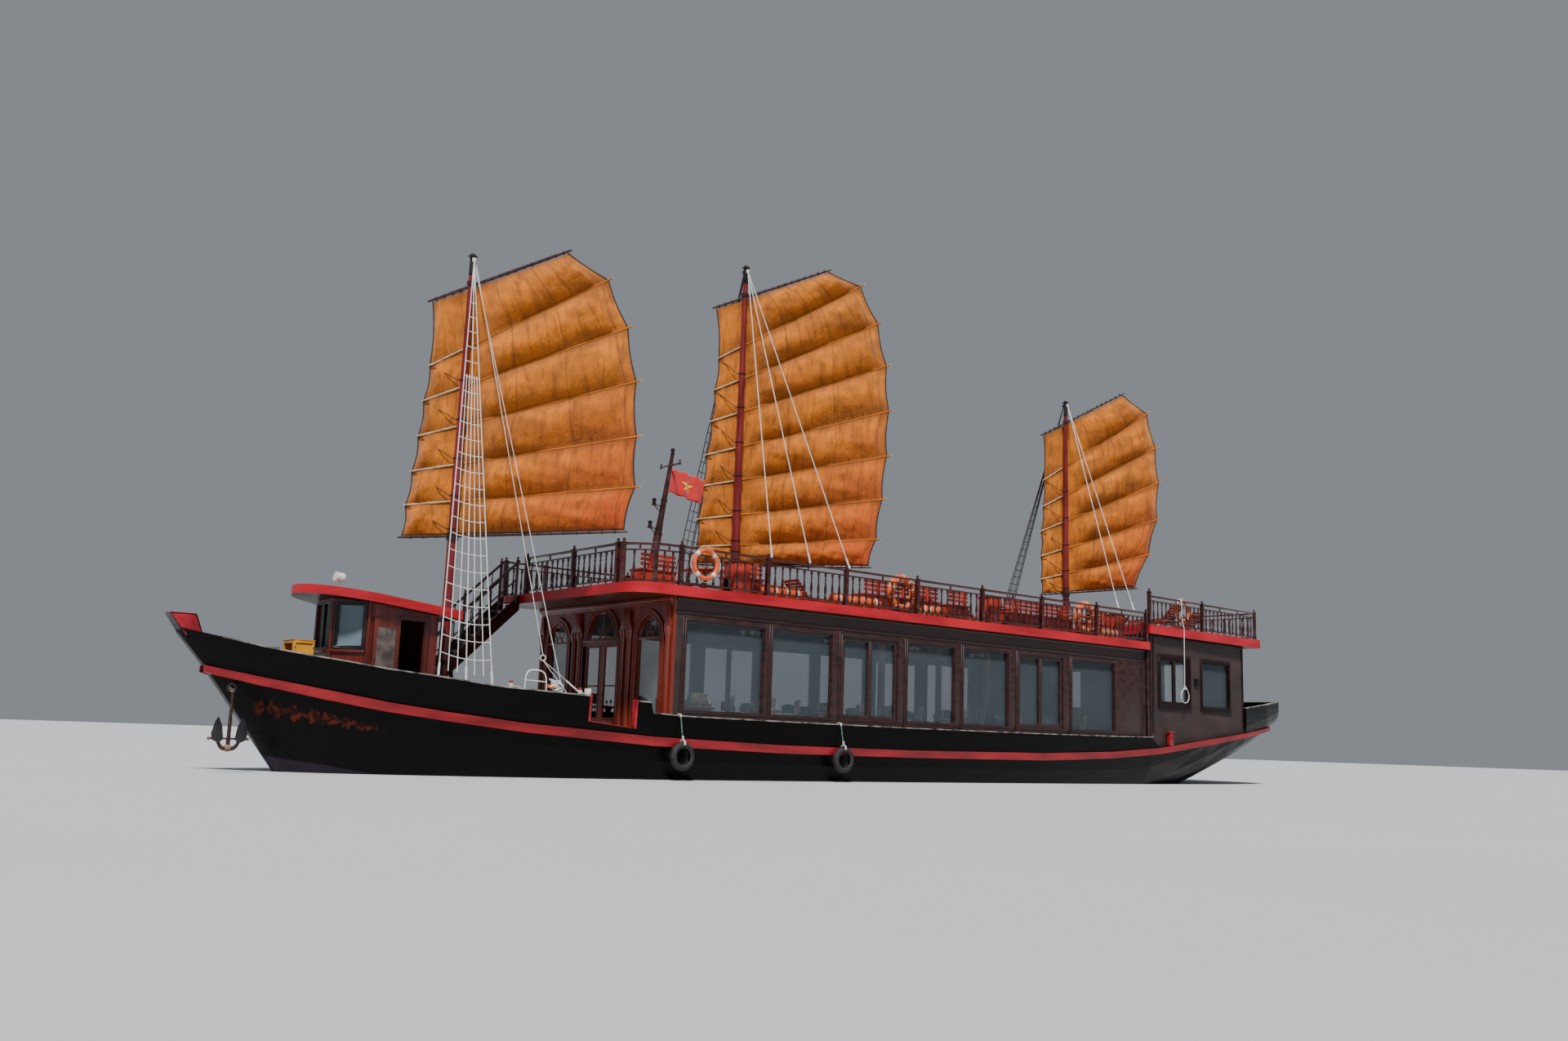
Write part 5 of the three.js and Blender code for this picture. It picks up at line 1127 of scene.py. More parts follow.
def make_window(mesh, x0, x1, z0, z1, y, side, paired):
    """One window's casing with its stepped bead, drip sill, and the sashes of a paired one."""
    def steps(grow0, grow1, out0, out1):
        casing(mesh, (x0, x1, z0, z1), grow0, grow1, y + side * out0, y + side * out1, 1, 0, 0.005)
    steps(0.012, 0.105, LIFT, 0.028)
    steps(0.0, 0.045, LIFT, 0.045)
    steps(-0.03, 0.002, -0.05, 0.012)
    strip(mesh, (x0 - 0.12, x1 + 0.12), y, side, 0.055, (z0 - 0.135, z0 - 0.10), 0.008)
    if not paired:
        return
    middle = (x0 + x1) / 2
    for a, b in ((x0 + 0.03, middle), (middle, x1 - 0.03)):
        casing(mesh, (a, b, z0 + 0.03, z1 - 0.03), -0.075, 0, y - side * 0.06, y + side * 0.004, 1, 0, 0.006)


def make_saloon_side(name, side):
    """Window casings, the posts between them and the cornice of one side of the saloon."""
    mesh = bmesh.new()
    y = side * SIDE_Y
    for front, back, paired in SALOON_WINDOWS:
        make_window(mesh, back, front, SILL, HEAD, y, side, paired)
    edges = [9.1, *(x for front, back, _ in SALOON_WINDOWS for x in (front, back)), -8.95]
    for a, b in zip(edges[::2], edges[1::2]):
        low, high = b + 0.105, a - 0.105
        if high - low > 0.06:
            strip(mesh, (low, high), y, side, 0.014, (1.42, 3.80), 0.006)
    strip(mesh, (-8.96, 9.16), y, side, 0.026, (3.80, 3.86), 0.008)
    strip(mesh, (-8.96, 9.16), y, side, 0.05, (4.10, CEILING), 0.012)
    strip(mesh, (-9.08, -8.98), y, side, 0.10, (1.40, CEILING), 0.01)
    rod(mesh, (-9.16, side * 3.09, 1.40), (-9.16, side * 3.09, 4.66), 0.035, sides=12)
    piece("saloon_trim_" + name, mesh, "frame_brown")


def arch_outline(y, half, sill, spring, grow=0.0, point=0.0):
    """Outline of an arched opening across the ship, its crown drawn up to a slight point."""
    line = [(y - half - grow, sill - grow), (y + half + grow, sill - grow)]
    for k in range(25):
        t = math.pi * k / 24
        lift = point * max(0.0, 1 - abs(math.cos(t)) / 0.5) ** 2
        line.append((y + (half + grow) * math.cos(t), spring + (half + grow) * math.sin(t) + lift))
    return line


FRONT_ARCHES = ((2.07, 0.48, 1.25, 3.265), (-2.07, 0.48, 1.25, 3.265))
FANLIGHT = (0, 0.64, 3.29, 3.30)


def make_saloon_front():
    """Mouldings of the three arches, half columns between them, bars of the fanlights, and the cornice."""
    mesh = bmesh.new()
    for arch in (*FRONT_ARCHES, FANLIGHT):
        y, half, _, spring = arch
        for grow0, grow1, out in ((0.0, 0.05, 0.05), (0.04, 0.115, 0.035), (0.105, 0.15, 0.05)):
            inner, outer = arch_outline(*arch, grow0, 0.03), arch_outline(*arch, grow1, 0.05)
            surround(mesh, inner, outer, FRONT_X + LIFT, FRONT_X + out, 0, 0, 0.004)
        box(mesh, (FRONT_X - 0.06, y - half, spring - 0.045), (FRONT_X + 0.03, y + half, spring + 0.02),
            0.006)
        for k in range(1, 4):
            t = math.pi * k / 4
            hub, rim = Vector((FRONT_X - 0.02, y, spring)), Vector((0, math.cos(t), math.sin(t)))
            rod(mesh, hub + rim * 0.14, hub + rim * (half - 0.004), 0.014, sides=6)
        part = bmesh.new()
        band(part, (0, 0, 0), (0, 0, 1), 0.12, 0.155, -0.015, 0.015, 24)
        bmesh.ops.bisect_plane(part, geom=part.verts[:] + part.edges[:] + part.faces[:], plane_co=(0, 0, 0),
                               plane_no=(1, 0, 0), clear_outer=True)
        turn = Matrix.Translation((FRONT_X - 0.02, y, spring)) @ Matrix.Rotation(QUARTER, 4, "Y")
        put(mesh, part, [turn])
    for arch in FRONT_ARCHES:
        surround(mesh, arch_outline(*arch, -0.05), arch_outline(*arch, 0.002), FRONT_X - 0.07, FRONT_X, 0,
                 0, 0.004)
    shaft = [
        (0.085, 0.0), (0.085, 0.10), (0.070, 0.13), (0.078, 0.16), (0.062, 0.20), (0.066, 1.0), (0.060, 2.20),
        (0.070, 2.23), (0.062, 2.27), (0.075, 2.32), (0.095, 2.40), (0.11, 2.48), (0.11, 2.54),
    ]
    for y in (-2.86, -1.27, -0.98, 0.98, 1.27, 2.86):
        turned(mesh, shaft, at=(FRONT_X + 0.02, y, FLOOR), sides=20)
    for y in (-2.86, -1.125, 1.125, 2.86):
        wide = 0.13 if abs(y) > 2 else 0.27
        outline = [(y - wide, 3.49), (y + wide, 3.49), (y + wide * 0.62, 3.68), (y + wide * 0.5, 3.97),
                   (y - wide * 0.5, 3.97), (y - wide * 0.62, 3.68)]
        prism(mesh, outline, FRONT_X + LIFT, FRONT_X + 0.07, 0, bevel=0.012)
    box(mesh, (FRONT_X + LIFT, -2.99, 4.02), (FRONT_X + 0.06, 2.99, 4.07), 0.012)
    box(mesh, (FRONT_X + LIFT, -2.99, 4.06), (FRONT_X + 0.12, 2.99, CEILING), 0.02)
    for side in (-1, 1):
        for y0, y1 in ((0.83, 1.56), (2.60, 2.98)):
            box(mesh, (FRONT_X + LIFT, side * y0, 0.952), (FRONT_X + 0.03, side * y1, 1.20), 0.01)
        box(mesh, (FRONT_X - 0.05, side * 0.80, 0.952), (FRONT_X + 0.045, side * 0.86, 3.27), 0.008)
    box(mesh, (FRONT_X - 0.085, -0.86, 3.233), (FRONT_X + 0.05, 0.86, 3.288), 0.01)
    piece("saloon_front_trim", mesh, "mahogany_front")


def make_door_trim(name, side):
    """Beads, a kick panel and a handle on one leaf of the double door."""
    mesh = bmesh.new()
    x = FRONT_X - 0.023
    inner, outer = sorted((side * 0.13, side * 0.67))
    casing(mesh, (inner, outer, 1.378, 3.08), 0, 0.03, x + LIFT, x + 0.014, 0, 0, 0.003)
    panel = sorted((side * 0.16, side * 0.64))
    box(mesh, (x + LIFT, panel[0], 1.04), (x + 0.012, panel[1], 1.30), 0.006)
    box(mesh, (x - 0.028, inner, 2.13), (x - 0.016, outer, 2.17), 0.004)
    turned(mesh, [(0.022, 0), (0.022, 0.006), (0.009, 0.012), (0.009, 0.05)], at=(x, side * 0.065, 1.95),
           way=(1, 0, 0), sides=12, index=1)
    rod(mesh, (x + 0.045, side * 0.065, 1.95), (x + 0.045, side * 0.17, 1.95), 0.009, sides=10, index=1)
    piece("door_trim_" + name, mesh, ["mahogany_front", "bronze"],
          "saloon_door_" + name)


# Inside the saloon

def make_table(mesh, x, y, z):
    """A round pedestal table laid with plates and glasses."""
    top = [(0.0, 0.70), (0.44, 0.705), (0.455, 0.72), (0.455, 0.735), (0.44, 0.75)]
    turned(mesh, top, at=(x, y, z), sides=24)
    foot = [(0.26, 0.0), (0.26, 0.025), (0.07, 0.06), (0.045, 0.12), (0.06, 0.35), (0.04, 0.5), (0.09, 0.70)]
    turned(mesh, foot, at=(x, y, z), sides=14)
    plate = [(0.06, 0.0), (0.09, 0.004), (0.125, 0.018), (0.12, 0.02)]
    glass = [(0.03, 0.0), (0.005, 0.008), (0.005, 0.07), (0.032, 0.10), (0.036, 0.17), (0.03, 0.175)]
    for k in range(4):
        t = math.pi * (0.25 + k / 2)
        spot = Vector((x + 0.29 * math.cos(t), y + 0.29 * math.sin(t), z + 0.75))
        turned(mesh, plate, at=spot, sides=14, index=1)
        turned(mesh, glass, at=spot + Vector((-0.12 * math.sin(t), 0.12 * math.cos(t), 0)), sides=8, index=1)


def chair_part():
    """A wooden chair with a tall curved back, facing +X."""
    part = bmesh.new()
    box(part, (-0.21, -0.21, 0.42), (0.21, 0.21, 0.465), 0.015)
    for x in (-0.18, 0.18):
        for y in (-0.18, 0.18):
            rod(part, (x, y, 0), (x, y, 0.43), 0.016, 0.022, 6)
    for y in (-0.18, 0.18):
        tube(part, [(-0.19, y, 0.44), (-0.22, y, 0.75), (-0.27, y, 1.04)], 0.017, 6)
    outline = [(-0.17, 0.80), (0.17, 0.80), (0.19, 1.0), (0.10, 1.06), (-0.10, 1.06), (-0.19, 1.0)]
    prism(part, outline, -0.255, -0.232, 0, bevel=0.006)
    for y in (-0.07, 0, 0.07):
        tube(part, [(-0.20, y, 0.46), (-0.225, y, 0.64), (-0.245, y, 0.82)], 0.009, 5)
    return part


def make_lamp(mesh, x, y, z):
    """A hanging lamp: a rod, a turned boss, five arms and their glass shades."""
    turned(mesh, [(0.06, -0.02), (0.05, -0.035), (0.012, -0.05), (0.012, -0.22), (0.04, -0.25), (0.05, -0.29),
                  (0.02, -0.34)], at=(x, y, z), sides=12)
    shade = [(0.02, 0.0), (0.05, 0.02), (0.075, 0.07), (0.08, 0.10), (0.07, 0.104)]
    for k in range(5):
        t = math.tau * k / 5
        out = Vector((math.cos(t), math.sin(t), 0))
        hub = Vector((x, y, z - 0.28))
        arm = [hub, hub + out * 0.12 - Vector((0, 0, 0.05)), hub + out * 0.24 + Vector((0, 0, 0.01))]
        tube(mesh, smooth_line(arm, 6), 0.008, 6)
        turned(mesh, shade, at=arm[-1], sides=10, index=1)


def make_interior():
    """Tables, chairs and lamps behind the saloon's windows, its ceiling beams, columns and counter."""
    mesh = bmesh.new()
    chairs = []
    for x in (7.7, 5.6, 3.4, 1.2, -1.3, -3.6, -5.9):
        for side in (-1, 1):
            y = side * 1.95
            make_table(mesh, x, y, FLOOR)
            for k in range(4):
                t = math.pi * (0.5 * k + 0.25) + 0.2 * side
                spot = Vector((x + 0.62 * math.cos(t), y + 0.62 * math.sin(t), FLOOR))
                chairs.append(Matrix.Translation(spot) @ Matrix.Rotation(t + math.pi, 4, "Z"))
    put(mesh, chair_part(), chairs, 2)
    for x in (6.8, 3.4, 0.2, -3.0, -6.2):
        for side in (-1, 1):
            make_lamp(mesh, x, side * 1.5, 4.16)
    piece("saloon_furniture", mesh, ["red_wood", "china", "chair_wood"])
    ceiling = bmesh.new()
    for k in range(15):
        x = 8.6 - 1.15 * k
        box(ceiling, (x - 0.05, -2.90, 4.10), (x + 0.05, 2.90, CEILING), 0.01)
    for y in (-1.9, -0.6, 0.6, 1.9):
        box(ceiling, (-8.85, y - 0.03, 4.12), (9.05, y + 0.03, CEILING), 0.008)
    for x in (0.62, -3.8):
        for y in (-1.0, 1.0):
            turned(ceiling, [(0.13, 0), (0.13, 0.2), (0.10, 0.24), (0.10, 3.02), (0.14, 3.1), (0.14, 3.15)],
                   at=(x, y, FLOOR), sides=18)
    counter = [(-8.35, -1.9), (-7.8, -1.9), (-7.8, 1.2), (-8.35, 1.2)]
    prism(ceiling, counter, FLOOR + 0.001, 1.95, 2, bevel=0.015)
    prism(ceiling, [(a + (0.05 if a > -8 else -0.05), b * 1.03) for a, b in counter], 1.951, 2.0, 2,
          bevel=0.012)
    piece("saloon_ceiling", ceiling, "ceiling")


# Aft cabin

AFT_FRONT, AFT_BACK = -9.03, -15.049
AFT_HALF_FRONT, AFT_HALF_BACK = 3.06, 2.74
AFT_WINDOWS = [(-9.72, -11.50, True), (-12.30, -14.05, False)]


def make_aft_side(name, side):
    """Casings, corner boards and the drain of the aft cabin's side, laid on its tapering wall."""
    mesh = bmesh.new()
    run = AFT_FRONT - AFT_BACK
    slope = math.atan2(AFT_HALF_FRONT - AFT_HALF_BACK, run)
    for front, back, paired in AFT_WINDOWS:
        make_window(mesh, back, front, 2.51, 4.01, 0.0, 1, paired)
    strip(mesh, (AFT_BACK + 0.02, AFT_FRONT - 0.06), 0, 1, 0.04, (4.62, 4.698), 0.01)
    strip(mesh, (-12.10, -11.82), 0, 1, 0.05, (3.16, 3.42), 0.01, 1)
    for x, low in ((AFT_BACK + 0.06, 1.9), (-9.33, 1.6)):
        strip(mesh, (x - 0.05, x + 0.05), 0, 1, 0.02, (low, 4.6), 0.006)
    turn = Matrix.Translation((AFT_FRONT, AFT_HALF_FRONT, 0)) @ Matrix.Rotation(slope, 4, "Z")
    turn = turn @ Matrix.Translation((-AFT_FRONT, 0, 0))
    bmesh.ops.transform(mesh, matrix=turn, verts=mesh.verts[:])
    if side < 0:
        bmesh.ops.mirror(mesh, geom=mesh.verts[:] + mesh.edges[:] + mesh.faces[:], axis="Y", matrix=Matrix())
    piece("aft_trim_" + name, mesh, ["frame_brown", "black_paint"])


# Wheelhouse

HOUSE_BACK, HOUSE_SHOULDER, HOUSE_FRONT = 14.06, 15.62, 16.20
HOUSE_HALF, HOUSE_FRONT_HALF = 1.0, 0.43
HOUSE_SILL, HOUSE_HEAD = 2.61, 3.53
HOUSE_DOOR = (14.38, 14.95, 1.48, 3.25)
HOUSE_PANE, HOUSE_SLANT = 0.35, 0.305


def make_wheelhouse_trim():
    """Black window frames, corner posts, door casings, sill rails and the plinth of the wheelhouse."""
    mesh = bmesh.new()
    x0, x1, z0, z1 = HOUSE_DOOR
    for side in (-1, 1):
        y = side * HOUSE_HALF
        casing(mesh, (x0, x1 - 0.035, z0, z1), 0, 0.03, y + side * LIFT, y + side * 0.005, 1)
        surround(mesh, rectangle(x0 - 0.03, x1 - 0.005, z0 - 0.03, z1 + 0.03),
                 rectangle(x0 - 0.09, x1 - 0.005, z0 - 0.03, z1 + 0.085), y + side * LIFT, y + side * 0.03,
                 1, 0, 0.004)
        for x, top in ((HOUSE_BACK + 0.03, 3.36), (HOUSE_SHOULDER - 0.03, 3.5)):
            strip(mesh, (x - 0.03, x + 0.03), y, side, 0.004, (1.44, top), 0.0015)
        start, end = Vector((HOUSE_SHOULDER, y, 0)), Vector((HOUSE_FRONT, side * HOUSE_FRONT_HALF, 0))
        way = end - start
        middle = way.length / 2
        turn = Matrix.Translation(start) @ Matrix.Rotation(math.atan2(way.y, way.x), 4, "Z")
        pane = (middle - HOUSE_SLANT, middle + HOUSE_SLANT, HOUSE_SILL, HOUSE_HEAD)
        part = bmesh.new()
        casing(part, pane, 0, 0.05, side * LIFT, side * 0.03, 1, 1, 0.005)
        casing(part, pane, -0.035, 0, -side * 0.05, side * 0.012, 1, 1, 0.004)
        for low, high, out in ((2.50, 2.555, 0.045), (1.98, 2.02, 0.014), (2.24, 2.27, 0.01)):
            strip(part, (0.03, way.length - 0.03), 0, side, out, (low, high), 0.004)
        put(mesh, part, [turn])
        rod(mesh, (start.x, start.y, 1.85), (start.x, start.y, 3.50), 0.03, sides=10)
        rod(mesh, (end.x, end.y, 2.0), (end.x, end.y, 3.57), 0.03, sides=10)
    face = HOUSE_FRONT + LIFT
    pane = (-HOUSE_PANE, HOUSE_PANE, HOUSE_SILL, HOUSE_HEAD)
    casing(mesh, pane, 0, 0.05, face, HOUSE_FRONT + 0.03, 0, 1, 0.005)
    box(mesh, (HOUSE_FRONT - 0.05, -0.018, HOUSE_SILL), (HOUSE_FRONT + 0.02, 0.018, HOUSE_HEAD), 0.006,
        index=1)
    box(mesh, (face, -0.40, 2.50), (HOUSE_FRONT + 0.045, 0.40, 2.555), 0.006)
    piece("wheelhouse_trim", mesh, ["mahogany_side", "black_paint"])


def make_wheelhouse_door(name, side):
    """One tall pane in its beads, the kick panel and the handle of a leaf of the wheelhouse's doors."""
    mesh = bmesh.new()
    a, b = (15.03, 15.45) if side > 0 else (14.45, 14.87)
    y = side * 1.05
    for z0, z1, index in ((2.02, 3.06, 2), (1.60, 1.92, 1)):
        casing(mesh, (a, b, z0, z1), 0, 0.04, y + side * LIFT, y + side * 0.003, 1)
        strip(mesh, (a + 0.004, b - 0.004), y, side, 0.002, (z0 + 0.004, z1 - 0.004), index=index)
    # The starboard leaf's handle is on its inner side, to clear the wall when the leaf folds back.
    x, face = (b + 0.045, y) if side > 0 else (a - 0.03, -1.006)
    grip = face + 0.05
    for z in (2.38, 2.52):
        rod(mesh, (x, face, z), (x, grip, z), 0.008, index=3)
    rod(mesh, (x, grip, 2.37), (x, grip, 2.53), 0.01, index=3)
    piece("wheelhouse_door_trim_" + name, mesh, ["mahogany_side", "red_wood", "grey_glass", "bronze"],
          "wheelhouse_door_" + name)


# Hull trim

def sheer(x):
    """Half breadth and height of the bulwark's top at x."""
    return along(SHEER, x)


def make_cap_rails():
    """Cap rails along the bulwarks, in four runs to a side."""
    mesh = bmesh.new()
    runs = [(18.45, 11.24), (10.06, 9.745), (9.675, -9.12), (-15.08, -18.46)]
    for side in (-1, 1):
        for start, end in runs:
            count = max(3, int((start - end) / 0.35))
            part = bmesh.new()
            ring = None
            for k in range(count + 1):
                x = start + (end - start) * k / count
                half, z = sheer(x)
                low, high = half - BULWARK_THICK - 0.012, half + 0.018
                corners = [(low, z - 0.012), (high, z - 0.012), (high, z + 0.010), (high - 0.01, z + 0.016),
                           (low + 0.01, z + 0.016), (low, z + 0.010)]
                verts, edges = closed_line(part, [(x, side * y, h) for y, h in corners])
                if ring:
                    bmesh.ops.bridge_loops(part, edges=ring + edges)
                else:
                    part.faces.new(verts)
                ring = edges
            bmesh.ops.contextual_create(part, geom=ring)
            put(mesh, part)
    piece("cap_rails", mesh, "worn_cap")


def make_gates():
    """Posts and sloping sill of the boarding gate at each side; the aft post is a leaning board."""
    mesh = bmesh.new()
    for side in (-1, 1):
        for x, low, wide in ((10.10, 1.125, 0.03), (11.205, 1.245, 0.03)):
            half, z = sheer(x)
            lean = hull_lean(x)
            outline = [(side * (half - 0.12 - lean), low), (side * (half + 0.012 - lean), low),
                       (side * (half + 0.016), z + 0.03), (side * (half - 0.125), z + 0.03)]
            prism(mesh, outline, x - wide, x + wide, 0, bevel=0.006)
        part = bmesh.new()
        half = sheer(10.6)[0] - hull_lean(10.6)
        outline = [(10.135, half + 0.01), (11.17, half - 0.07), (11.17, half - 0.22), (10.135, half - 0.14)]
        prism(part, [(x, side * y) for x, y in outline], 0.0, 0.022, 2, bevel=0.006)
        for vert in part.verts:
            vert.co.z += 1.122 + 0.12 * (vert.co.x - 10.12) / 1.07
        put(mesh, part)
    piece("gates", mesh, "trim_red")


def hull_lean(x):
    """How far the hull's side comes in from the sheer down to the gate's sill."""
    return 0.02 + 0.012 * max(0.0, x - 9.8)


# Rope, fenders, anchor

ROPE_RADIUS = 0.014
# The hanging rope's route, as packed, from the aft rail down to its loop and back to the knot.
ROPE_ROUTE = [
    (-10.920, 3.0752, 5.880),
    (-10.925, 3.0880, 5.500),
    (-10.928, 3.1060, 5.180),
    (-10.930, 3.1500, 5.000),
    (-10.930, 3.1520, 4.650),
    (-10.925, 3.1520, 4.000),
    (-10.920, 3.1520, 3.400),
    (-10.895, 3.1520, 3.090),
    (-10.780, 3.1520, 2.980),
    (-10.712, 3.1520, 2.830),
    (-10.765, 3.1520, 2.670),
    (-10.930, 3.1520, 2.600),
    (-11.095, 3.1520, 2.670),
    (-11.148, 3.1520, 2.830),
    (-11.075, 3.1600, 2.990),
    (-10.955, 3.1920, 3.070),
]


def make_hanging_rope():
    """The rope with a loop at its end, and the lashing that closes the loop."""
    line = smooth_line(ROPE_ROUTE, 150)
    mesh = bmesh.new()
    tube(mesh, line, ROPE_RADIUS, 10)
    rope = piece("hanging_rope_line", mesh, "white_rope", replaces=("hanging_rope",))
    knot = bmesh.new()
    middle = Vector((-10.92, 3.163, 3.085))
    for k in range(5):
        hoop(knot, middle + Vector((0, 0, 0.022 * (k - 2))), (0.1, 0.25, 1), 0.026, 0.010, 14)
    lashing = piece("hanging_rope_knot", knot, "white_rope")
    hitch = bmesh.new()
    for k in range(3):
        hoop(hitch, (-10.92 + 0.03 * (k - 1), 3.03, 5.905), (1, 0, 0), 0.044, 0.011, 14)
    piece("hanging_rope_hitch", hitch, "white_rope")


TYRE = {"outer": 0.318, "inner": 0.19, "thick": 0.165, "z": 0.54}


def make_fender(name):
    """A tyre with its tread and beads, hung by a rope over the bulwark's cap."""
    low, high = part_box(name)
    x, z = (low[0] + high[0]) / 2, TYRE["z"]
    y = high[1] - TYRE["thick"] / 2
    mesh = bmesh.new()
    half, outer, inner = TYRE["thick"] / 2, TYRE["outer"], TYRE["inner"]
    section = [
        (inner, -0.055), (inner + 0.012, -0.070), (inner + 0.05, -half), (outer - 0.06, -half),
        (outer - 0.02, -0.062),
        (outer - 0.004, -0.04), (outer - 0.004, -0.02), (outer - 0.014, -0.018), (outer - 0.014, -0.012),
        (outer, -0.01), (outer, 0.01), (outer - 0.014, 0.012), (outer - 0.014, 0.018), (outer - 0.004, 0.02),
        (outer - 0.004, 0.04), (outer - 0.02, 0.062), (outer - 0.06, half), (inner + 0.05, half),
        (inner + 0.012, 0.070), (inner, 0.055), (inner + 0.014, 0.045), (inner + 0.05, 0.066),
        (outer - 0.05, 0.06),
        (outer - 0.03, 0.0), (outer - 0.05, -0.06), (inner + 0.05, -0.066), (inner + 0.014, -0.045),
    ]
    part = bmesh.new()
    verts, edges = closed_line(part, [(r, 0, h) for r, h in section])
    bmesh.ops.spin(part, geom=verts + edges, axis=(0, 0, 1), angle=math.tau, steps=44, use_merge=True)
    bmesh.ops.remove_doubles(part, verts=part.verts[:], dist=MERGE)
    put(mesh, part, [Matrix.Translation((x, y, z)) @ Matrix.Rotation(QUARTER, 4, "X")])
    half_breadth, cap = sheer(x)
    over = half_breadth + 0.03
    top = z + outer
    for shift in (-0.012, 0.012):
        loop = [(x + shift, y + 0.09, top - 0.06), (x + shift, y + 0.075, top + 0.02),
                (x + shift, y - 0.02, top + 0.05), (x + shift, y - 0.075, top + 0.01)]
        tube(mesh, smooth_line(loop, 10), 0.012, 8, 1)
    tube(mesh, [(x, y, top + 0.035), (x, (y + over) / 2, (top + cap) / 2), (x, over, cap)], 0.013, 8, 2)
    for k in range(4):
        hoop(mesh, (x, y - 0.002 * k, top + 0.06 + 0.024 * k), (0, 0, 1), 0.02, 0.009, 12, 1)
    lash = [(x, over, cap - 0.03), (x, over + 0.006, cap + 0.02), (x, over - 0.06, cap + 0.04),
            (x, over - 0.14, cap + 0.03), (x, over - 0.16, cap - 0.03)]
    for shift in (-0.016, 0.0, 0.016):
        tube(mesh, smooth_line([Vector(p) + Vector((shift, 0, 0)) for p in lash], 12), 0.010, 8, 1)
    piece(name + "_tyre", mesh, ["rubber", "white_rope", "green_rope"],
          replaces=(name,))


ANCHOR = (18.19, 0.76, 0.40, 1.56)


def make_anchor():
    """A rusty stock anchor: shank, curved arms with broad flukes, crown, shackle and a short chain."""
    x, y, crown, top = ANCHOR
    mesh = bmesh.new()
    tube(mesh, [(x, y, crown + 0.03), (x, y, crown + 0.5), (x, y, top - 0.03)], [0.042, 0.036, 0.026], 10)
    turned(mesh, [(0.03, -0.03), (0.075, 0.0), (0.08, 0.05), (0.05, 0.10)], at=(x, y, crown + 0.03),
           sides=16, index=1)
    for side in (1, -1):
        arm = [(x, y, crown + 0.06), (x + side * 0.12, y, crown + 0.075),
               (x + side * 0.2, y + 0.006, crown + 0.20),
               (x + side * 0.235, y + 0.02, crown + 0.42), (x + side * 0.231, y + 0.03, crown + 0.62)]
        tube(mesh, smooth_line(arm, 14), [0.05 - 0.0026 * k for k in range(15)], 10)
        palm = [(x + side * 0.11, crown + 0.24), (x + side * 0.19, crown + 0.16),
                (x + side * 0.32, crown + 0.22),
                (x + side * 0.35, crown + 0.34), (x + side * 0.29, crown + 0.58),
                (x + side * 0.235, crown + 0.68), (x + side * 0.15, crown + 0.50)]
        prism(mesh, palm, y + 0.016, y + 0.044, 1, index=2, bevel=0.006)
    rod(mesh, (x - 0.4, y, crown + 0.25), (x + 0.4, y, crown + 0.25), 0.02, sides=10)
    for side in (-1, 1):
        rod(mesh, (x + side * 0.36, y, crown + 0.25), (x + side * 0.4, y, crown + 0.25), 0.036, 0.03, 12, 1)
    start, end = Vector((x, y, top)), Vector((x - 0.06, y - 0.45, top + 0.105))
    way = (end - start).normalized()
    links = 6
    for k in range(links):
        spot = start.lerp(end, (k + 0.3) / links)
        across = Vector((0, 0, 1)) if k % 2 else way.cross(Vector((0, 0, 1)))
        side = across.normalized()
        link = [spot + way * 0.045 * math.cos(t) + side * 0.026 * math.sin(t) for t in
                (math.tau * j / 12 for j in range(12))]
        tube(mesh, link, 0.010, 6, 1, closed=True)
    hoop(mesh, (x, y, top + 0.02), (1, 0, 0), 0.04, 0.011, 16, 1)
    piece("bower_anchor", mesh, ["iron", "rust", "black_paint"], replaces=("anchor",))


def make_bow():
    """The red panels and cap of the stem head, the hawse ring, and the bow's mooring posts."""
    mesh = bmesh.new()
    panel = [(19.335, 3.062), (18.875, 3.062), (18.70, 2.655), (19.03, 2.655)]
    for side in (-1, 1):
        y = side * 0.19
        prism(mesh, panel, y + side * LIFT, y + side * 0.012, 1, bevel=0.004)
    hoop(mesh, (18.17, 0.615, 1.65), Vector((0.35, 1, -0.35)).normalized(), 0.075, 0.022, 22, 1)
    box(mesh, (18.86, -0.188, 3.0805), (19.35, 0.188, 3.095), 0.004)
    for x, y in ((17.4, 0.62), (17.4, -0.62)):
        base = sheer(x)[1] - 0.30
        for dy in (-0.10, 0.10):
            turned(mesh, [(0.055, 0), (0.055, 0.30), (0.07, 0.32), (0.07, 0.35), (0.05, 0.37)],
                   at=(x, y + dy, base), sides=14, index=1)
        rod(mesh, (x, y - 0.17, base + 0.2), (x, y + 0.17, base + 0.2), 0.03, index=1)
    piece("bow_fittings", mesh, ["trim_red", "black_paint"])


WINDLASS = {"back": 16.47, "front": 16.92, "half": 0.30, "low": 1.481, "high": 2.71, "drum": (16.69, 2.20)}


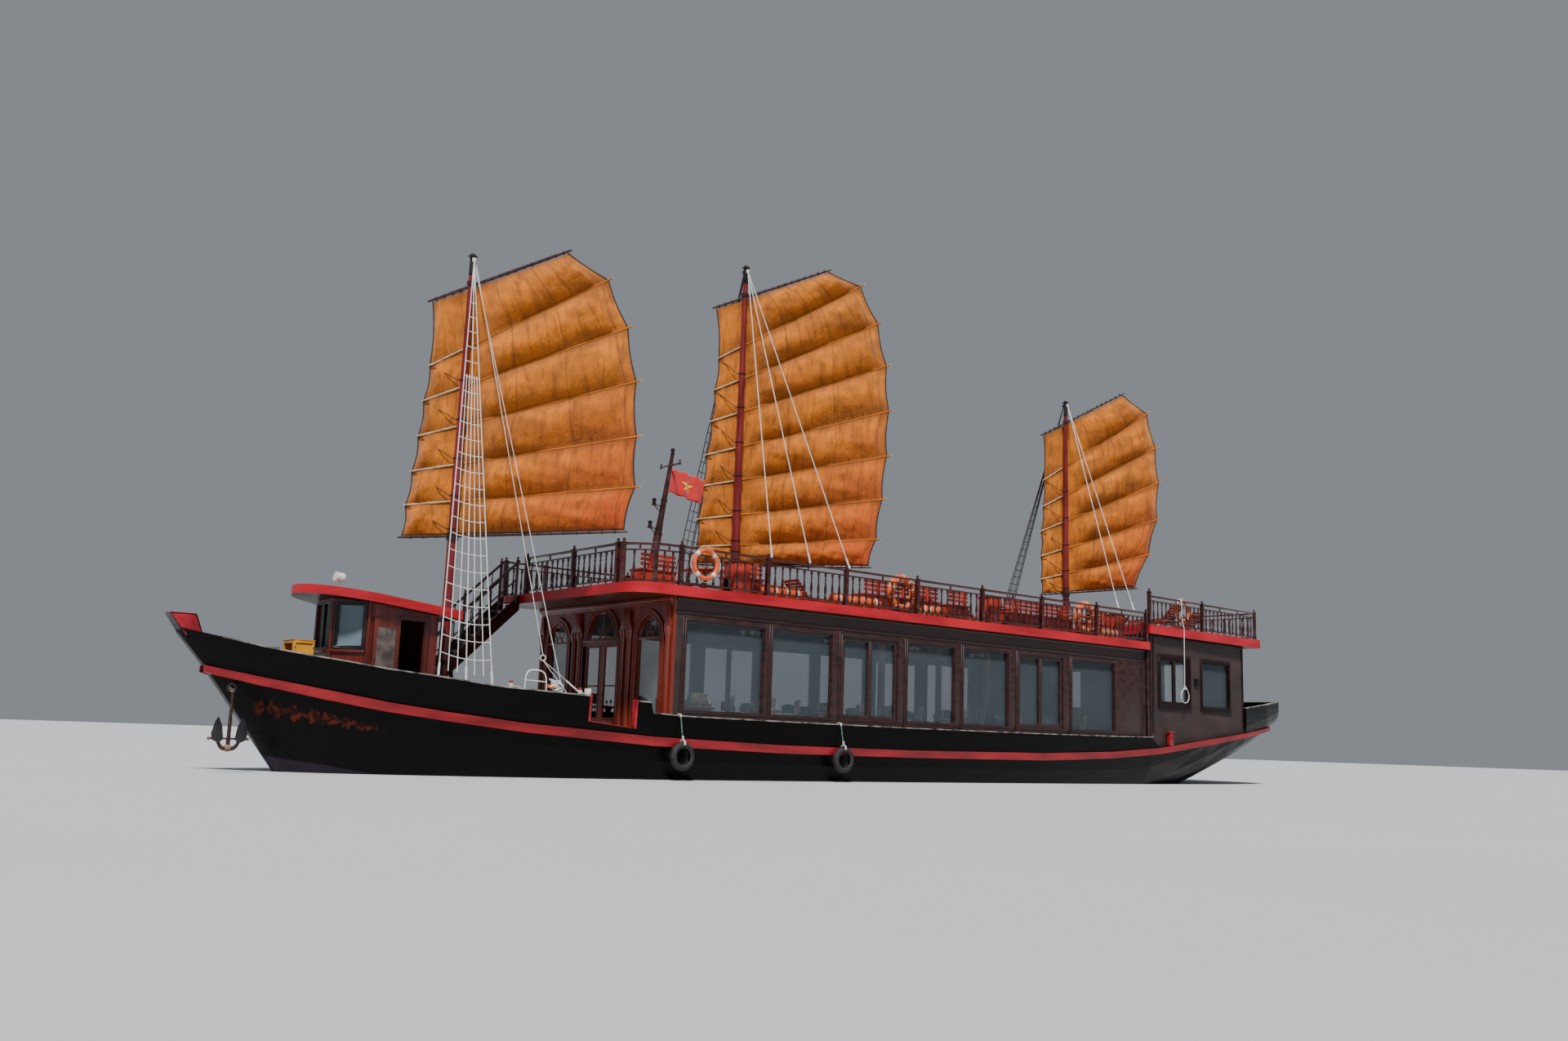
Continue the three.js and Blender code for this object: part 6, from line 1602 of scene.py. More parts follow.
def make_windlass_trim():
    """Ribs, cover strips and bolts of the windlass housing, and the flanges and rope of its drum."""
    mesh = bmesh.new()
    back, front, half, low, high = (WINDLASS[key] for key in ("back", "front", "half", "low", "high"))
    x, z = WINDLASS["drum"]
    bolt = [(0.014, 0), (0.014, 0.008), (0.008, 0.012)]
    for side in (-1, 1):
        y = side * half
        for x0 in (back + 0.02, front - 0.05):
            strip(mesh, (x0, x0 + 0.03), y, side, 0.018, (low + 0.08, high - 0.03), 0.005)
        for z0, z1 in ((high - 0.06, high - 0.02), (low + 0.42, low + 0.46)):
            strip(mesh, (back + 0.03, front - 0.03), y, side, 0.022, (z0, z1), 0.006)
        for k in range(5):
            for x0 in (back + 0.035, front - 0.035):
                turned(mesh, bolt, (x0, y + side * 0.018, low + 0.2 + 0.22 * k), (0, side, 0), 6, 1)
        for out, wide in ((0.035, 0.008), (0.145, 0.010)):
            band(mesh, (x, y + side * out, z), (0, 1, 0), 0.1505, 0.20, -wide, wide, 28, 1)
        for k in range(4):
            hoop(mesh, (x, y + side * (0.056 + 0.024 * k), z), (0, 1, 0), 0.163, 0.0115, 28, 2)
    box(mesh, (back - 0.012, -half - 0.012, high + LIFT), (front + 0.012, half + 0.012, high + 0.014), 0.005)
    piece("windlass_trim", mesh, ["yellow_paint", "black_paint", "white_rope"])


def make_lamp_trim():
    """Rim, glass and cooling fins of the searchlight."""
    mesh = bmesh.new()
    centre = (15.94, 0, 4.13)
    for low, high, inner, outer in ((0.085, 0.105, 0.085, 0.118), (-0.03, -0.022, 0.06, 0.112),
                                    (-0.06, -0.052, 0.06, 0.112)):
        band(mesh, centre, (1, 0, 0), inner, outer, low, high, 28)
    turned(mesh, [(0.09, 0.092), (0.06, 0.099), (0.03, 0.102)], at=centre, way=(1, 0, 0), sides=28, index=1)
    piece("searchlight_rim", mesh, ["white_paint", "cabin_glass"])


def make_cap_gear():
    """White pipes, a heap of rope and a block on the port cap rail, ahead of the gate."""
    mesh = bmesh.new()
    def on_cap(x, up):
        half, z = sheer(x)
        return Vector((x, half - 0.055, z + up))
    frame = [on_cap(12.22, 0.014), on_cap(12.24, 0.30), on_cap(12.34, 0.42), on_cap(12.58, 0.42),
             on_cap(12.68, 0.30), on_cap(12.70, 0.014)]
    tube(mesh, smooth_line(frame, 24), 0.015, 10)
    tube(mesh, [on_cap(12.25, 0.2), on_cap(12.67, 0.2)], 0.011, 8)
    tube(mesh, [on_cap(11.42, 0.02), on_cap(11.58, 0.13), on_cap(11.78, 0.27)], 0.018, 10)
    box(mesh, on_cap(11.25, 0.014) - Vector((0.05, 0.05, 0)), on_cap(11.33, 0.15) + Vector((0, 0.05, 0)),
        0.012)
    for k in range(9):
        middle = on_cap(11.95 + 0.035 * (k % 5), 0.05 + 0.022 * k)
        way = Vector((0.5 * math.sin(k * 2.1), 0.3 * math.cos(k * 1.7), 1)).normalized()
        hoop(mesh, middle, way, 0.085 + 0.012 * (k % 3), 0.017, 20, 1 if k != 4 else 2)
    piece("cap_gear", mesh, ["white_paint", "white_rope", "orange"])


def make_bitts():
    """Mooring bitts on the cap rails with their turns of rope, and the posts by the aft cabin."""
    mesh = bmesh.new()
    for side in (-1, 1):
        for x in (13.0, 11.45):
            half, z = sheer(x)
            y = side * (half - 0.055)
            turned(mesh, [(0.035, 0.0), (0.03, 0.10), (0.045, 0.12), (0.045, 0.14)], at=(x, y, z + 0.014),
                   sides=12)
            for k in range(4):
                hoop(mesh, (x, y, z + 0.03 + 0.02 * k), (0, 0, 1), 0.042, 0.011, 14, 1)
            tail = [(x, y + side * 0.04, z + 0.05), (x - 0.1, y + side * 0.02, z + 0.03),
                    (x - 0.25, y, z + 0.03)]
            tube(mesh, smooth_line(tail, 8), 0.011, 6, 1)
        y = side * 3.12
        prism(mesh, [(-10.22, 1.22), (-10.02, 1.22), (-10.04, 1.62), (-10.20, 1.62)], y - 0.06, y + 0.06,
              1, bevel=0.012)
        box(mesh, (-10.25, y - 0.08, 1.62), (-9.99, y + 0.08, 1.66), 0.01)
        rod(mesh, (-10.13, y - 0.12, 1.48), (-10.13, y + 0.12, 1.48), 0.022)
    piece("bitts", mesh, ["trim_red", "white_rope"])


# Deck gear

def life_ring(mesh, at, way, radius=0.33, thick=0.055):
    """A life ring with four pale bands and its grab line."""
    hoop(mesh, at, way, radius, thick, 36, 0)
    place = Matrix.Translation(at) @ frame_along(Vector(way))
    for k in range(4):
        t = math.tau * (k + 0.5) / 4
        arc = [place @ Vector((radius * math.cos(t + d), radius * math.sin(t + d), 0)) for d in (-0.13,
                                                                                                 -0.04,
                                                                                                 0.04, 0.13)]
        tube(mesh, arc, thick * 1.03, 12, 1)
        a, b = t, t + math.tau / 4
        line = [place @ Vector((r * math.cos(u), r * math.sin(u), 0.0)) for r, u in (
            (radius + thick * 1.02, a), (radius + thick + 0.03, a + 0.4),
            (radius + thick + 0.045, (a + b) / 2),
            (radius + thick + 0.03, b - 0.4), (radius + thick * 1.02, b))]
        tube(mesh, smooth_line(line, 12), 0.006, 6, 1)


def make_life_rings():
    """Lifebuoys on the railings of both upper decks, on their ties."""
    mesh = bmesh.new()
    for x, side in ((8.5, 1), (4.5, -1), (-3.0, -1)):
        life_ring(mesh, (x, side * (RAIL_Y + 0.068), DECK_TOP + 0.56), (0, 1, 0))
        for dx in (-0.08, 0.08):
            tube(mesh,
                 [(x + dx, side * (RAIL_Y + 0.02), DECK_TOP + 0.93),
                  (x + dx, side * (RAIL_Y + 0.055), DECK_TOP + 0.9)],
                 0.006, 6, 1)
    for x, side in ((-11.2, 1), (-13.4, -1)):
        life_ring(mesh, (x, side * (along(AFT_RAIL, x)[0] - 0.11), AFT_TOP + 0.62), (0, 1, 0))
    piece("life_rings", mesh, ["orange", "white_paint"])


def make_lounger(mesh, x, y, z, turn):
    """A slatted deck lounger with a raised back."""
    place = Matrix.Translation((x, y, z)) @ Matrix.Rotation(turn, 4, "Z")
    for side in (-1, 1):
        box(mesh, (-0.95, side * 0.30 - 0.025, 0.28), (0.55, side * 0.30 + 0.025, 0.34), 0.01, place)
        for dx in (-0.85, 0.45):
            box(mesh, (dx - 0.03, side * 0.30 - 0.03, 0.0), (dx + 0.03, side * 0.30 + 0.03, 0.30), 0.01,
                place)
    for k in range(12):
        box(mesh, (-0.93 + 0.105 * k, -0.31, 0.341), (-0.85 + 0.105 * k, 0.31, 0.362), 0.005, place)
    back = place @ Matrix.Translation((0.36, 0, 0.35)) @ Matrix.Rotation(math.radians(-48), 4, "Y")
    for k in range(6):
        box(mesh, (0.02 + 0.105 * k, -0.31, 0.0), (0.10 + 0.105 * k, 0.31, 0.022), 0.005, back)
    for side in (-1, 1):
        box(mesh, (0.0, side * 0.27 - 0.02, -0.03), (0.66, side * 0.27 + 0.02, -0.001), 0.006, back)


def make_bench(mesh, x0, x1, y, z, side):
    """A long boxed bench with a slatted back, facing inwards."""
    box(mesh, (x0, y - 0.24, z + 0.002), (x1, y + 0.24, z + 0.40), 0.02)
    box(mesh, (x0 - 0.02, y - 0.27, z + 0.40), (x1 + 0.02, y + 0.27, z + 0.45), 0.015)
    posts = max(2, int((x1 - x0) / 0.9))
    near, far = sorted((y + side * 0.17, y + side * 0.198))
    for k in range(posts):
        at = x0 + (x1 - x0) * (k + 0.5) / posts
        box(mesh, (at - 0.03, y + side * 0.20, z + 0.44), (at + 0.03, y + side * 0.25, z + 0.80), 0.008)
    for k in range(3):
        low, high = z + 0.52 + 0.11 * k, z + 0.60 + 0.11 * k
        box(mesh, (x0, near, low), (x1, far, high), 0.008)


def make_deck_gear():
    """Benches, loungers, a low table and lockers of the upper decks, and the rescue floats."""
    mesh = bmesh.new()
    for x0, x1 in ((0.2, 3.0), (-1.0, -0.2), (-5.6, -2.6)):
        for side in (-1, 1):
            make_bench(mesh, x0, x1, side * 2.55, DECK_TOP, side)
    for x in (9.1, 6.9, -6.9):
        make_bench(mesh, x - 0.5, x + 0.5, 1.9 if x > 9 else 2.5, DECK_TOP, 1)
    for x, y, turn in ((3.2, 0.9, 0.0), (3.2, -0.9, 0.0), (-1.9, 0.9, 0.0), (-1.9, -0.9, 0.0),
                       (-5.6, 0.9, 0.0), (-5.6, -0.9, 0.0)):
        make_lounger(mesh, x, y, DECK_TOP, turn)
    for x, y, z in ((-11.3, 1.9, AFT_TOP), (-13.6, -1.9, AFT_TOP), (-13.6, 1.2, AFT_TOP)):
        make_lounger(mesh, x, y, z, QUARTER)
    for x in (7.15, -2.05, -7.9):
        box(mesh, (x - 0.25, 2.42, DECK_TOP + 0.002), (x + 0.25, 2.88, DECK_TOP + 0.78), 0.02)
        box(mesh, (x - 0.28, 2.40, DECK_TOP + 0.78), (x + 0.28, 2.90, DECK_TOP + 0.82), 0.01)
    turned(mesh, [(0.30, 0.0), (0.30, 0.03), (0.05, 0.06), (0.05, 0.66), (0.12, 0.70)],
           at=(6.9, 1.0, DECK_TOP + 0.002))
    turned(mesh, [(0.55, 0.70), (0.57, 0.715), (0.57, 0.735), (0.55, 0.75)],
           at=(6.9, 1.0, DECK_TOP + 0.002), sides=28)
    piece("deck_furniture", mesh, "deck_red")
    make_floats()


def make_floats():
    """Rescue floats behind the railings: rings on their racks, and long ones lying on the deck."""
    mesh = bmesh.new()
    for x, side in ((1.7, 1), (-6.2, 1), (-1.2, -1), (6.0, -1)):
        at = Vector((x, side * 2.82, DECK_TOP + 0.56))
        hoop(mesh, at, (0, 1, 0), 0.40, 0.105, 36)
        for k in range(10):
            t = math.tau * (k + 0.5) / 10
            way = Vector((-math.sin(t), 0, math.cos(t)))
            spot = at + Vector((0.40 * math.cos(t), 0, 0.40 * math.sin(t)))
            band(mesh, spot, way, 0.100, 0.110, -0.012, 0.012, 18, 1)
        box(mesh, (x - 0.3, at.y - 0.12, DECK_TOP + 0.002), (x + 0.3, at.y + 0.12, DECK_TOP + 0.055), 0.01,
            index=2)
    end = [(0.05, 0), (0.14, 0.03), (0.17, 0.12)]
    for x0, x1, y in ((2.5, 4.2, 2.78), (0.2, 1.0, 2.78), (5.2, 6.6, 2.72), (-7.8, -6.9, 2.75)):
        body = [*end, *((r, x1 - x0 - z) for r, z in reversed(end))]
        turned(mesh, body, at=(x0, y, DECK_TOP + 0.172), way=(1, 0, 0), sides=20)
        for k in range(4):
            at = x0 + (x1 - x0) * (k + 0.5) / 4
            band(mesh, (at, y, DECK_TOP + 0.172), (1, 0, 0), 0.165, 0.176, -0.02, 0.02, 20, 1)
    piece("rescue_floats", mesh, ["orange", "white_paint", "dark_wood"])


# Light mast and flag

LIGHT_FOOT, LIGHT_TOP = Vector((7.99, 0, 4.42)), Vector((7.385, 0, 8.29))


def light_mast_at(z):
    """The middle of the leaning light mast at a height."""
    return LIGHT_FOOT.lerp(LIGHT_TOP, (z - LIGHT_FOOT.z) / (LIGHT_TOP.z - LIGHT_FOOT.z))


LAMP = [(0.03, 0.0), (0.06, 0.01), (0.06, 0.03), (0.048, 0.035), (0.048, 0.12), (0.06, 0.125), (0.06, 0.15),
        (0.02, 0.18)]


def make_light_mast():
    """The raked pole, thicker in its lower half, with its crosstree, brackets and lamps."""
    mesh = bmesh.new()
    count = 12
    line = [LIGHT_FOOT.lerp(LIGHT_TOP, 0.01 + 0.99 * k / count) for k in range(count + 1)]
    tube(mesh, line,
         [0.115 - 0.02 * k / count if k < 6 else 0.085 - 0.04 * (k - 6) / 6 for k in range(count + 1)], 18)
    turned(mesh, [(0.19, 0.001), (0.185, 0.03), (0.14, 0.06), (0.125, 0.12)], at=LIGHT_FOOT, sides=22)
    way = (LIGHT_TOP - LIGHT_FOOT).normalized()
    for z, radius in ((5.2, 0.125), (6.1, 0.112), (7.0, 0.088)):
        band(mesh, light_mast_at(z), way, 0.05, radius, -0.02, 0.02, 18, 1)
    cross = light_mast_at(7.95)
    tube(mesh, [cross + Vector((0, y, 0)) for y in (-0.42, 0, 0.42)], [0.018, 0.03, 0.018], 10)
    for y in (-0.42, 0.42):
        ball = [(0.012, -0.04), (0.034, -0.025), (0.042, 0.0), (0.034, 0.025), (0.012, 0.04)]
        turned(mesh, ball, at=(cross.x, y, cross.z), sides=14)
        turned(mesh, [(0.012, 0.03), (0.026, 0.05), (0.026, 0.09), (0.010, 0.11)], at=(cross.x, y, cross.z),
               sides=12)
    for z in (6.25, 6.85):
        spot = light_mast_at(z)
        box(mesh, (spot.x - 0.02, -0.05, z - 0.025), (spot.x + 0.34, 0.05, z), 0.008)
        turned(mesh, LAMP, at=(spot.x + 0.28, 0, z), sides=16, index=1)
        tube(mesh, [(spot.x + 0.05, 0, z - 0.2), (spot.x + 0.26, 0, z - 0.02)], 0.014, 8)
    turned(mesh, LAMP, at=(LIGHT_TOP.x, 0, LIGHT_TOP.z - 0.05), sides=16, index=1)
    piece("raked_mast", mesh, ["dark_wood", "black_paint"],
          replaces=("light_mast",))


FLAG = {"low": 7.26, "high": 7.88, "reach": 1.08}


def flag_spot(u, v):
    """A place on the bunting: it droops towards its fly in soft folds."""
    z = FLAG["low"] + (FLAG["high"] - FLAG["low"]) * v
    start = light_mast_at(z).x - 0.082
    wave = 0.066 * math.sin(u * 17.5 + v) * min(1, u * 3) + 0.010 * math.sin(u * 31 + v * 3) * u
    return Vector((start - FLAG["reach"] * u, wave, z - 0.20 * u * (1 - 0.25 * v)))


def make_flag():
    """A rippled flag on its halyard, with its own coordinates for the star."""
    mesh, area = draped(
        56, 16, lambda x, y: flag_spot(x + 0.5, y + 0.5), {"flag": lambda x, y: ((x + 0.5) * 1.5, y + 0.5)}
    )
    flag = piece("bunting", mesh, "flag_red", replaces=("flag",))
    thicken(flag, 0.002)
    cords = bmesh.new()
    for z in (FLAG["low"] + 0.06, FLAG["high"] - 0.05):
        spot = light_mast_at(z)
        rod(cords, (spot.x - 0.06, 0, z), (spot.x - 0.095, 0, z), 0.008)
    tube(cords, [light_mast_at(7.2) - Vector((0.09, 0, 0)), light_mast_at(8.0) - Vector((0.07, 0, 0))],
         0.006, 6)
    piece("flag_toggles", cords, "white_rope")


# What each node of the frame is finished with
NODE_FINISHES = {
    "hull_black": ["hull"],
    "wale_red": ["wale_port", "wale_starboard"],
    "teak": ["foredeck", "stern_deck", "saloon_floor"],
    "brown_wall": ["saloon_side_port", "saloon_side_starboard", "aft_cabin", "aft_bulkhead"],
    "mahogany_front": ["saloon_front", "saloon_door_port", "saloon_door_starboard"],
    "mahogany_side": ["wheelhouse_walls", "wheelhouse_door_port", "wheelhouse_door_starboard"],
    "window_glass": [
        "saloon_glass_port",
        "saloon_glass_starboard",
        "saloon_front_glass",
        "aft_glass_port",
        "aft_glass_starboard",
    ],
    "cabin_glass": ["wheelhouse_glass"],
    "deck_slab": ["upper_deck"],
    "roof_slab": ["aft_roof", "wheelhouse_roof"],
    "mast_red": ["fore_mast", "main_mast", "mizzen_mast"],
    "rail_paint": ["stair"],
    "dark_wood": [
        "rail_port",
        "rail_starboard",
        "rail_front",
        "rail_aft",
        "fore_yard",
        "main_yard",
        "mizzen_yard",
        "fore_boom",
        "main_boom",
        "mizzen_boom",
    ],
    "dark_rope": [
        "fore_shrouds_port",
        "main_shrouds_port",
        "main_shrouds_starboard",
        "mizzen_shrouds_port",
        "mizzen_shrouds_starboard",
    ],
    "white_rope": ["hanging_rope"],
    "red_wood": ["rudder"],
    "iron": ["anchor", "fore_tabernacle"],
    "rubber": ["fender_fore", "fender_aft"],
    "bronze": ["propeller"],
    "white_paint": ["searchlight", "light_mast"],
    "yellow_paint": ["windlass"],
    "canvas_plain": ["fore_sail", "main_sail", "mizzen_sail"],
    "flag_red": ["flag"],
}


def dress_nodes():
    """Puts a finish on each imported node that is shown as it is."""
    for finish, names in NODE_FINISHES.items():
        for name in names:
            for one in frame["nodes"][name].material_slots:
                one.material = MATERIALS[finish]


# Stage

CAMERA_RIGHT = (-0.76522, 0.64295, 0.03255)
CAMERA_UP = (0.12940, 0.10409, 0.98612)


def make_floor():
    """The floor of the studio."""
    mesh = bmesh.new()
    bmesh.ops.create_grid(mesh, x_segments=1, y_segments=1, size=400)
    data = bpy.data.meshes.new("floor")
    mesh.to_mesh(data)
    mesh.free()
    nodes = Nodes("floor")
    patch = nodes.noise(0.15, 3.0)
    nodes.set(Base_Color=nodes.mix(patch, (0.52, 0.53, 0.54), (0.58, 0.585, 0.59)), Roughness=0.75)
    data.materials.append(nodes.material)
    floor = bpy.data.objects.new("floor", data)
    bpy.context.scene.collection.objects.link(floor)


def make_camera(looks):
    """The camera as in the photo."""
    data = bpy.data.cameras.new("photo_camera")
    data.lens = looks.lens
    data.sensor_width = 36.0
    data.clip_end = 1000.0
    camera = bpy.data.objects.new("photo_camera", data)
    right, up = Vector(CAMERA_RIGHT), Vector(CAMERA_UP)
    back = right.cross(up)
    camera.matrix_world = Matrix.Translation(looks.camera) @ Matrix((right, up, back)).transposed().to_4x4()
    bpy.context.scene.collection.objects.link(camera)
    bpy.context.scene.camera = camera


def make_sun(energy, angle, direction):
    """The sun, shining along a direction."""
    data = bpy.data.lights.new("sun", "SUN")
    data.energy = energy
    data.angle = angle
    light = bpy.data.objects.new("sun", data)
    light.rotation_euler = Vector(direction).to_track_quat("-Z", "Y").to_euler()
    bpy.context.scene.collection.objects.link(light)


def make_world(strength):
    """Pale light from all around."""
    world = bpy.data.worlds.new("studio")
    world.use_nodes = True
    back = world.node_tree.nodes["Background"]
    back.inputs["Color"].default_value = (0.80, 0.86, 0.95, 1.0)
    back.inputs["Strength"].default_value = strength
    bpy.context.scene.world = world


# Add-on: sizes and colours a user may change

def colour_of(name, about, value):
    """A colour of the add-on, with its default."""
    return FloatVectorProperty(
        name=name, description=about, subtype="COLOR", size=3, min=0, max=1, default=value)


def length_of(name, about, value, low, high):
    """A size of the add-on in metres, with its default and limits."""
    return FloatProperty(name=name, description=about, default=value, min=low, max=high, unit="LENGTH")


class JunkSizes(bpy.types.PropertyGroup):
    """Sizes of the pieces, in metres, and the fineness of the sails."""

    belly: length_of("Sail belly", "How deep the cloth hangs out between two battens", 0.27, 0.02, 0.4)
    columns: IntProperty(
        name="Sail columns", description="How many faces a sail has along its chord", default=72,
        min=12, max=140)
    steps: IntProperty(
        name="Panel rows", description="How many rows of faces a panel of a sail has", default=14,
        min=4, max=30)
    yard_radius: length_of("Yard radius", "Radius of the yards at their middle", 0.042, 0.01, 0.1)
    boom_radius: length_of("Boom radius", "Radius of the booms at their middle", 0.038, 0.01, 0.1)
    shroud_radius: length_of("Shroud radius", "Radius of the shrouds", 0.013, 0.004, 0.04)
    ratlines: length_of("Ratline spacing", "Height between two steps of the rope ladder", 0.36, 0.1, 1.0)
    balusters: length_of("Baluster spacing", "Distance between two balusters of a railing", 0.24, 0.1, 1.0)


class JunkColours(bpy.types.PropertyGroup):
    """Colours of the finishes."""

    sail: colour_of("Sails", "Sunlit colour of the sailcloth", srgb(208, 114, 6))
    # The red of a painted reflection of the deck, low at the leech.
    sail_deck_glow: colour_of("Sails, worn", "Colour of the sailcloth low at the leech", srgb(196, 62, 6))
    hull: colour_of("Hull", "Paint of the topsides", srgb(7, 5, 6))
    wale: colour_of("Wale", "Paint of the wale along the hull", srgb(152, 14, 26))
    trim: colour_of("Trim", "Paint of the gates, rings and bow trim", srgb(172, 28, 42))
    roof_edge: colour_of("Roof edges", "Paint on the edges of the decks and roofs", srgb(196, 18, 36))
    deck: colour_of("Deck", "Planks on top of the roofs", srgb(150, 92, 66))
    wall: colour_of("Walls", "Paint of the cabin's sides", srgb(60, 42, 40))
    front: colour_of("Saloon front", "Varnished wood of the saloon's front", srgb(126, 42, 26))
    mast: colour_of("Masts", "Paint of the masts", srgb(124, 26, 32))
    railing: colour_of("Railings", "Paint of the railings", srgb(68, 20, 18))
    flag: colour_of("Flag", "Bunting of the flag", srgb(222, 34, 34))


class JunkStage(bpy.types.PropertyGroup):
    """Camera and light."""

    lens: FloatProperty(
        name="Lens", description="Focal length in millimetres", default=30.75, min=10, max=200)
    camera: FloatVectorProperty(
        name="Camera", description="Where the camera stands", subtype="TRANSLATION", size=3,
        default=(27.0, 28.24, 0.948), unit="LENGTH")
    sun_energy: FloatProperty(name="Sun", description="Strength of the sun", default=5.0, min=0, max=20)
    sun_angle: FloatProperty(
        name="Sun size", description="How wide the sun looks, which softens its shadows",
        default=math.radians(7), min=0, max=1, unit="ROTATION")
    sun_way: FloatVectorProperty(
        name="Sun direction", description="Which way the sunlight travels", subtype="DIRECTION", size=3,
        default=(-0.42, -0.5, -1.0))
    sky: FloatProperty(
        name="Sky", description="Strength of the light from all around", default=0.3, min=0, max=5)


# Add-on: operators

class JunkOperator:
    """What the operators share."""

    bl_options = {"REGISTER", "UNDO"}


class JUNK_OT_stage(JunkOperator, bpy.types.Operator):
    """Place the camera, the floor, the sun and the light from all around"""

    bl_idname = "junk.stage"
    bl_label = "Stage"

    def execute(self, context):
        stage = context.scene.junk_stage
        make_camera(stage)
        make_floor()
        make_sun(stage.sun_energy, stage.sun_angle, stage.sun_way)
        make_world(stage.sky)
        return {"FINISHED"}


class JUNK_OT_finishes(JunkOperator, bpy.types.Operator):
    """Make the finishes and put them on the fixed nodes"""

    bl_idname = "junk.finishes"
    bl_label = "Finishes"

    def execute(self, context):
        make_materials(context.scene.junk_colours)
        dress_nodes()
        return {"FINISHED"}


class JUNK_OT_ropes(JunkOperator, bpy.types.Operator):
    """Hang the free rope"""

    bl_idname = "junk.ropes"
    bl_label = "Hanging rope"

    def execute(self, context):
        make_hanging_rope()
        return {"FINISHED"}


class JUNK_OT_sails(JunkOperator, bpy.types.Operator):
    """Make the three sails with their battens and spars"""

    bl_idname = "junk.sails"
    bl_label = "Sails"

    def execute(self, context):
        sizes = context.scene.junk_sizes
        for mast in SAILS:
            rig = Rig(mast)
            make_sail(rig, sizes.belly, sizes.columns, sizes.steps)
            make_battens(rig)
            make_spar(rig, 0, "yard", 0.038, 0.11, sizes.yard_radius)
            make_spar(rig, len(rig.rows) - 1, "boom", -0.034, 0.09, sizes.boom_radius)
        return {"FINISHED"}


class JUNK_OT_rigging(JunkOperator, bpy.types.Operator):
    """Make the masts with their shrouds, rope ladders and stays"""

    bl_idname = "junk.rigging"
    bl_label = "Masts and rigging"

    def execute(self, context):
        sizes = context.scene.junk_sizes
        for mast, (_, port, starboard) in SHROUDS.items():
            make_mast(mast)
            for side, feet in ((1, port), (-1, starboard)):
                if feet:
                    ratlines = sizes.ratlines if (mast == "fore") == (side > 0) else 0
                    rope = "white_rope" if side > 0 else "dark_rope"
                    make_shrouds(mast, side, feet, ratlines, sizes.shroud_radius, rope)
        make_stays()
        return {"FINISHED"}


class JUNK_OT_railings(JunkOperator, bpy.types.Operator):
    """Make the railings of the upper deck and the balusters of the stair"""

    bl_idname = "junk.railings"
    bl_label = "Railings"

    def execute(self, context):
        sizes = context.scene.junk_sizes
        for name in RAILINGS:
            make_railing(name, sizes.balusters)
        make_stair_trim()
        return {"FINISHED"}


class JUNK_OT_cabins(JunkOperator, bpy.types.Operator):
    """Make the windows, doors and trim of the saloon and the aft cabin"""

    bl_idname = "junk.cabins"
    bl_label = "Cabins"

    def execute(self, context):
        for name, side in SIDES:
            make_saloon_side(name, side)
            make_door_trim(name, side)
            make_aft_side(name, side)
        make_saloon_front()
        return {"FINISHED"}


class JUNK_OT_interior(JunkOperator, bpy.types.Operator):
    """Furnish the saloon behind its windows"""

    bl_idname = "junk.interior"
    bl_label = "Saloon furniture"

    def execute(self, context):
        make_interior()
        return {"FINISHED"}


class JUNK_OT_wheelhouse(JunkOperator, bpy.types.Operator):
    """Make the windows, doors and trim of the wheelhouse"""

    bl_idname = "junk.wheelhouse"
    bl_label = "Wheelhouse"

    def execute(self, context):
        make_wheelhouse_trim()
        for name, side in SIDES:
            make_wheelhouse_door(name, side)
        return {"FINISHED"}


class JUNK_OT_hull_trim(JunkOperator, bpy.types.Operator):
    """Make the cap rails, gates, bow trim, bitts, anchor and windlass trim"""

    bl_idname = "junk.hull_trim"
    bl_label = "Hull trim"

    def execute(self, context):
        make_cap_rails()
        make_gates()
        make_anchor()
        make_bow()
        make_bitts()
        make_cap_gear()
        make_windlass_trim()
        make_lamp_trim()
        return {"FINISHED"}


class JUNK_OT_fenders(JunkOperator, bpy.types.Operator):
    """Make the two fenders with their ropes"""

    bl_idname = "junk.fenders"
    bl_label = "Fenders"

    def execute(self, context):
        for name in ("fender_fore", "fender_aft"):
            make_fender(name)
        return {"FINISHED"}


class JUNK_OT_deck_gear(JunkOperator, bpy.types.Operator):
    """Make the life rings and the furniture of the upper deck"""

    bl_idname = "junk.deck_gear"
    bl_label = "Deck gear"

    def execute(self, context):
        make_life_rings()
        make_deck_gear()
        return {"FINISHED"}


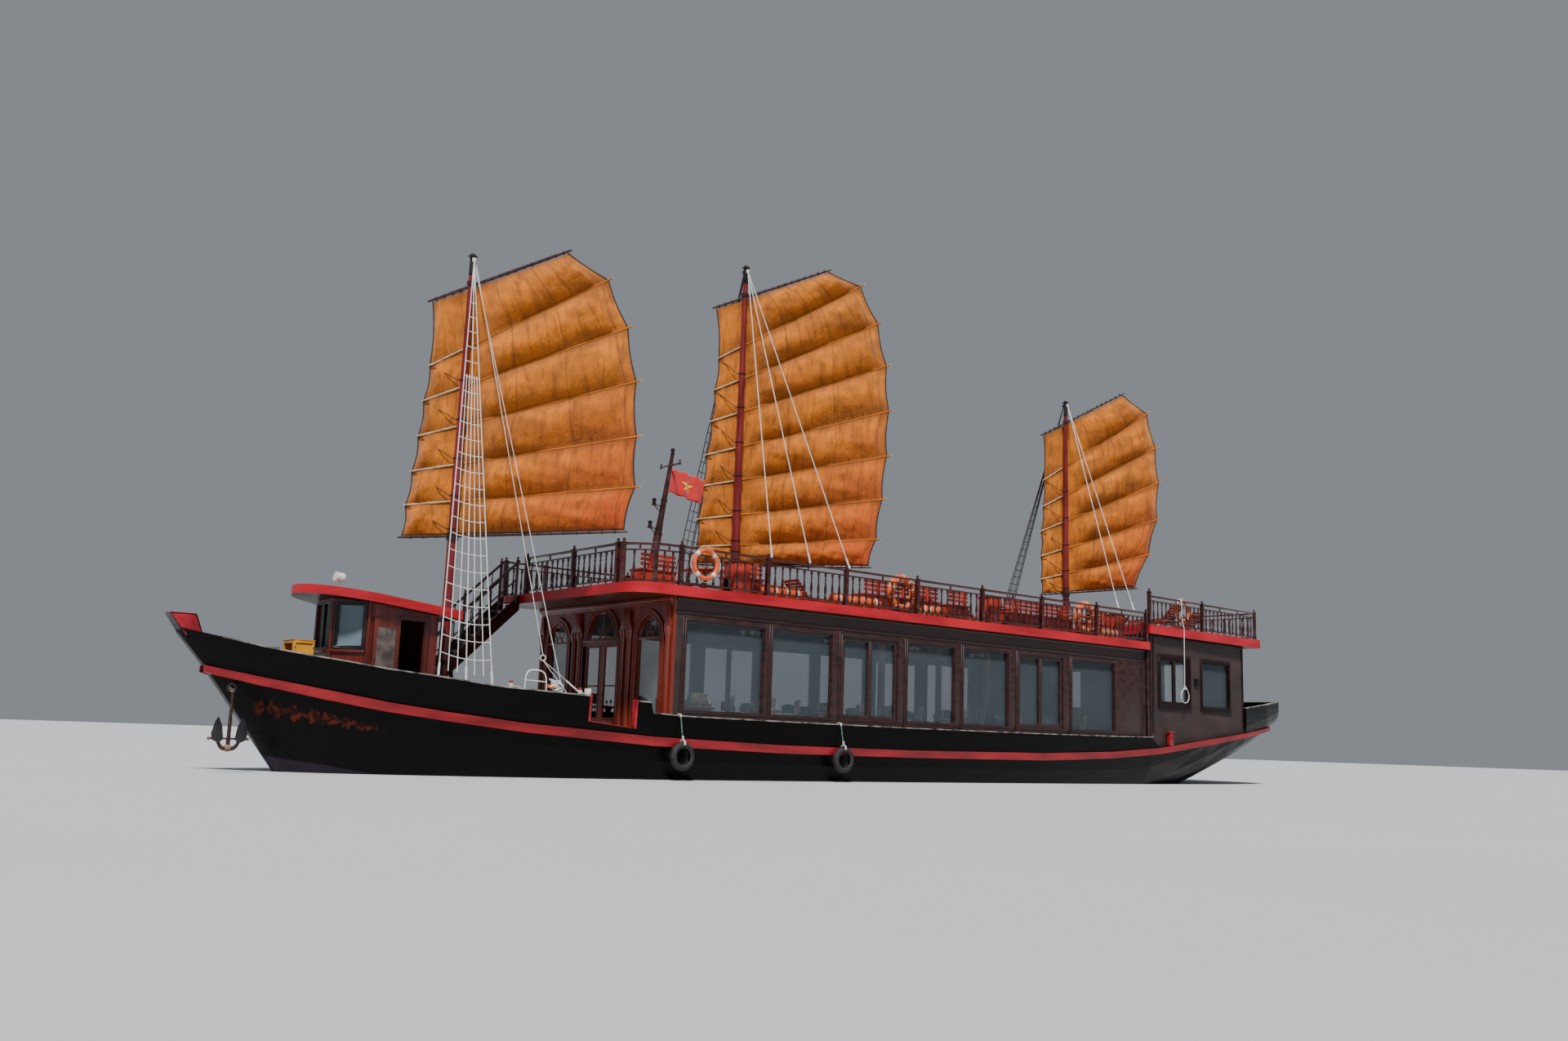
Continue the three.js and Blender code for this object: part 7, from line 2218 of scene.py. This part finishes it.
class JUNK_OT_flag(JunkOperator, bpy.types.Operator):
    """Make the flag and the light mast"""

    bl_idname = "junk.flag"
    bl_label = "Flag and light mast"

    def execute(self, context):
        make_flag()
        make_light_mast()
        return {"FINISHED"}


STEPS = (
    JUNK_OT_stage, JUNK_OT_finishes, JUNK_OT_ropes, JUNK_OT_sails, JUNK_OT_rigging, JUNK_OT_railings,
    JUNK_OT_cabins, JUNK_OT_interior, JUNK_OT_wheelhouse, JUNK_OT_hull_trim, JUNK_OT_fenders,
    JUNK_OT_deck_gear, JUNK_OT_flag,
)


class JUNK_PT_panel(bpy.types.Panel):
    """Sizes, colours and steps of the junk"""

    bl_idname = "JUNK_PT_panel"
    bl_label = "Junk"
    bl_space_type = "VIEW_3D"
    bl_region_type = "UI"
    bl_category = "Junk"

    def draw(self, context):
        scene = context.scene
        for group in (scene.junk_sizes, scene.junk_colours, scene.junk_stage):
            column = self.layout.column()
            for name in group.__annotations__:
                column.prop(group, name)
        for step in STEPS:
            self.layout.operator(step.bl_idname)


CLASSES = (JunkSizes, JunkColours, JunkStage, *STEPS, JUNK_PT_panel)


def register():
    for kind in CLASSES:
        bpy.utils.register_class(kind)
    bpy.types.Scene.junk_sizes = PointerProperty(type=JunkSizes)
    bpy.types.Scene.junk_colours = PointerProperty(type=JunkColours)
    bpy.types.Scene.junk_stage = PointerProperty(type=JunkStage)


def unregister():
    for name in ("junk_stage", "junk_colours", "junk_sizes"):
        delattr(bpy.types.Scene, name)
    for kind in reversed(CLASSES):
        bpy.utils.unregister_class(kind)


def main():
    register()
    bpy.ops.junk.stage()
    bpy.ops.junk.finishes()
    bpy.ops.junk.ropes()
    bpy.ops.junk.sails()
    bpy.ops.junk.rigging()
    bpy.ops.junk.railings()
    bpy.ops.junk.cabins()
    bpy.ops.junk.interior()
    bpy.ops.junk.wheelhouse()
    bpy.ops.junk.hull_trim()
    bpy.ops.junk.fenders()
    bpy.ops.junk.deck_gear()
    bpy.ops.junk.flag()


if __name__ == "__main__":
    main()
